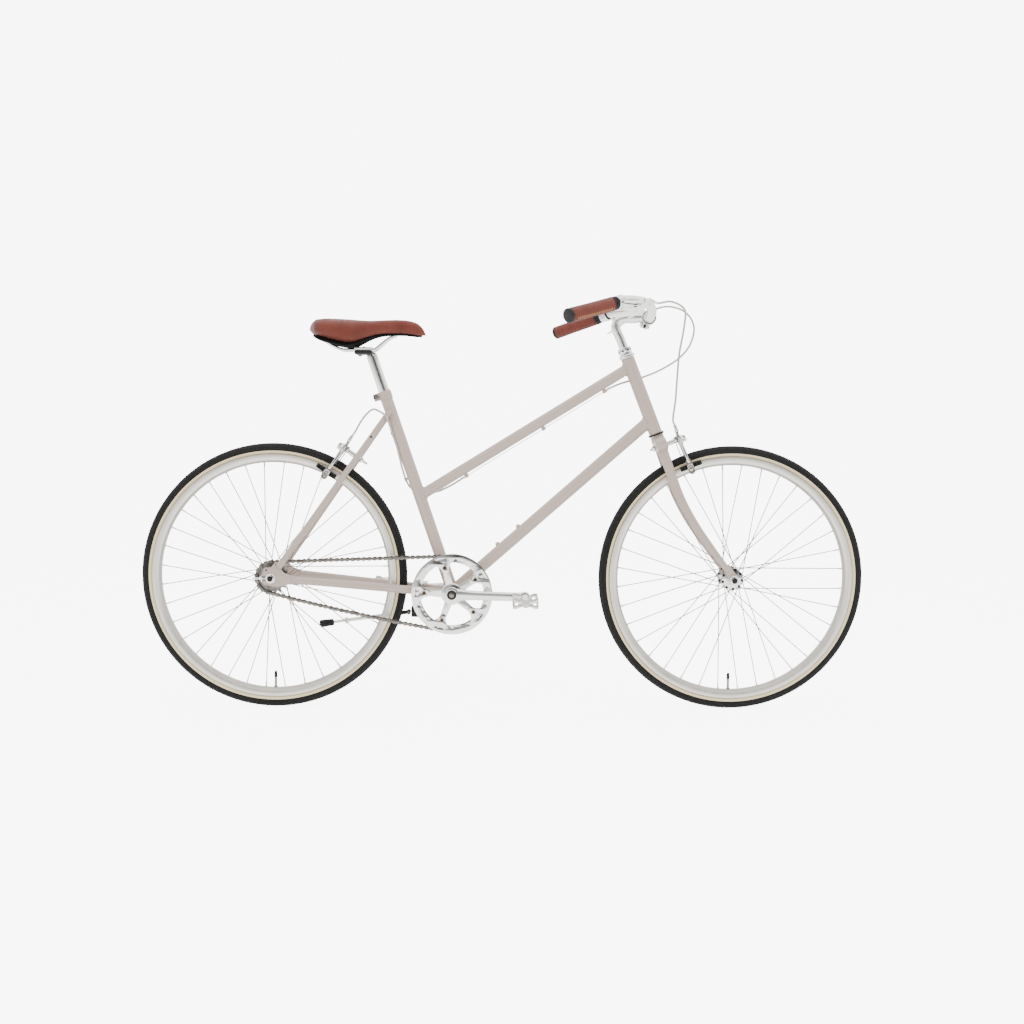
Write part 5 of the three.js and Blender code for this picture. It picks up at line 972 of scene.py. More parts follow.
class BIKE_OT_fork(bpy.types.Operator):
    """Build the painted fork with its swept blades and flattened tips"""
    bl_idname = "bike.fork"
    bl_label = "Fork"

    def execute(self, context):
        n = context.scene.bike_sizes.tube_sides
        f = Form()
        for s in (-1, 1):
            path = smooth_path([steer(366.5, 0, s * 21), steer(297.1, -3, s * 28.5),
                                steer(222, -3, s * 34.74), steer(153.9, 6.2, s * 41.96),
                                steer(78.8, 24.6, s * 49.2), steer(17, 41.8, s * 52.8)], 40)
            t = np.linspace(0, 1, 40)[:, None]
            sweep(f, path, np.hstack([12.5 + (7 - 12.5) * t, 9.5 + (6.6 - 9.5) * t]), n, across=SIDE)
            top = steer(34, 40.5)
            a, b = (0, 0), ((top - FRONT)[0], (top - FRONT)[2])
            outline = link_outline(a, 11.5, b, 7, 16)
            low = FRONT_FACE if s > 0 else -FRONT_FACE - TIP_THICK
            plate(f, [outline], -TIP_THICK, 0, 0.6, wheel_plane(FRONT + SIDE * low))
            outside = low + (TIP_THICK + 0.1 if s > 0 else -0.1)
            # A dark disc round the axle in the tip is painted shade.
            rod(f, FRONT + SIDE * outside, FRONT + SIDE * (low + 2.5), 5.4, sides=24, edge=0.1, number=1)
        place = basis(SIDE, STEER_UP, STEER_OUT, steer(358))
        plate(f, [link_outline((-25.5, 0), 17, (25.5, 0), 16.9, 20)], -13, 13, 3.2, place, rounds=3)
        turn_about(f, [(0, 366), (15.6, 366), (15.9, 372), (15.9, 377.4), (15, 378.4), (0, 378.6)], steer(0),
                   STEER_UP, 48)
        for s in (-1, 1):
            weld_bead(f, steer(358, 0, s * 21), SIDE, 15, steer(358, 0, s * 22.5), -STEER_UP, 10.5, 2.2)
        f.piece("fork_blades", "steering", ["frame_paint", "painted_hollow_shade"], ["fork"])
        return {"FINISHED"}


class BIKE_OT_stem(bpy.types.Operator):
    """Build the quill stem with its bolts and the swept-back handlebar"""
    bl_idname = "bike.stem"
    bl_label = "Stem And Handlebar"

    def execute(self, context):
        f = Form()
        clamp = vec(336, 0, 925)
        path = smooth_path([steer(540), steer(580), steer(618), steer(652), steer(662.9, 10.9),
                            clamp - vec(26.2, 0, 0), clamp], 60)
        t = np.linspace(0, 1, 60)
        girth = np.stack([10.9 + 1.6 * np.exp(-((t - 0.83) / 0.08) ** 2),
                          10.9 + 0.6 * np.exp(-((t - 0.83) / 0.1) ** 2)], 1)
        sweep(f, path, girth, 40, across=SIDE)
        turn_about(f, [(13.2, -18), (16.4, -18), (17.5, -17), (17.5, 17), (16.4, 18), (13.2, 18)], clamp,
                   SIDE, 56)
        down = unit(vec(-0.42, 0, -0.91))
        across = vec(down[2], 0, -down[0])
        lug = basis(across, SIDE, -down, clamp + down * 19)
        for s in (-1, 1):
            block(f, (s * 4.7, 0, 0), (6.6, 16, 16), lug, 1.4)
        bolt = clamp + down * 20.5
        # A dark slab and the bolt's shank in the gap between the lugs are painted shade.
        block(f, (0, 0, 0.5), (2.9, 14, 15), lug, 0.3, 1)
        bolt_head(f, bolt - across * 8, -across, 4.6, 4.4, False)
        rod(f, bolt - SIDE * 8.15, bolt + SIDE * 8.15, 3.2, sides=20, edge=0.1, number=1)
        bolt_head(f, bolt + across * 8, across, 5.0, 3.6, True)
        top = steer(663, 2)
        bolt_head(f, top + STEER_UP * 8.2, STEER_UP, 6.0, 3.4, False)
        f.piece("stem_forged", "steering", ["polished_silver", "painted_hollow_shade"], ["stem"])

        b = Form()
        tip = GRIP_OUT - GRIP_ALONG * 0.3
        half = [tip, on_grip(np.linalg.norm(tip - GRIP_IN) / 2), GRIP_IN, on_grip(-45), vec(302, -139, 951),
                vec(325, -106, 947),
                vec(336, -72, 936), vec(336, -37.1, 925)]
        line = half + [clamp] + [p * vec(1, -1, 1) for p in half[::-1]]
        sweep(b, smooth_path(line, 150), 11.1, 36)
        turn_about(b, [(0, -28), (11.3, -28), (12.7, -26), (12.7, 26), (11.3, 28), (0, 28)], clamp, SIDE, 48)
        b.piece("handlebar_swept", "steering", ["polished_silver"], ["handlebar"])
        return {"FINISHED"}


class BIKE_OT_grips(bpy.types.Operator):
    """Build the leather grips with their sewn seam, rings and end caps"""
    bl_idname = "bike.grips"
    bl_label = "Leather Grips"

    def execute(self, context):
        step = context.scene.bike_sizes.stitch_step / MM
        for name, s in (("right", 1), ("left", -1)):
            mirror = vec(1, s, 1)
            f = Form()
            profile = [(12.3, 1.2), (14.9, 1.4), (15.5, 2.6)] + [
                (15.6 + 0.15 * math.sin(t * 9), 3 + t * (GRIP_LENGTH - 6)) for t in np.linspace(0, 1, 24)] + [
                (15.4, GRIP_LENGTH - 1.6), (14.8, GRIP_LENGTH - 0.8), (12.3, GRIP_LENGTH - 0.6)]
            turn_about(f, profile, GRIP_IN * mirror, GRIP_ALONG * mirror, 48)
            f.piece(f"grip_leather_{name}", "steering", ["brown_leather"], [f"grip_{name}"], 50)
            f = Form()
            turn_about(f, [(11.4, -13.6), (14.4, -13.4), (14.9, -12.8), (14.9, -10.6), (13.6, -10.2),
                           (13.6, -8.6), (14.9, -8.2), (14.9, -6), (13.6, -5.6), (13.6, -4), (14.9, -3.4),
                           (16, -1.8), (16, 0.6), (15.2, 1.3), (12.3, 1.4)], GRIP_IN * mirror,
                       GRIP_ALONG * mirror, 44)
            start = GRIP_OUT + GRIP_ALONG * 0.3
            turn_about(f, [(0, -0.9), (15.4, -0.9), (16, -0.2), (16, 3.4), (15.5, 5), (13.4, 6.4), (9, 7),
                           (0, 7)], start * mirror, GRIP_ALONG * mirror, 44)
            f.piece(f"grip_ends_{name}", "steering", ["black_plastic"], [f"grip_cap_{name}"])
            self.seam(name, mirror, step)
        return {"FINISHED"}

    def seam(self, name, mirror, step):
        """A row of slanted stitches along the lower outer side."""
        out = unit(vec(0.1, -0.8, -0.62) - GRIP_ALONG * (vec(0.1, -0.8, -0.62) @ GRIP_ALONG))
        side = np.cross(GRIP_ALONG, out)
        places, turns = [], []
        count = int((GRIP_LENGTH - 10) / step)
        for i in range(count):
            at = GRIP_IN + GRIP_ALONG * (6 + i * step) + out * 15.55
            run = unit(side + GRIP_ALONG * 0.35)
            places.append(at * mirror)
            m = Matrix((run * mirror, np.cross(out, run) * mirror * mirror[1], out * mirror)).transposed()
            turns.append(list(m.to_euler()))
        stitch = Form()
        path, girth = domed((-3.2, 0, 0), (3.2, 0, 0), 1.15, 1.15, depth=1.0)
        path = np.array(path) + vec(0, 0, 1) * (0.45 * (1 - (np.array(path)[:, :1] / 3.1) ** 2) - 0.3)
        sweep(stitch, path, girth, 7)
        o = grown(f"grip_stitches_{name}", place_each_tree, points_mesh("stitch_places", places, turns),
                  {"Scale": 1.0, "Finish": "tan_thread"}, stitch)
        dress(o, "steering")


class BIKE_OT_levers(bpy.types.Operator):
    """Build the lever bodies with their clamps and barrels, and the brake levers"""
    bl_idname = "bike.levers"
    bl_label = "Brake Levers"

    def execute(self, context):
        along = GRIP_ALONG
        perch = Form()
        turn_about(perch, [(11.6, -33.4), (14.6, -33.4), (15.4, -32.6), (15.4, -15.4), (14.6, -14.6),
                           (11.6, -14.6)], GRIP_IN, along, 48)
        body = [on_grip(-26, 6), on_grip(-33, 17), on_grip(-46, 27), on_grip(-60, 31), on_grip(-76, 31),
                on_grip(-93, 27.4), on_grip(-99, 26)]
        halves = resample([(9.4, 8.2), (9, 7.2), (8.6, 6.5), (8.5, 6.5), (8.3, 6.5), (5.2, 5.2),
                           (4.2, 4.2)], 30)
        sweep(perch, smooth_path(body, 30), halves, 28, across=LEVER_PIN, square=0.8)
        barrel = on_grip(-94, 27)
        rod(perch, barrel, barrel + BARREL_ALONG * 8, 4.6, 4.4, 20)
        for k in range(4):
            rod(perch, barrel + BARREL_ALONG * (8.2 + k * 1.4), barrel + BARREL_ALONG * (9.4 + k * 1.4), 4.1,
                sides=20, edge=0.3)
        rod(perch, barrel, barrel + BARREL_ALONG * 14, 3.5, sides=16)
        bolt_head(perch, on_grip(-24, -14.6), -LEVER_OUT, 3.6, 3, False)
        turn_about(perch, [(11.4, -35), (13.2, -35), (13.2, -33.2), (11.4, -33.2)], GRIP_IN, along, 40, 1)
        # The dark blocks below stand in for the body's slots and the clamp's slits as painted shade.
        for reach, pin, size in ((-46, 3.0, (17, 2.4, 2.0)), (-44, -2.6, (12, 2.4, 1.6)),
                                 (-66, 0.4, (12, 2.4, 1.8))):
            block(perch, (0, 0, 0), size, basis(GRIP_ALONG, LEVER_OUT, LEVER_PIN,
                                                on_grip(reach, 34.6 if reach > -50 else 36.6, pin)), 0.5, 1)
        for turn in (-40, -8, 24):
            spot = on_grip(-24) + (LEVER_OUT * math.cos(turn * DEG) + LEVER_PIN * math.sin(turn * DEG)) * 14.9
            block(perch, (0, 0, 0), (9, 2, 2.2), basis(GRIP_ALONG, LEVER_OUT, LEVER_PIN, spot), 0.4, 1)
        for s in (-1, 1):
            bolt_head(perch, on_grip(-74, 31, s * 6.3), LEVER_PIN * s, 4.2, 1.8, False)
        pivot = (-74, 31)
        blade = Form()
        line = [on_grip(pivot[0] - 7, pivot[1] - 3), on_grip(*pivot), on_grip(-58, 43), on_grip(-42, 52),
                on_grip(-18, 63), on_grip(2, 70), on_grip(16, 74.5), on_grip(28, 77)]
        halves = resample([(3.4, 4.2), (6.6, 4.4), (6.2, 4.4), (5.2, 4.4), (4.6, 4.3), (4.5, 4.3),
                           (5.2, 4.4), (3.6, 3.8), (1.4, 1.6)], 44)
        sweep(blade, smooth_path(line, 44), halves, 26, across=LEVER_PIN, square=0.85)
        for name, body, lever in (("right", perch, blade), ("left", perch.mirrored(), blade.mirrored())):
            body.piece(f"lever_body_{name}", "steering", ["polished_silver", "painted_hollow_shade"],
                       [f"lever_perch_{name}"])
            lever.piece(f"lever_blade_{name}", f"lever_{name}", ["polished_silver"], [f"brake_lever_{name}"])
        return {"FINISHED"}


TYRE_MIDDLE, TYRE_HIGH, TYRE_WIDE, TREAD_EDGE, BEAD_SHADOW_EDGE = 300, 13.5, 14, 296.3, 289.4


class BIKE_OT_tyres(bpy.types.Operator):
    """Build both tyres with a ribbed tread and cream walls, and both rims with brake tracks"""
    bl_idname = "bike.tyres"
    bl_label = "Tyres And Rims"

    def execute(self, context):
        n = context.scene.bike_sizes.wheel_steps
        turns = np.linspace(-55, 235, 41) * DEG
        section = [(TYRE_MIDDLE + TYRE_HIGH * math.sin(t), TYRE_WIDE * math.cos(t)) for t in turns]
        section = [(285, 8.2)] + section + [(285, -8.2)]
        rise = [(a[0] + b[0]) / 2 for a, b in zip(section, section[1:] + section[:1])]
        # Faces below the bead edge take a darker ring as painted shadow between tyre and rim.
        numbers = [0 if r > TREAD_EDGE else (2 if r < BEAD_SHADOW_EDGE else 1) for r in rise]
        rim = [(284, 9.3), (284.4, 9.9), (287.4, 10.2), (287.9, 11), (287.4, 11.8), (286, 12), (278, 11.9),
               (276.6, 11.4), (273, 9.8),
               (270, 7.8), (268.4, 5.6), (267.9, 3)]
        rim = rim + [(r, -y) for r, y in rim[::-1]]
        for name, centre, body in (("front", FRONT, "front_wheel"), ("rear", REAR, "rear_wheel")):
            f = Form()
            turn_about(f, section, centre, SIDE, n, numbers)
            f.piece(f"{name}_tyre_made", body, ["tyre_rubber", "tyre_wall", "bead_shadow_line"], [f"{name}_tyre"],
                    60)
            f = Form()
            # Painted shade: the rim's innermost faces take the darker grey finish.
            edge = [1 if (a[0] + b[0]) / 2 < 271.6 else 0 for a, b in zip(rim, rim[1:] + rim[:1])]
            turn_about(f, rim, centre, SIDE, n, edge)
            f.piece(f"{name}_rim_made", body, ["rim_silver", "housing_grey"], [f"{name}_rim"], 24)
            f = Form()
            stem = centre - vec(0, 0, 268)
            rod(f, stem, stem + vec(0, 0, 26), 2.9, sides=20)
            for k in range(8):
                rod(f, stem + vec(0, 0, 3 + k * 2.6), stem + vec(0, 0, 4.2 + k * 2.6), 3.2, sides=20,
                    edge=0.3)
            rod(f, stem + vec(0, 0, -0.6), stem + vec(0, 0, 2.4), 5.2, 4.6, 6, 0.4)
            path, girth = domed(stem + vec(0, 0, 25), stem + vec(0, 0, 39.5), 4, 3.2, False, True)
            sweep(f, path, girth, 20, number=1)
            f.piece(f"{name}_valve_made", body, ["dark_steel", "black_plastic"], [f"{name}_valve"])
        return {"FINISHED"}


SPOKES, CROSSING, NIPPLE_SEAT = 18, 60, 268.6


class BIKE_OT_spokes(bpy.types.Operator):
    """Lace both wheels: spokes, nipples and spoke heads, and the turned hubs between them"""
    bl_idname = "bike.spokes"
    bl_label = "Spokes And Hubs"

    def execute(self, context):
        wire = context.scene.bike_sizes.spoke_wire
        for name, centre, body, sides in (("front", FRONT, "front_wheel", ((29, 23, False), (-29, 23, True))),
                                          ("rear", REAR, "rear_wheel",
                                           ((30, 19.5, False), (-22, 19.5, True)))):
            ends, edges, nipples, heads, turns = [], [], [], [], []
            for flange, root, flip in sides:
                out = math.copysign(1, flange)
                for i in range(SPOKES):
                    leading = i % 2 == 1
                    hub_at = (i * 360 / SPOKES + (15 if flip else 5)) * DEG
                    rim_at = hub_at + (-CROSSING if leading else CROSSING) * DEG
                    spread = -out if leading else out
                    a = centre + vec(root * math.cos(hub_at), flange + spread * 2.0, root * math.sin(hub_at))
                    b = centre + vec(NIPPLE_SEAT * math.cos(rim_at), out * 2.2 + spread * 0.6,
                                     NIPPLE_SEAT * math.sin(rim_at))
                    d = unit(b - a)
                    bend = a - vec(0, spread * 2.6, 0)
                    edges += [(len(ends), len(ends) + 1), (len(ends) + 1, len(ends) + 2)]
                    ends += [bend, a, b]
                    nipples.append(b)
                    x = unit(np.cross(d, SIDE))
                    turns.append(list(Matrix((x, np.cross(x, -d), d)).transposed().to_euler()))
                    heads.append(bend - vec(0, spread * 1.5, 0))
            o = grown(f"{name}_spoke_wires", wire_tree, points_mesh("laced", ends, edges=edges),
                      {"Wire Radius": wire, "Sides": 10, "Finish": "spoke_steel"})
            dress(o, body)
            nipple = Form()
            turn_about(nipple, [(1.2, -13.5), (1.5, -13.2), (1.75, -12), (1.75, -3), (2.6, -2), (2.9, 0.6),
                                (1.2, 0.6)], (0, 0, 0), (0, 0, 1), 10)
            o = grown(f"{name}_nipples", place_each_tree, points_mesh("nipple_places", nipples, turns),
                      {"Scale": 1.0, "Finish": "bright_chrome"}, nipple)
            dress(o, body)
            # The spoke heads are painted dark as painted shade, not in their steel colour.
            knob = Form()
            turn_about(knob, [(0, -1.1), (1.5, -0.9), (2.3, -0.3), (2.3, 0.3), (1.5, 0.9), (0, 1.1)],
                       (0, 0, 0), SIDE, 12, closed=False)
            o = grown(f"{name}_spoke_heads", place_each_tree,
                      points_mesh("head_places", heads, [(0, 0, 0)] * len(heads)),
                      {"Scale": 1.5, "Finish": "painted_hollow_shade"}, knob)
            dress(o, body)
        f = Form()
        half = [(13, 0), (13, 22), (13.6, 24.6), (16, 26.3), (24.6, 27), (26, 27.6), (26, 30.4), (24.6, 31),
                (17, 31.6), (13.4, 33.2), (11.2, 38), (10.6, 44),
                (10.2, 48.6), (9.4, 49.5), (5.4, 49.6)]
        turn_about(f, [(5.4, -49.6)] + [(r, -y) for r, y in half[::-1][1:-1]] + half[1:], FRONT, SIDE, 60)
        f.piece("front_hub_shell", "front_wheel", ["polished_silver"], ["front_hub_and_spokes"])
        f = Form()
        left = [(14, 0), (14, 20), (14.6, 24), (17, 27), (21.4, 27.8), (22.5, 28.4), (22.5, 31.6),
                (21.4, 32.2), (16, 33), (13, 36), (11.4, 44), (11, 56),
                (10, 59.2), (5.4, 59.6)]
        right = [(5.4, -59.6), (9.6, -59.4), (9.6, -25.4), (21.4, -24.2), (22.5, -23.6), (22.5, -20.4),
                 (21.4, -19.8), (17, -19), (14.6, -16.4), (14, -12)]
        turn_about(f, right + left, REAR, SIDE, 60)
        f.piece("rear_hub_shell", "rear_wheel", ["polished_silver"], ["rear_hub_and_spokes"])
        return {"FINISHED"}


class BIKE_OT_axles(bpy.types.Operator):
    """Build the axles with their nuts, washers and threads, and the chain tensioners"""
    bl_idname = "bike.axles"
    bl_label = "Axles And Tensioners"

    def execute(self, context):
        for name, centre, body, seat_y in (("front_axle", FRONT, "steering", 55.3),
                                           ("rear_axle", REAR, "frame", 65.3)):
            f = Form()
            rod(f, centre - SIDE * (seat_y + 12), centre + SIDE * (seat_y + 12), 4.4, sides=24)
            for s in (-1, 1):
                # The thread rings, the axle's end and a thin ring on the nut are painted dark as painted
                # shade.
                for k in range(4):
                    at = centre + SIDE * s * (seat_y + 8.6 + k * 1.1)
                    rod(f, at, at + SIDE * s * 0.6, 4.75, sides=24, edge=0.25, number=1)
                at = centre + SIDE * s * seat_y
                turn_about(f, [(5, 0.1), (10.6, 0.1), (11, 0.5), (11, 1.6), (10.6, 2), (5, 2)], at, SIDE * s,
                           40)
                x = unit(vec(0.3, 0, 1))
                place = basis(x, np.cross(SIDE * s, x), SIDE * s, at + SIDE * s * 2)
                plate(f, [circle(9.1, 6), circle(4.9, 24)[::-1]], 0, 6.2, 0.7, place)
                tip = centre + SIDE * s * (seat_y + 12)
                rod(f, tip - SIDE * s * 0.6, tip + SIDE * s * 0.25, 4.2, sides=24, edge=0.1, number=1)
                rod(f, at + SIDE * s * 8.2, at + SIDE * s * 8.5, 6.6, sides=32, edge=0.1, number=1)
            f.piece(f"{name}_set", body, ["bright_chrome", "painted_hollow_shade"], [name])
        for name, s in (("right", -1), ("left", 1)):
            f = Form()
            y = 62.5 * s
            back = REAR + SIDE * y
            block(f, (-20.6, 0, 0), (3, 6.4, 17), basis(vec(1, 0, 0), SIDE, vec(0, 0, 1), back), 0.9)
            rod(f, back + vec(-42, 0, 0), back + vec(-5.6, 0, 0), 2.1, sides=16)
            for k in range(10):
                at = back + vec(-34 + k * 2.6, 0, 0)
                rod(f, at, at + vec(1.3, 0, 0), 2.4, sides=16, edge=0.3)
            bolt_head(f, back + vec(-22, 0, 0), vec(-1, 0, 0), 4.4, 3.6, True)
            f.piece(f"tensioner_{name}", "frame", ["bright_chrome", "painted_hollow_shade"],
                    [f"chain_tensioner_{name}"])
        return {"FINISHED"}


def chain_rollers():
    """Where each roller lies: the upper run, the rear sprocket, the lower run and the chainring."""
    rise = math.atan2(CRANK[2] - REAR[2], CRANK[0] - REAR[0])
    lean = math.asin((RING_RADIUS - SPROCKET_RADIUS) / STAY_LENGTH)
    top, low = rise + math.pi / 2 + lean, rise - math.pi / 2 - lean

    def on(centre, radius, angle):
        return np.array([centre[0] + radius * math.cos(angle), centre[2] + radius * math.sin(angle)])

    start, back = on(CRANK, RING_RADIUS, top), top + math.pi / 2
    run = STAY_LENGTH * math.cos(lean)
    rollers = [start + i * PITCH * np.array([math.cos(back), math.sin(back)])
               for i in range(int(run / PITCH) + 1)]
    step, a, b = 2 * math.pi / SPROCKET_TEETH, 0.0, 2 * math.pi / SPROCKET_TEETH
    for _ in range(50):
        mid = (a + b) / 2
        gap = np.linalg.norm(on(REAR, SPROCKET_RADIUS, top + mid) - rollers[-1])
        a, b = (mid, b) if gap < PITCH else (a, mid)
    first = angle = top + (a + b) / 2
    while angle <= top + math.pi - 2 * lean:
        rollers.append(on(REAR, SPROCKET_RADIUS, angle))
        angle += step
    ring_step = 2 * math.pi / RING_TEETH
    front = [on(CRANK, RING_RADIUS, top - i * ring_step) for i in range(int((top - low) / ring_step), 0, -1)]
    links, chord = LINKS - len(rollers) - len(front) + 1, front[0] - rollers[-1]
    a, b = 1e-7, 0.2
    for _ in range(60):
        bend = (a + b) / 2
        reach = PITCH * math.sin(links * bend / 2) / math.sin(bend / 2)
        a, b = (bend, b) if reach > np.linalg.norm(chord) else (a, bend)
    heading, point = math.atan2(chord[1], chord[0]) - (links - 1) * bend / 2, rollers[-1]
    for _ in range(links - 1):
        point = point + PITCH * np.array([math.cos(heading), math.sin(heading)])
        rollers.append(point)
        heading += bend
    return rollers + front, top, first


def tooth_outline(teeth, radius, phase, tip, half=4.1, crown=1.3):
    """A sprocket's edge: round seats under the rollers and blunt teeth between them."""
    points = []
    for i in range(teeth):
        gap = phase + 2 * math.pi * i / teeth
        for t in np.linspace(-68, 68, 7) * DEG:
            r, w = radius - half * math.cos(t), half * math.sin(t)
            points.append((r * math.cos(gap) - w * math.sin(gap), r * math.sin(gap) + w * math.cos(gap)))
        tooth = gap + math.pi / teeth
        for w in (-crown, crown):
            points.append((tip * math.cos(tooth) - w * math.sin(tooth),
                           tip * math.sin(tooth) + w * math.cos(tooth)))
    return points


def spun(points, angle):
    c, s = math.cos(angle), math.sin(angle)
    return [(x * c - y * s, x * s + y * c) for x, y in points]


def rounded(points, radius, steps=4):
    """A corner outline with its corners rounded off."""
    out, p = [], [np.array(q, float) for q in points]
    for a, b, c in zip(p[-1:] + p[:-1], p, p[1:] + p[:1]):
        before, after = unit(a - b), unit(c - b)
        reach = min(radius, np.linalg.norm(a - b) / 2.1, np.linalg.norm(c - b) / 2.1)
        for t in np.linspace(0, 1, steps + 1):
            out.append(tuple(b + before * reach * (1 - t) ** 2 + after * reach * t ** 2))
    return out


SPIDER = [(33 + 72 * i) * DEG for i in range(5)]


class BIKE_OT_chain(bpy.types.Operator):
    """Lay the chain link by link round both sprockets, and build the rear sprocket and bottom bracket"""
    bl_idname = "bike.chain"
    bl_label = "Chain And Sprocket"

    def execute(self, context):
        rollers, _, sprocket_phase = chain_rollers()
        kinds = {"wide": ([], []), "narrow": ([], [])}
        for i, a in enumerate(rollers):
            b = rollers[(i + 1) % len(rollers)]
            places, turns = kinds["narrow" if i % 2 == 0 else "wide"]
            places.append((a[0], -CHAIN_LINE, a[1]))
            turns.append((0, -math.atan2(b[1] - a[1], b[0] - a[0]), 0))
        waist = [(0.25, 3.1), (0.5, 2.4), (0.75, 3.1)]

        def link_plate(form, low, high, end):
            side = [(PITCH * t, w * end / 4.1) for t, w in waist]
            left, right = arc(end, 110, 250, 9), arc(end, -70, 70, 9, PITCH)
            plate(form, [left + [(x, -w) for x, w in side] + right + side[::-1]], low, high, 0.2,
                  basis((1, 0, 0), (0, 0, 1), (0, -1, 0), (0, 0, 0)))

        wide, narrow = Form(), Form()
        for s in (-1, 1):
            link_plate(wide, min(s * 2.75, s * 3.75), max(s * 2.75, s * 3.75), 5.25)
            link_plate(narrow, min(s * 1.75, s * 2.65), max(s * 1.75, s * 2.65), 5.0)
        for x in (0, PITCH):
            rod(wide, (x, -4.4, 0), (x, 4.4, 0), 1.8, sides=12, edge=0.3)
            rod(narrow, (x, -1.7, 0), (x, 1.7, 0), 3.85, sides=16, edge=0.3)
        for name, form in (("wide", wide), ("narrow", narrow)):
            places, turns = kinds[name]
            o = grown(f"chain_{name}_links", place_each_tree, points_mesh("link_places", places, turns),
                      {"Scale": 1.0, "Finish": "chain_steel"}, form)
            dress(o, "frame", ["chain"] if name == "wide" else [])
        f = Form()
        teeth = tooth_outline(SPROCKET_TEETH, SPROCKET_RADIUS, sprocket_phase, SPROCKET_RADIUS + 3.4)
        plate(f, [teeth, circle(15, 40)[::-1]], CHAIN_LINE - 1.1, CHAIN_LINE + 1.1, 0.5, wheel_plane(REAR))
        turn_about(f, [(10.2, 29.5), (21, 29.5), (23.4, 30.4), (24, 31.4), (24, 37), (23, 38), (18, 38.4),
                       (18, 44), (17, 45.8), (15.6, 46.4), (10.2, 46.4)], REAR, -SIDE, 48)
        f.piece("rear_sprocket_cut", "sprocket", ["dark_steel"], ["rear_sprocket"])
        f = Form()
        for s in (-1, 1):
            turn_about(f, [(9.3, 30), (17.2, 30), (19.4, 34.4), (19.4, 36), (18.6, 36.6), (11, 36.8),
                           (9.3, 36.4)], CRANK, SIDE * s, 48)
            # Dark dots stand in for the cups' spanner holes as painted shade.
            for t in range(0, 360, 30):
                at = CRANK + SIDE * s * 36.5 + vec(math.cos(t * DEG), 0, math.sin(t * DEG)) * 15.4
                rod(f, at, at + SIDE * s * 0.5, 1.5, sides=10, edge=0.1, number=1)
        f.piece("bottom_bracket_cups", "frame", ["dark_steel", "painted_hollow_shade"], ["bottom_bracket"])
        return {"FINISHED"}


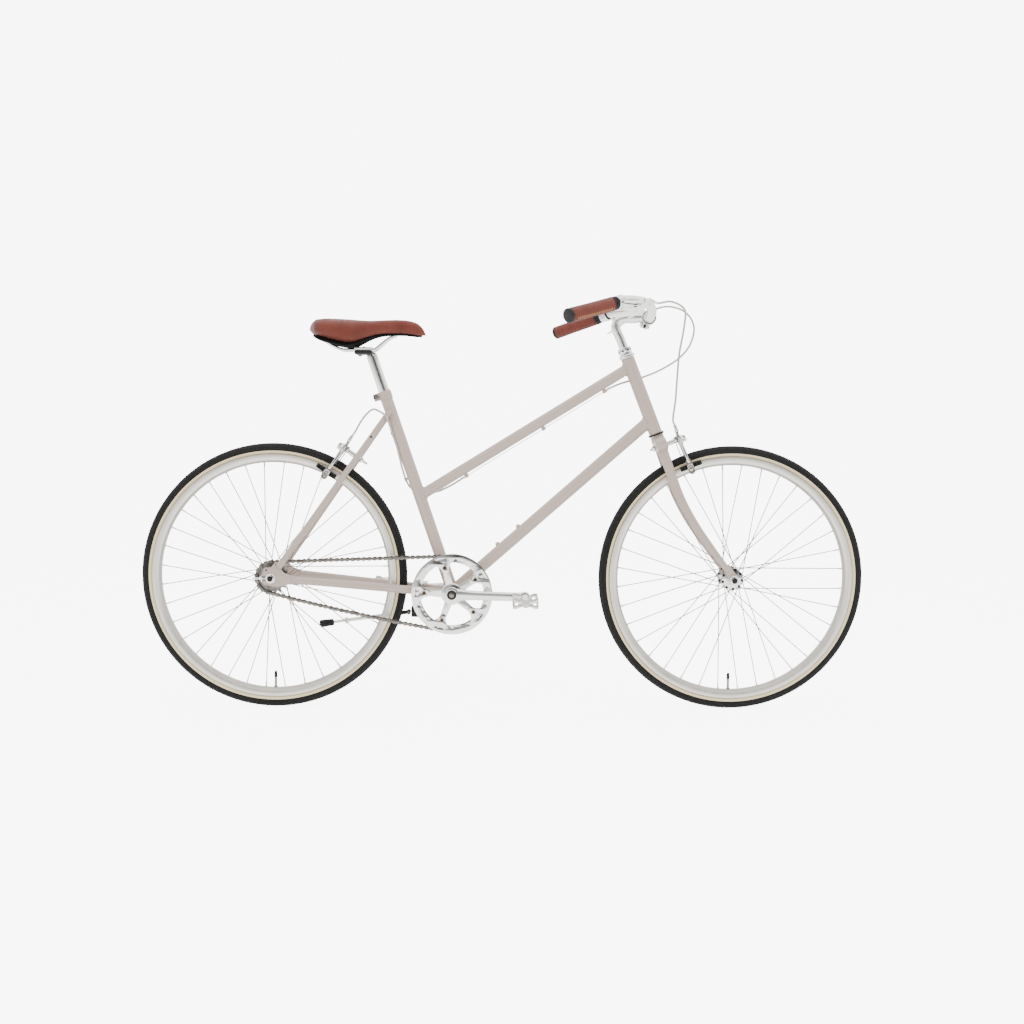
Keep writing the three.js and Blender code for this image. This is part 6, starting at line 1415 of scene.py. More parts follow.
class BIKE_OT_cranks(bpy.types.Operator):
    """Build the chainring, the guard with its scalloped edge, the spider and both forged crank arms"""
    bl_idname = "bike.cranks"
    bl_label = "Cranks And Chainring"

    def execute(self, context):
        _, ring_phase, _ = chain_rollers()
        f = Form()
        teeth = tooth_outline(RING_TEETH, RING_RADIUS, ring_phase, RING_RADIUS + 3.6)
        inner = []
        for angle in SPIDER:
            inner += spun(arc(74, -25, -9.5, 7) + arc(8.2, -95, -265, 9, 66) + arc(74, 9.5, 46, 8), angle)
        holes = [spun(circle(4.2, 16, RING_BOLTS), a)[::-1] for a in SPIDER]
        plate(f, [teeth, inner[::-1], *holes], CHAIN_LINE - 1.4, CHAIN_LINE + 1.4, 0.5, wheel_plane(CRANK))
        f.piece("chainring_cut", "crank", ["polished_silver"], ["chainring"])

        f = Form()
        outer = circle(95, 160)
        inner = []
        for angle in SPIDER:
            left = [(79.5, -31), (77, -26), (70, -15), (63, -9.5)]
            edge = [(79.8 * math.cos(t) + 1.2 * math.sin(math.pi * k / 6) * math.cos(t), 79.8 * math.sin(t))
                    for k, t in enumerate(np.linspace(24, 48, 7) * DEG)]
            bay = [(58 - 7.6 * math.sin(t), -8 * math.cos(t)) for t in np.linspace(20, 160, 6) * DEG]
            tab = left + [(58, -8)] + bay + [(58, 8)] + [(x, -y) for x, y in left[::-1]]
            inner += spun(tab + edge, angle)
        windows = [spun(rounded([(71.5, 0), (85.5, -12.5), (86.2, 0), (85.5, 12.5)], 5), a)[::-1]
                   for a in SPIDER]
        holes = [spun(circle(4.2, 16, RING_BOLTS), a)[::-1] for a in SPIDER]
        plate(f, [outer, inner[::-1], *windows, *holes], 47, 49.6, 0.7, wheel_plane(CRANK))
        f.piece("guard_ring", "crank", ["polished_silver"], ["chain_guard"])

        f = Form()
        for angle in SPIDER:
            turn = np.array(wheel_plane(CRANK)) @ np.array(Matrix.Rotation(angle, 4, "Z"))
            arm = [(8, -11), (30, -8.6), (52, -7.4), (64, -7.6), (71, -5), (72.6, 0), (71, 5), (64, 7.6),
                   (52, 7.4), (30, 8.6), (8, 11)]
            plate(f, [rounded(arm, 2.5, 3)], 43.4, 46.9, 1.3, turn, rounds=3)
        turn_about(f, [(9, 42.6), (24, 43), (25.6, 44.6), (24, 47.6), (17, 50.5), (9, 51)], CRANK, -SIDE, 60)
        self.arm(f, -1, CRANK_AIM)
        f.piece("crank_arm_right", "crank", ["polished_silver", "painted_hollow_shade", "black_plastic",
                                             "spoke_steel"], ["crank_right"])
        b = Form()
        for angle in SPIDER:
            at = CRANK + vec(math.cos(angle), 0, math.sin(angle)) * RING_BOLTS
            # The middle of each bolt's top is painted dark as painted shade for its socket.
            turn_about(b, [(0, 49.9), (2.6, 49.9), (3.0, 50.1), (5.0, 50.2), (5.4, 49.6), (5.4, 48.8),
                           (0, 48.8)], at, -SIDE, 28, [1, 1, 0, 0, 0, 0], closed=False)
            rod(b, at - SIDE * 40, at - SIDE * 48, 4.0, sides=16)
            rod(b, at - SIDE * 39.2, at - SIDE * 40.4, 6.4, sides=24)
        b.piece("chainring_bolts", "crank", ["brass_bolt", "painted_hollow_shade"], slot="dark_steel")
        f = Form()
        self.arm(f, 1, -CRANK_AIM)
        f.piece("crank_arm_left", "crank", ["polished_silver", "painted_hollow_shade", "black_plastic", "spoke_steel"],
                ["crank_left"])
        f = Form()
        rod(f, CRANK - SIDE * 61.4, CRANK + SIDE * 61.4, 8.4, sides=32)
        f.piece("spindle_bar", "crank", ["dark_steel"], ["spindle"])
        return {"FINISHED"}

    def arm(self, f, side, direction):
        """A forged arm with its boss, dust cap and pedal eye; side is 1 on the rider's left."""
        root, tip = CRANK + SIDE * side * 56, CRANK + direction * CRANK_LENGTH + SIDE * side * 69
        path = resample([root - direction * 4, root + direction * 30 + SIDE * side * 2,
                         tip - direction * 30 - SIDE * side * 1, tip + direction * 2], 24)
        t = np.linspace(0, 1, 24)
        halves = np.stack([15.5 - 4.2 * np.minimum(1, t * 3.2) - 1.0 * t
                           + 1.4 * np.maximum(0, t - 0.85) / 0.15, 7.2 - 1.2 * t], 1)
        sweep(f, path, halves, 36, across=SIDE, square=0.9)
        turn_about(f, [(9, 37.2), (15.6, 37.2), (16.8, 38), (17.4, 46), (17.4, 61), (16.6, 62.6),
                       (15.4, 63), (11.4, 63), (11.4, 60.2), (9, 60.2)], CRANK, SIDE * side, 56)
        turn_about(f, [(0, 64.6), (4.6, 64.6), (5.8, 64.2), (6.2, 63.4), (6.2, 59.6), (0, 59.6)], CRANK,
                   SIDE * side, 40, 3, closed=False)
        turn_about(f, [(6, 60), (11.3, 60), (11.3, 64.4), (10.6, 65), (7.2, 65), (6, 64.2)], CRANK,
                   SIDE * side, 40, 2)
        end = tip - SIDE * side * 69
        turn_about(f, [(5.2, 61.6), (11.4, 61.6), (12.5, 62.6), (12.7, 66), (12.7, 72), (12.4, 75.4),
                       (11.4, 76.4), (5.2, 76.4)], end, SIDE * side, 48)


class BIKE_OT_pedals(bpy.types.Operator):
    """Build the cage pedals with their waisted plates, toothed bars and axles"""
    bl_idname = "bike.pedals"
    bl_label = "Pedals"

    def execute(self, context):
        for name, s in (("right", -1), ("left", 1)):
            centre = CRANK - CRANK_AIM * CRANK_LENGTH * s
            f = Form()
            low, high = 88.5, 178.5
            wing = [(-29, -10.5), (-27, -12), (-19, -11.6), (-11.5, -7.6), (-4, -7.4), (4, -7.4),
                    (11.5, -7.6), (19, -11.6), (27, -12), (29, -10.5)]
            wing = wing + [(-x, -y) for x, y in wing]
            for a, b in ((low, low + 2.6), (high - 2.6, high)):
                lo, hi = (a, b) if s < 0 else (-b, -a)
                holes = [circle(3.4, 16, x, 0)[::-1] for x in (-20.5, 20.5)]
                plate(f, [rounded(wing, 2.2, 3), *holes], lo, hi, 0.6, wheel_plane(centre))
            for x in (-27.8, 27.8):
                tooth = ((0, -7.2), (0.9, -9.4), (2.1, -9.4), (3.0, -7.2))
                teeth = [(low + 3 + k * 4.2 + d, z) for k in range(20) for d, z in tooth]
                teeth = [(low, -7.2)] + teeth + [(high, -7.2)]
                loop = teeth + [(p, -q) for p, q in teeth[::-1]]
                plate(f, [loop], -1.2, 1.2, 0.3, basis(SIDE * s, vec(0, 0, 1), vec(s, 0, 0),
                                                       centre + vec(x, 0, 0)))
            turn_about(f, [(5.4, low), (8.8, low), (9.6, low + 3), (8.2, low + 8), (7.8, low + 45),
                           (8.2, high - 8), (9.6, high - 3), (9.2, high + 0.4), (5.4, high + 0.4)], centre,
                       SIDE * s, 40)
            turn_about(f, [(0, high + 1.6), (5.6, high + 1.4), (7, high + 0.4), (7.2, high - 1),
                           (0, high - 1)], centre, SIDE * s, 36, closed=False)
            turn_about(f, [(7.4, high - 1), (8.4, high - 1), (8.4, high + 0.6), (7.4, high + 0.6)], centre,
                       SIDE * s, 36, 1)
            f.piece(f"pedal_cage_{name}", f"pedal_{name}", ["bright_cast", "spoke_steel"], [f"pedal_{name}"],
                    slot="polished_silver")
            f = Form()
            rod(f, centre + SIDE * s * 61.6, centre + SIDE * s * 180, 4.5, sides=20)
            place = basis(vec(1, 0, 0), np.cross(SIDE * s, vec(1, 0, 0)), SIDE * s, centre + SIDE * s * 77)
            plate(f, [circle(8.6, 6)], 0, 5.6, 0.6, place)
            turn_about(f, [(4.5, 82), (7.4, 82.2), (7.8, 83), (7.8, 86.8), (7.2, 87.6), (4.5, 87.8)], centre,
                       SIDE * s, 32)
            f.piece(f"pedal_spindle_{name}", "crank", ["dark_steel"], [f"pedal_axle_{name}"])
        return {"FINISHED"}


class BIKE_OT_brakes(bpy.types.Operator):
    """Build both side-pull calipers with arms, springs, pads in slotted holders, adjusters and bare wires"""
    bl_idname = "bike.brakes"
    bl_label = "Caliper Brakes"

    def execute(self, context):
        self.caliper("front", FRONT_BRAKE, SIDE, STEER_UP, FRONT_REACH, 13, -1, "steering")
        self.caliper("rear", REAR_BRAKE, -SIDE, STAY_UP, REAR_REACH, 6, 1, "frame")
        return {"FINISHED"}

    def caliper(self, name, pivot, across, up, offset, face, s, home):
        """One caliper: its pads lie at offset from the pivot's plane, and s is the cable's side."""
        out = np.cross(across, up)
        place = basis(across, up, out, pivot)
        inner, outer = offset - ARM_STEP, offset + 0.15

        def at(x, y, z):
            return pivot + across * x + up * y + out * z

        for part, side, low, tail in (("outer", -s, outer, (s * 31, -3)),
                                      ("inner", s, inner, (s * CABLE_SIDE, CABLE_EYE))):
            body = f"{name}_arm_{part}"
            f = Form()
            leg = [(-side * 9.5, 0), (side * 2, -0.5), (side * 14, -5), (side * 25, -18), (side * 31, -38),
                   (side * 31.4, -54)]
            plate(f, [ribbon(leg, [7, 9.4, 8.2, 6.4, 5.6, 5.0], 8, 9)], low, low + 2 * ARM_HALF, 1.8, place,
                  rounds=3)
            plate(f, [ribbon([(-side * 2, 0), (tail[0] * 0.5, tail[1] * 0.5 + 2), tail], [9, 6.6, 5.2], 8,
                             9)], low, low + 2 * ARM_HALF, 1.8, place, rounds=3)
            turn_about(f, [(3.4, low - 0.05), (9.4, low - 0.05), (9.9, low + 0.6), (9.9, low + 5.4),
                           (9.4, low + 6.05), (3.4, low + 6.05)], pivot, out, 44)
            middle = low + ARM_HALF
            rod(f, at(side * 23.9, PAD_DROP, middle), at(side * 37, PAD_DROP, middle), 3, sides=20)
            eye = basis(np.cross(up, across * side), up, across * side, at(0, PAD_DROP, middle))
            plate(f, [link_outline((0, -11.5), 7.6, (0, 12), 7.0, 10),
                      link_outline((0, -8.5), 3.9, (0, 9), 3.7, 8)[::-1]], 27.6, 33.8, 1.5, eye, 2, rounds=3)
            bolt_head(f, at(side * 33.9, PAD_DROP - 2, middle), across * side, 5.2, 3.4, True, number=2)
            turn_about(f, [(3.2, 33.6), (7, 33.6), (7.2, 34), (7.2, 34.6), (7, 34.9), (3.2, 34.9)],
                       at(0, PAD_DROP, middle), across * side, 32)
            if part == "inner":
                x, y = s * CABLE_SIDE, CABLE_EYE
                rod(f, at(x, y - 4, middle), at(x, y + 3, middle), 4.8, sides=24)
                for k in range(5):
                    rod(f, at(x, y + 3.4 + k * 1.8, middle), at(x, y + 4.7 + k * 1.8, middle), 4.3, sides=24,
                        edge=0.4)
                # A dark core in the adjuster's bore is painted shade.
                rod(f, at(x, y - 6, middle), at(x, y + 12, middle), 3.2, sides=20, number=1)
            else:
                x, y = s * 31, -3
                rod(f, at(x, y, low - 2), at(x, y, low + 9), 3.4, sides=20)
                bolt_head(f, at(x, y, low + 7), out, 5.2, 4, True)
                bolt_head(f, at(x, y, low - 0.2), -out, 4.8, 3, False)
                wire = [at(s * CABLE_SIDE, CABLE_EYE - 6, inner + 3), at(s * 27.6, 10, inner + 3.4),
                        at(s * 29, 2, low - 1.6), at(s * 31.2, -6, low - 1.6), at(s * 31.6, -20, low - 1.4)]
                sweep(f, smooth_path(wire, 24), 0.85, 8, 2)
            f.piece(f"{name}_brake_{part}", body, ["polished_silver", "painted_hollow_shade", "spoke_steel"],
                    [f"{name}_brake_arm_{part}"])
            f = Form()
            face_x, back_x = side * 14.6, side * 23.4
            shoe = basis(out, up * side, np.cross(out, up * side), at(0, PAD_DROP, offset))

            def depths(*places):
                return sorted(float((at(x, 0, 0) - pivot) @ shoe[:3, 2]) for x in places)

            loop = rounded([(-25, -4.5), (25, -4.5), (25, 4.5), (-25, 4.5)], 3, 4)
            lo, hi = depths(face_x, face_x + side * 6.2)
            plate(f, [loop], lo, hi, 1.0, shoe)
            # Dark bars across the pad's face stand in for its grooves as painted shade.
            for k in (-15, -5, 5, 15):
                low_end, high_end = (at(face_x - side * 0.05, PAD_DROP + reach, offset + k)
                                     for reach in (-4.4, 4.4))
                rod(f, low_end, high_end, 0.9, sides=8, number=1)
            holder = rounded([(-26.4, -5.6), (26.4, -5.6), (26.4, 5.6), (-26.4, 5.6)], 2.4, 4)
            lo, hi = depths(face_x + side * 4.4, back_x)
            slots = [rounded([(k - 2.4, -2.4), (k + 2.4, -2.4), (k + 2.4, 2.4), (k - 2.4, 2.4)], 1.6,
                             3)[::-1] for k in (-19, -11, 11, 19)]
            plate(f, [holder, *slots], lo, hi, 0.8, shoe, 2)
            f.piece(f"{name}_pad_{part}", body, ["black_rubber", "painted_hollow_shade", "black_plastic"],
                    [f"{name}_brake_pad_{part}"])
        f = Form()
        rod(f, at(0, 0, -26.6), at(0, 0, outer + 13.6), 3, sides=20)
        for z, turn, r, h in ((outer + 6.4, out, 6.4, 4.0), (outer + 10.6, out, 6.0, 3.2)):
            x = unit(up * 0.97 + across * 0.2)
            plate(f, [circle(r, 6)], 0, h, 0.6, basis(x, np.cross(turn, x), turn, at(0, 0, z)), 2)
        back = -face - 0.4
        bolt_head(f, at(0, 0, back), -out, 6.2, 7.6, True)
        turn_about(f, [(3.2, face + 0.3), (7.4, face + 0.3), (7.8, face + 0.9), (6.2, face + 3),
                       (5.8, inner - 3), (7, inner - 1.2), (7, inner - 0.3), (3.2, inner - 0.3)], pivot,
                   out, 36)
        block(f, (0, 2.5, inner - 4.4), (15, 12, 4.6), place, 1.2)
        for side in (-1, 1):
            spring = [at(side * 6, 7.4, inner - 4.4), at(side * 11, 8.6, inner - 4.4),
                      at(side * 19, 2, inner - 3.2), at(side * 26, -12, inner - 2.2),
                      at(side * 28.6, -30, inner - 1.7), at(side * 28.8, -40, inner - 1.5)]
            sweep(f, smooth_path(spring, 26), 1.2, 10, 2)
        # Thin dark discs in the gaps between the arms and washers are painted shade.
        for z, radius in ((inner - 1.4, 8.6), (outer - 0.55, 9.2), (outer + 6.1, 7.8)):
            rod(f, at(0, 0, z), at(0, 0, z + 0.8), radius, sides=32, edge=0.1, number=1)
        f.piece(f"{name}_brake_centre", home, ["polished_silver", "painted_hollow_shade", "dark_steel"],
                [f"{name}_brake_bolt"])


class BIKE_OT_cables(bpy.types.Operator):
    """Run the brake housings and the bare wire along their real routes, with end caps"""
    bl_idname = "bike.cables"
    bl_label = "Brake Cables"

    def execute(self, context):
        r = context.scene.bike_sizes.housing / MM
        start = on_grip(-94, 27) + BARREL_ALONG * 14.3
        out = FRONT_BRAKE_OUT * (FRONT_REACH - ARM_STEP + ARM_HALF)
        end = FRONT_BRAKE - SIDE * CABLE_SIDE + STEER_UP * CABLE_TOP + out
        route = [start, start + BARREL_ALONG * 10, vec(377, -112, 953), vec(409, -88, 937),
                 vec(410, -76, 900), vec(402, -60, 838), vec(398, -40, 735),
                 end + STEER_UP * 10, end]
        f = Form()
        self.run(f, smooth_path(route, 150), r)
        f.piece("front_housing", "steering", ["housing_grey", "bright_chrome"], ["front_brake_cable"])

        mirror = vec(1, -1, 1)
        start = start * mirror
        stop, last = on_wire(WIRE_STOPS[0] - 5.3), on_wire(WIRE_STOPS[-1] + 5.3)
        route = [start, start + BARREL_ALONG * mirror * 10, vec(389, 112, 961), vec(424, 96, 954),
                 vec(447, 82, 933), vec(455, 72, 905), vec(444, 62, 866),
                 vec(418, 52, 835), vec(378, 42, 809), vec(335, 31, 790), vec(305, 23, 781),
                 vec(275, 11, 772), stop + TOP_ALONG * 10, stop]
        f = Form()
        self.run(f, smooth_path(route, 200), r)
        loop = placed("rear_housing_loop", f.mesh("rear_housing_loop", ["housing_grey", "bright_chrome"]))
        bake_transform(loop)
        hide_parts("rear_housing_front")

        f = Form()
        rod(f, stop - TOP_ALONG * 0.3, last + TOP_ALONG * 1.5, 0.85, sides=10, edge=0.05, number=2)
        out = REAR_BRAKE_OUT * (REAR_REACH - ARM_STEP + ARM_HALF)
        end = REAR_BRAKE - SIDE * CABLE_SIDE + STAY_UP * CABLE_TOP + out
        by_tube = [(268, 16, 9), (288, 18.9, 2), (316, 17.9, -3), (337, 15.6, -8), (366, 13, -12),
                   (400, 12.8, -12.5), (418, 12, -17), (434, 12, -26.5),
                   (446, 14, -29.5), (457, 22, -30), (467, 35, -30.5), (461.5, 53, -30), (450, 70.5, -29)]
        route = [last, last - TOP_ALONG * 10, vec(-128, 10, 527), vec(-160, 18, 513), vec(-201, 19, 510),
                 *[seat(up, y, back) for up, back, y in by_tube],
                 end + STAY_UP * 10, end]
        self.run(f, smooth_path(route, 220), r)
        f.piece("rear_housing", "frame", ["housing_grey", "bright_chrome", "spoke_steel"],
                ["rear_brake_cable"])
        return {"FINISHED"}

    def run(self, f, line, r):
        sweep(f, line, r, 16)
        for a, b in ((line[0], line[3]), (line[-1], line[-4])):
            d = unit(b - a)
            rod(f, a, a + d * 9, r + 0.45, sides=20, edge=0.3, number=1)


def spline(shares, t):
    """The height of a smooth line through (place, height) pairs at place t."""
    p = np.array(shares, float)

    def at(q):
        w = (len(p) - 1) * q
        i = min(int(w), len(p) - 1)
        w -= i
        a, b, c, d = p[max(i - 1, 0)], p[i], p[min(i + 1, len(p) - 1)], p[min(i + 2, len(p) - 1)]
        m, n = (c - a) / 2, (d - b) / 2
        return (2 * b - 2 * c + m + n) * w ** 3 + (-3 * b + 3 * c - 2 * m - n) * w ** 2 + m * w + b

    low, high = 0.0, 1.0
    for _ in range(30):
        mid = (low + high) / 2
        low, high = (mid, high) if at(mid)[0] < t else (low, mid)
    return at((low + high) / 2)[1]


SADDLE_NOSE, SADDLE_TAIL, SADDLE_FLOOR, SADDLE_HEIGHT, SADDLE_HALF = -184, -455, 855, 62, 77
SADDLE_WIDTH = [(0, 0.12), (0.03, 0.24), (0.1, 0.29), (0.24, 0.32), (0.38, 0.42), (0.5, 0.64), (0.62, 0.9),
                (0.72, 1), (0.86, 0.94), (0.95, 0.66), (1, 0.3)]
SADDLE_TOP = [(0, 0.46), (0.02, 0.68), (0.07, 0.85), (0.145, 0.95), (0.24, 0.98), (0.33, 0.97),
              (0.435, 0.945), (0.52, 0.94), (0.65, 0.975),
              (0.8, 1), (0.87, 0.995), (0.94, 0.96), (0.98, 0.9), (1, 0.78)]
SADDLE_BOTTOM = [(0, 0.36), (0.08, 0.39), (0.17, 0.43), (0.27, 0.43), (0.35, 0.41), (0.42, 0.35),
                 (0.48, 0.26), (0.54, 0.14), (0.6, 0.03), (0.66, 0), (0.74, 0.06), (0.82, 0.16),
                 (0.9, 0.27), (0.96, 0.36), (1, 0.46)]
SADDLE_BASE = [(0, 0.35), (0.4, 0.2), (0.55, 0.2), (0.7, 0.5), (0.84, 0.7), (0.94, 0.6), (1, 0.3)]


def saddle_shell(form, base, steps, around):
    """The saddle's closed surface: its cover, or the tray under it."""
    inset = 8.0 if base else 0.0
    nose, tail = SADDLE_NOSE - inset, SADDLE_TAIL + inset
    rings = []
    for k in range(1, steps):
        end = math.cos(math.pi * k / steps)
        radius = math.sqrt(1 - end * end)
        x = nose + (tail - nose) * (1 - end) / 2
        share = (SADDLE_NOSE - x) / (SADDLE_NOSE - SADDLE_TAIL)
        fade = min(1, radius / 0.5) ** 0.6
        bottom, top = (SADDLE_FLOOR + spline(line, share) * SADDLE_HEIGHT
                       for line in (SADDLE_BOTTOM, SADDLE_TOP))
        high, low = (bottom + 6, bottom - 0.8 - 8.4 * spline(SADDLE_BASE, share)) if base else (top, bottom)
        middle = low + (high - low) * 0.4
        width = fade * (spline(SADDLE_WIDTH, share) * SADDLE_HALF - inset)
        ring = []
        for j in range(around):
            a = 2 * math.pi * j / around
            out, up = math.sin(a), math.cos(a)
            rise = abs(up) ** 0.72 * (high - middle if up > 0 else low - middle)
            ring.append((x, math.copysign(abs(out) ** 0.72 * width, out), middle + fade * rise))
        rings.append(ring)
    points = [p for ring in rings for p in ring]
    faces = []
    for i in range(len(rings) - 1):
        for j in range(around):
            m = (j + 1) % around
            faces.append((i * around + j, i * around + m, (i + 1) * around + m, (i + 1) * around + j))
    for ring, first in ((rings[0], 0), (rings[-1], (len(rings) - 1) * around)):
        points.append(tuple(np.mean(ring, axis=0) + vec(0.4 if first == 0 else -0.4, 0, 0)))
        tip = len(points) - 1
        for j in range(around):
            m = (j + 1) % around
            faces.append((tip, first + m, first + j) if first == 0 else (tip, first + j, first + m))
    return form.add(points, faces)


class BIKE_OT_saddle(bpy.types.Operator):
    """Build the leather saddle, its tray, rails, clamp and post"""
    bl_idname = "bike.saddle"
    bl_label = "Saddle And Post"

    def execute(self, context):
        f = Form()
        saddle_shell(f, False, 72, 56)
        cover = f.piece("saddle_leather", "seat", ["brown_leather"], ["saddle_cover"], 70)
        f = Form()
        saddle_shell(f, True, 60, 44)
        f.piece("saddle_tray", "seat", ["black_shell"], ["saddle_base"], 50, "black_plastic")
        f = Form()
        half = [(-414, 33, 863.5), (-400, 30, 854.5), (-378, 24, 845.5), (-352, 21, 845), (-328, 21, 845),
                (-304, 21, 845), (-288, 18, 857), (-271, 14, 871), (-255, 8, 878.5)]
        line = [vec(*p) for p in half] + [vec(x, -y, z) for x, y, z in half[::-1]]
        sweep(f, smooth_path(line, 110), 3.5, 18)
        f.piece("saddle_wires", "seat", ["bright_chrome"], ["saddle_rails"])
        f = Form()
        for z, h, bevel, number in ((848.6, 5.0, 1.6, 0), (839.6, 10.0, 2.4, 1)):
            block(f, (-328, 0, z), (42, 57, h), None, bevel, number)
        for s in (-1, 1):
            rod(f, (-348.8, s * 21, 845), (-307.2, s * 21, 845), 5.4, sides=24)
            rod(f, (-328, s * 10, 838.6), (-328, s * 10, 852.6), 2.8, sides=16, number=2)
            bolt_head(f, (-340 if s > 0 else -316, s * 19, 834.8), (0, 0, -1), 4.6, 3.2, False, number=2)
        f.piece("saddle_clamp_plates", "seat", ["polished_silver", "black_plastic", "dark_steel",
                                                "painted_hollow_shade"], ["saddle_clamp"])
        f = Form()
        turn_about(f, [(0, 392), (12.6, 392), (12.9, 393), (12.9, 584), (12.2, 588), (10.4, 591.5), (0, 592)],
                   CRANK, SEAT_UP, 56)
        f.piece("seat_post_tube", "seat", ["polished_silver"], ["seat_post"])
        return {"FINISHED"}


class BIKE_OT_kickstand(bpy.types.Operator):
    """Build the kickstand: clamp plates on the chain stays, pivot block, leg, adjuster and rubber foot"""
    bl_idname = "bike.kickstand"
    bl_label = "Kickstand"

    def execute(self, context):
        stay_z = CRANK[2] + (REAR[2] - CRANK[2]) * (CRANK[0] + 195) / (CRANK[0] - REAR[0])
        f = Form()
        block(f, (-195, 0, stay_z + 15), (34, 42, 3.4), None, 1.2, 3)
        block(f, (-195, 6, stay_z - 15), (34, 54, 4), None, 1.2)
        rod(f, (-195, 0, stay_z - 17), (-195, 0, stay_z + 20), 4, sides=20, number=1)
        bolt_head(f, (-195, 0, stay_z + 16.6), (0, 0, 1), 6.4, 4.0, True, number=3)
        a, b = vec(-195, 21, stay_z - 17), vec(-214, 38, 234)
        line = [a + vec(0, -8, 2), a, (a + b) / 2 + vec(1, 2, 1), b, b + vec(-2, 2, -6)]
        sweep(f, smooth_path(line, 22), resample([(6.4, 6.4), (6.2, 6.2), (6.2, 6.2), (6.4, 6.4), (5, 5)],
            22), 24)
        block(f, (-210, 38, 222), (20, 14, 24), None, 2.0)
        f.piece("stand_bracket", "frame", ["black_plastic", "dark_steel", "painted_hollow_shade", "bright_cast"],
                ["kickstand_bracket"])
        pivot, foot = vec(-226.2, 38, 222), vec(-444, 66, 187)
        along, total = unit(foot - pivot), float(np.linalg.norm(foot - pivot))
        axis = unit(np.cross(along, unit(vec(-0.05, 0.35, -0.93))))

        def at(d):
            return pivot + along * d

        f = Form()
        rod(f, pivot - axis * 5, pivot + axis * 5, 5.2, sides=32, number=2)
        bolt_head(f, pivot + axis * 5, axis, 3.2, 1.4, False, number=1)
        bolt_head(f, pivot - axis * 5, -axis, 3.2, 1.4, False, number=1)
        sweep(f, [at(1), at(8), at(22)], [4.9, 4.8, 4.7], 28, 2)
        sweep(f, [at(22), at(24), at(total - 66), at(total - 65)], [4.7, 4.6, 4.6, 4.4], 28)
        for k in range(3):
            rod(f, at(total - 71 + k * 2.4), at(total - 69 + k * 2.4), 7.8, sides=6 if k == 1 else 28,
                edge=0.5)
        rod(f, at(total - 66), at(total - 36.3), 3.4, sides=20)
        for k in range(9):
            rod(f, at(total - 62 + k * 2.8), at(total - 60.6 + k * 2.8), 3.75, sides=20, edge=0.3)
        f.piece("stand_leg", "kickstand", ["polished_silver", "dark_steel", "black_plastic"],
                ["kickstand_leg"])
        f = Form()
        path, girth = domed(at(total - 36), at(total), 8.0, 9.4, True, True, 0.35)
        sweep(f, path, girth, 32)
        for k in range(4):
            rod(f, at(total - 29 + k * 6), at(total - 27 + k * 6), 9.0 + 0.15 * k, sides=32, edge=0.6)
        f.piece("stand_foot", "kickstand", ["black_rubber"], ["kickstand_foot"])
        return {"FINISHED"}


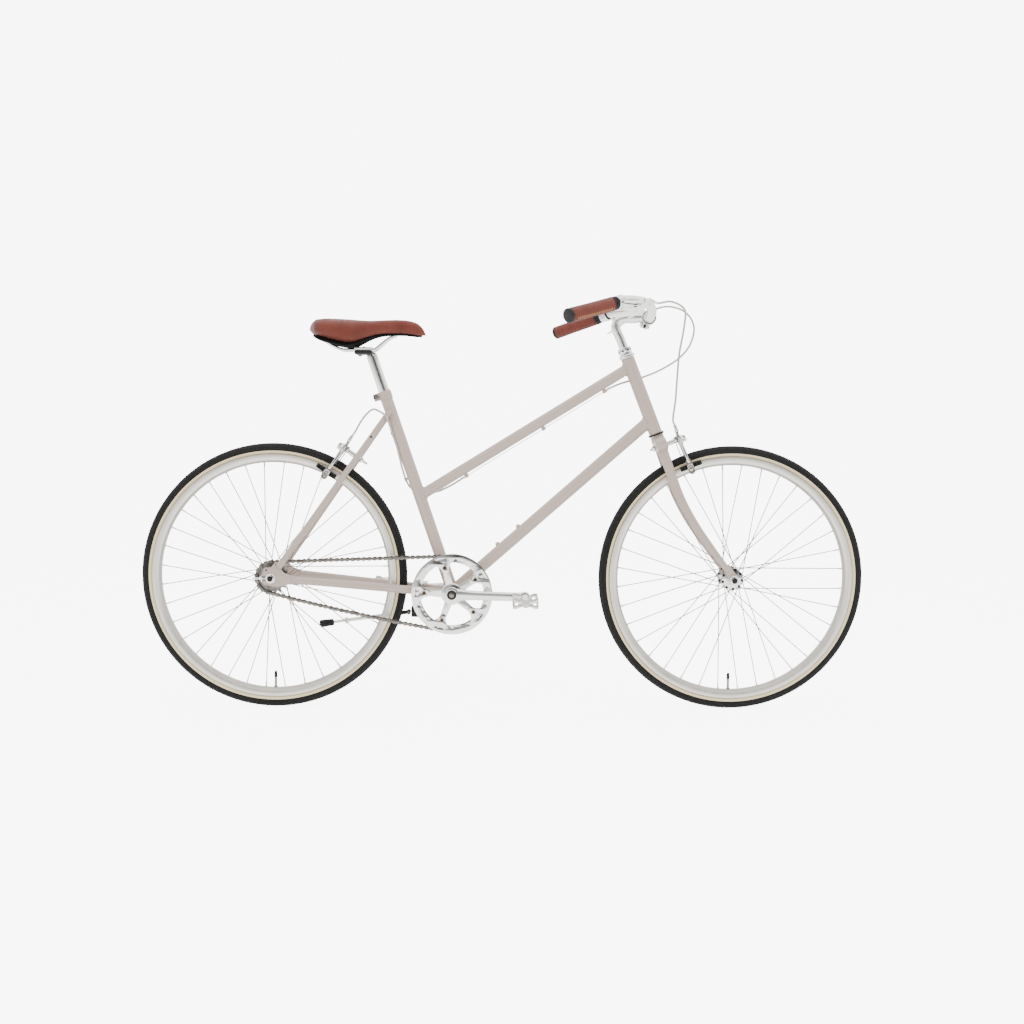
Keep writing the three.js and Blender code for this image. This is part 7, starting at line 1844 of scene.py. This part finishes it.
class BIKE_OT_stage(bpy.types.Operator):
    """Set the pale floor and backdrop, the soft lights and the camera at the photo's angle"""
    bl_idname = "bike.stage"
    bl_label = "Studio Stage"

    def execute(self, context):
        look = context.scene.bike_studio
        m = bpy.data.materials.new("studio_paper")
        m.use_nodes = True
        w = Wiring(m.node_tree)
        shader = m.node_tree.nodes["Principled BSDF"]
        noise = w.node("TexNoise", Vector=w.place(), Scale=3.0, Detail=3.0)
        colour = tuple(look.floor_colour)
        w.put(w.blend(w.ramp(noise, 0.3, 0.7), (*colour, 1), (*[c * 0.985 for c in colour], 1)),
              shader.inputs["Base Color"])
        shader.inputs["Roughness"].default_value = 0.9
        seen = w.node("LightPath", out="Is Camera Ray")
        mirrored = w.node("LightPath", out="Is Glossy Ray")
        glow = w.plus(seen, w.times(mirrored, 0.19))
        w.put(w.blend(glow, (0, 0, 0, 1), (1, 1, 1, 1)), shader.inputs["Emission Color"])
        shader.inputs["Emission Strength"].default_value = look.paper_glow
        line = [(-3.0, 0.0)] + [(3.0 + 1.6 * math.sin(t), 1.6 - 1.6 * math.cos(t))
                                for t in np.linspace(0, math.pi / 2, 16)] + [(4.6, 6.0)]
        data = bpy.data.meshes.new("studio_paper")
        points = [(x, y, z) for x in (-9, 9) for y, z in line]
        n = len(line)
        data.from_pydata(points, [], [(i, i + 1, n + i + 1, n + i) for i in range(n - 1)])
        data.materials.append(m)
        data.shade_smooth()
        data.flip_normals()
        placed("studio_paper", data)
        world = bpy.data.worlds.new("studio_air")
        world.use_nodes = True
        w = Wiring(world.node_tree)
        x, y, z = (w.node("SeparateXYZ", out=i, Vector=w.node("TexCoord", out="Generated")) for i in range(3))
        near = w.ramp(y, 0.15, -0.05)
        sides = w.times(w.ramp(w.away(x), 0.87, 0.96), w.ramp(z, 0.5, 0.3))
        room = w.ramp(w.away(x, 0.05), 0.95, 0.6)
        core = w.ramp(w.away(x, 0.2), 0.48, 0.28)
        doorway = w.times(w.largest(w.times(room, 0.82), core), w.ramp(z, -0.07, 0.0), w.ramp(z, 0.85, 0.5))
        gaps = w.ramp(w.away(w.away(x), 0.74), 0.06, 0.03)
        ledge = w.times(w.ramp(z, 0.0, -0.05), w.ramp(z, -0.4, -0.3))
        dark = w.times(near, w.largest(doorway, w.times(w.largest(gaps, sides), 0.75), w.times(ledge, 0.55)))
        panels = w.ramp(dark, 0.0, 1.0, look.panel_light, 0.1)
        mirrored = w.node("LightPath", out="Is Glossy Ray")
        seen = w.node("LightPath", out="Is Camera Ray")
        soft = w.plus(look.soft_light, w.times(mirrored, w.minus(panels, look.soft_light)))
        air = world.node_tree.nodes["Background"]
        air.inputs[0].default_value = (1, 1, 1, 1)
        w.put(w.plus(soft, w.times(seen, look.paper_glow)), air.inputs[1])
        context.scene.world = world
        for name, place, target, size, power in (("key", (-1.2, -2.6, 3.4), (0, 0, 0.4), 2.6, 46),
                ("fill", (2.6, -2.2, 2.2), (0.2, 0, 0.5), 2.2, 20),
                ("top", (0, 0.6, 4.0), (0, 0, 0.3), 3.4, 44)):
            light = bpy.data.lights.new(name, "AREA")
            light.size, light.energy = size, power
            o = placed(name, light)
            o.visible_glossy = False
            z = unit(np.array(place) - np.array(target))
            x = unit(np.cross(SIDE if abs(z[1]) < 0.9 else vec(1, 0, 0), z))
            o.matrix_world = Matrix(basis(x, np.cross(z, x), z, place))
        place, (yaw, pitch, roll) = vec(-12, -3030, 693), np.array([0.61, 4.26, 0.40]) * DEG
        d = vec(math.sin(yaw) * math.cos(pitch), math.cos(yaw) * math.cos(pitch), -math.sin(pitch))
        right = unit(np.cross(d, vec(0, 0, 1)))
        up = np.cross(right, d)
        across = right * math.cos(roll) + up * math.sin(roll)
        upright = -right * math.sin(roll) + up * math.cos(roll)
        lens = bpy.data.cameras.new("photo_camera")
        lens.lens, lens.sensor_width, lens.clip_end = look.lens, 36, 50
        camera = placed("photo_camera", lens)
        camera.matrix_world = Matrix(basis(across, upright, -d, place * MM))
        context.scene.camera = camera
        return {"FINISHED"}


class BIKE_PT_looks(bpy.types.Panel):
    """Sizes and steps of the step-through bike"""
    bl_label = "Step-Through Bike"
    bl_idname = "BIKE_PT_looks"
    bl_space_type = "VIEW_3D"
    bl_region_type = "UI"
    bl_category = "Bike"

    def draw(self, context):
        for holder in (context.scene.bike_sizes, context.scene.bike_studio):
            for name in holder.__annotations__:
                self.layout.prop(holder, name)
        for step in STEPS:
            self.layout.operator(step.bl_idname)


STEPS = (BIKE_OT_stage, BIKE_OT_frame, BIKE_OT_headset, BIKE_OT_fork, BIKE_OT_stem, BIKE_OT_grips,
         BIKE_OT_levers, BIKE_OT_tyres, BIKE_OT_spokes,
         BIKE_OT_axles, BIKE_OT_chain, BIKE_OT_cranks, BIKE_OT_pedals, BIKE_OT_brakes, BIKE_OT_cables,
         BIKE_OT_saddle, BIKE_OT_kickstand)
CLASSES = (BikeSizes, StudioSizes, *STEPS, BIKE_PT_looks)


def register():
    for c in CLASSES:
        bpy.utils.register_class(c)
    bpy.types.Scene.bike_sizes = bpy.props.PointerProperty(type=BikeSizes)
    bpy.types.Scene.bike_studio = bpy.props.PointerProperty(type=StudioSizes)


def unregister():
    del bpy.types.Scene.bike_studio
    del bpy.types.Scene.bike_sizes
    for c in reversed(CLASSES):
        bpy.utils.unregister_class(c)


def main():
    register()
    for step in STEPS:
        area, name = step.bl_idname.split(".")
        getattr(getattr(bpy.ops, area), name)()


if __name__ == "__main__":
    main()
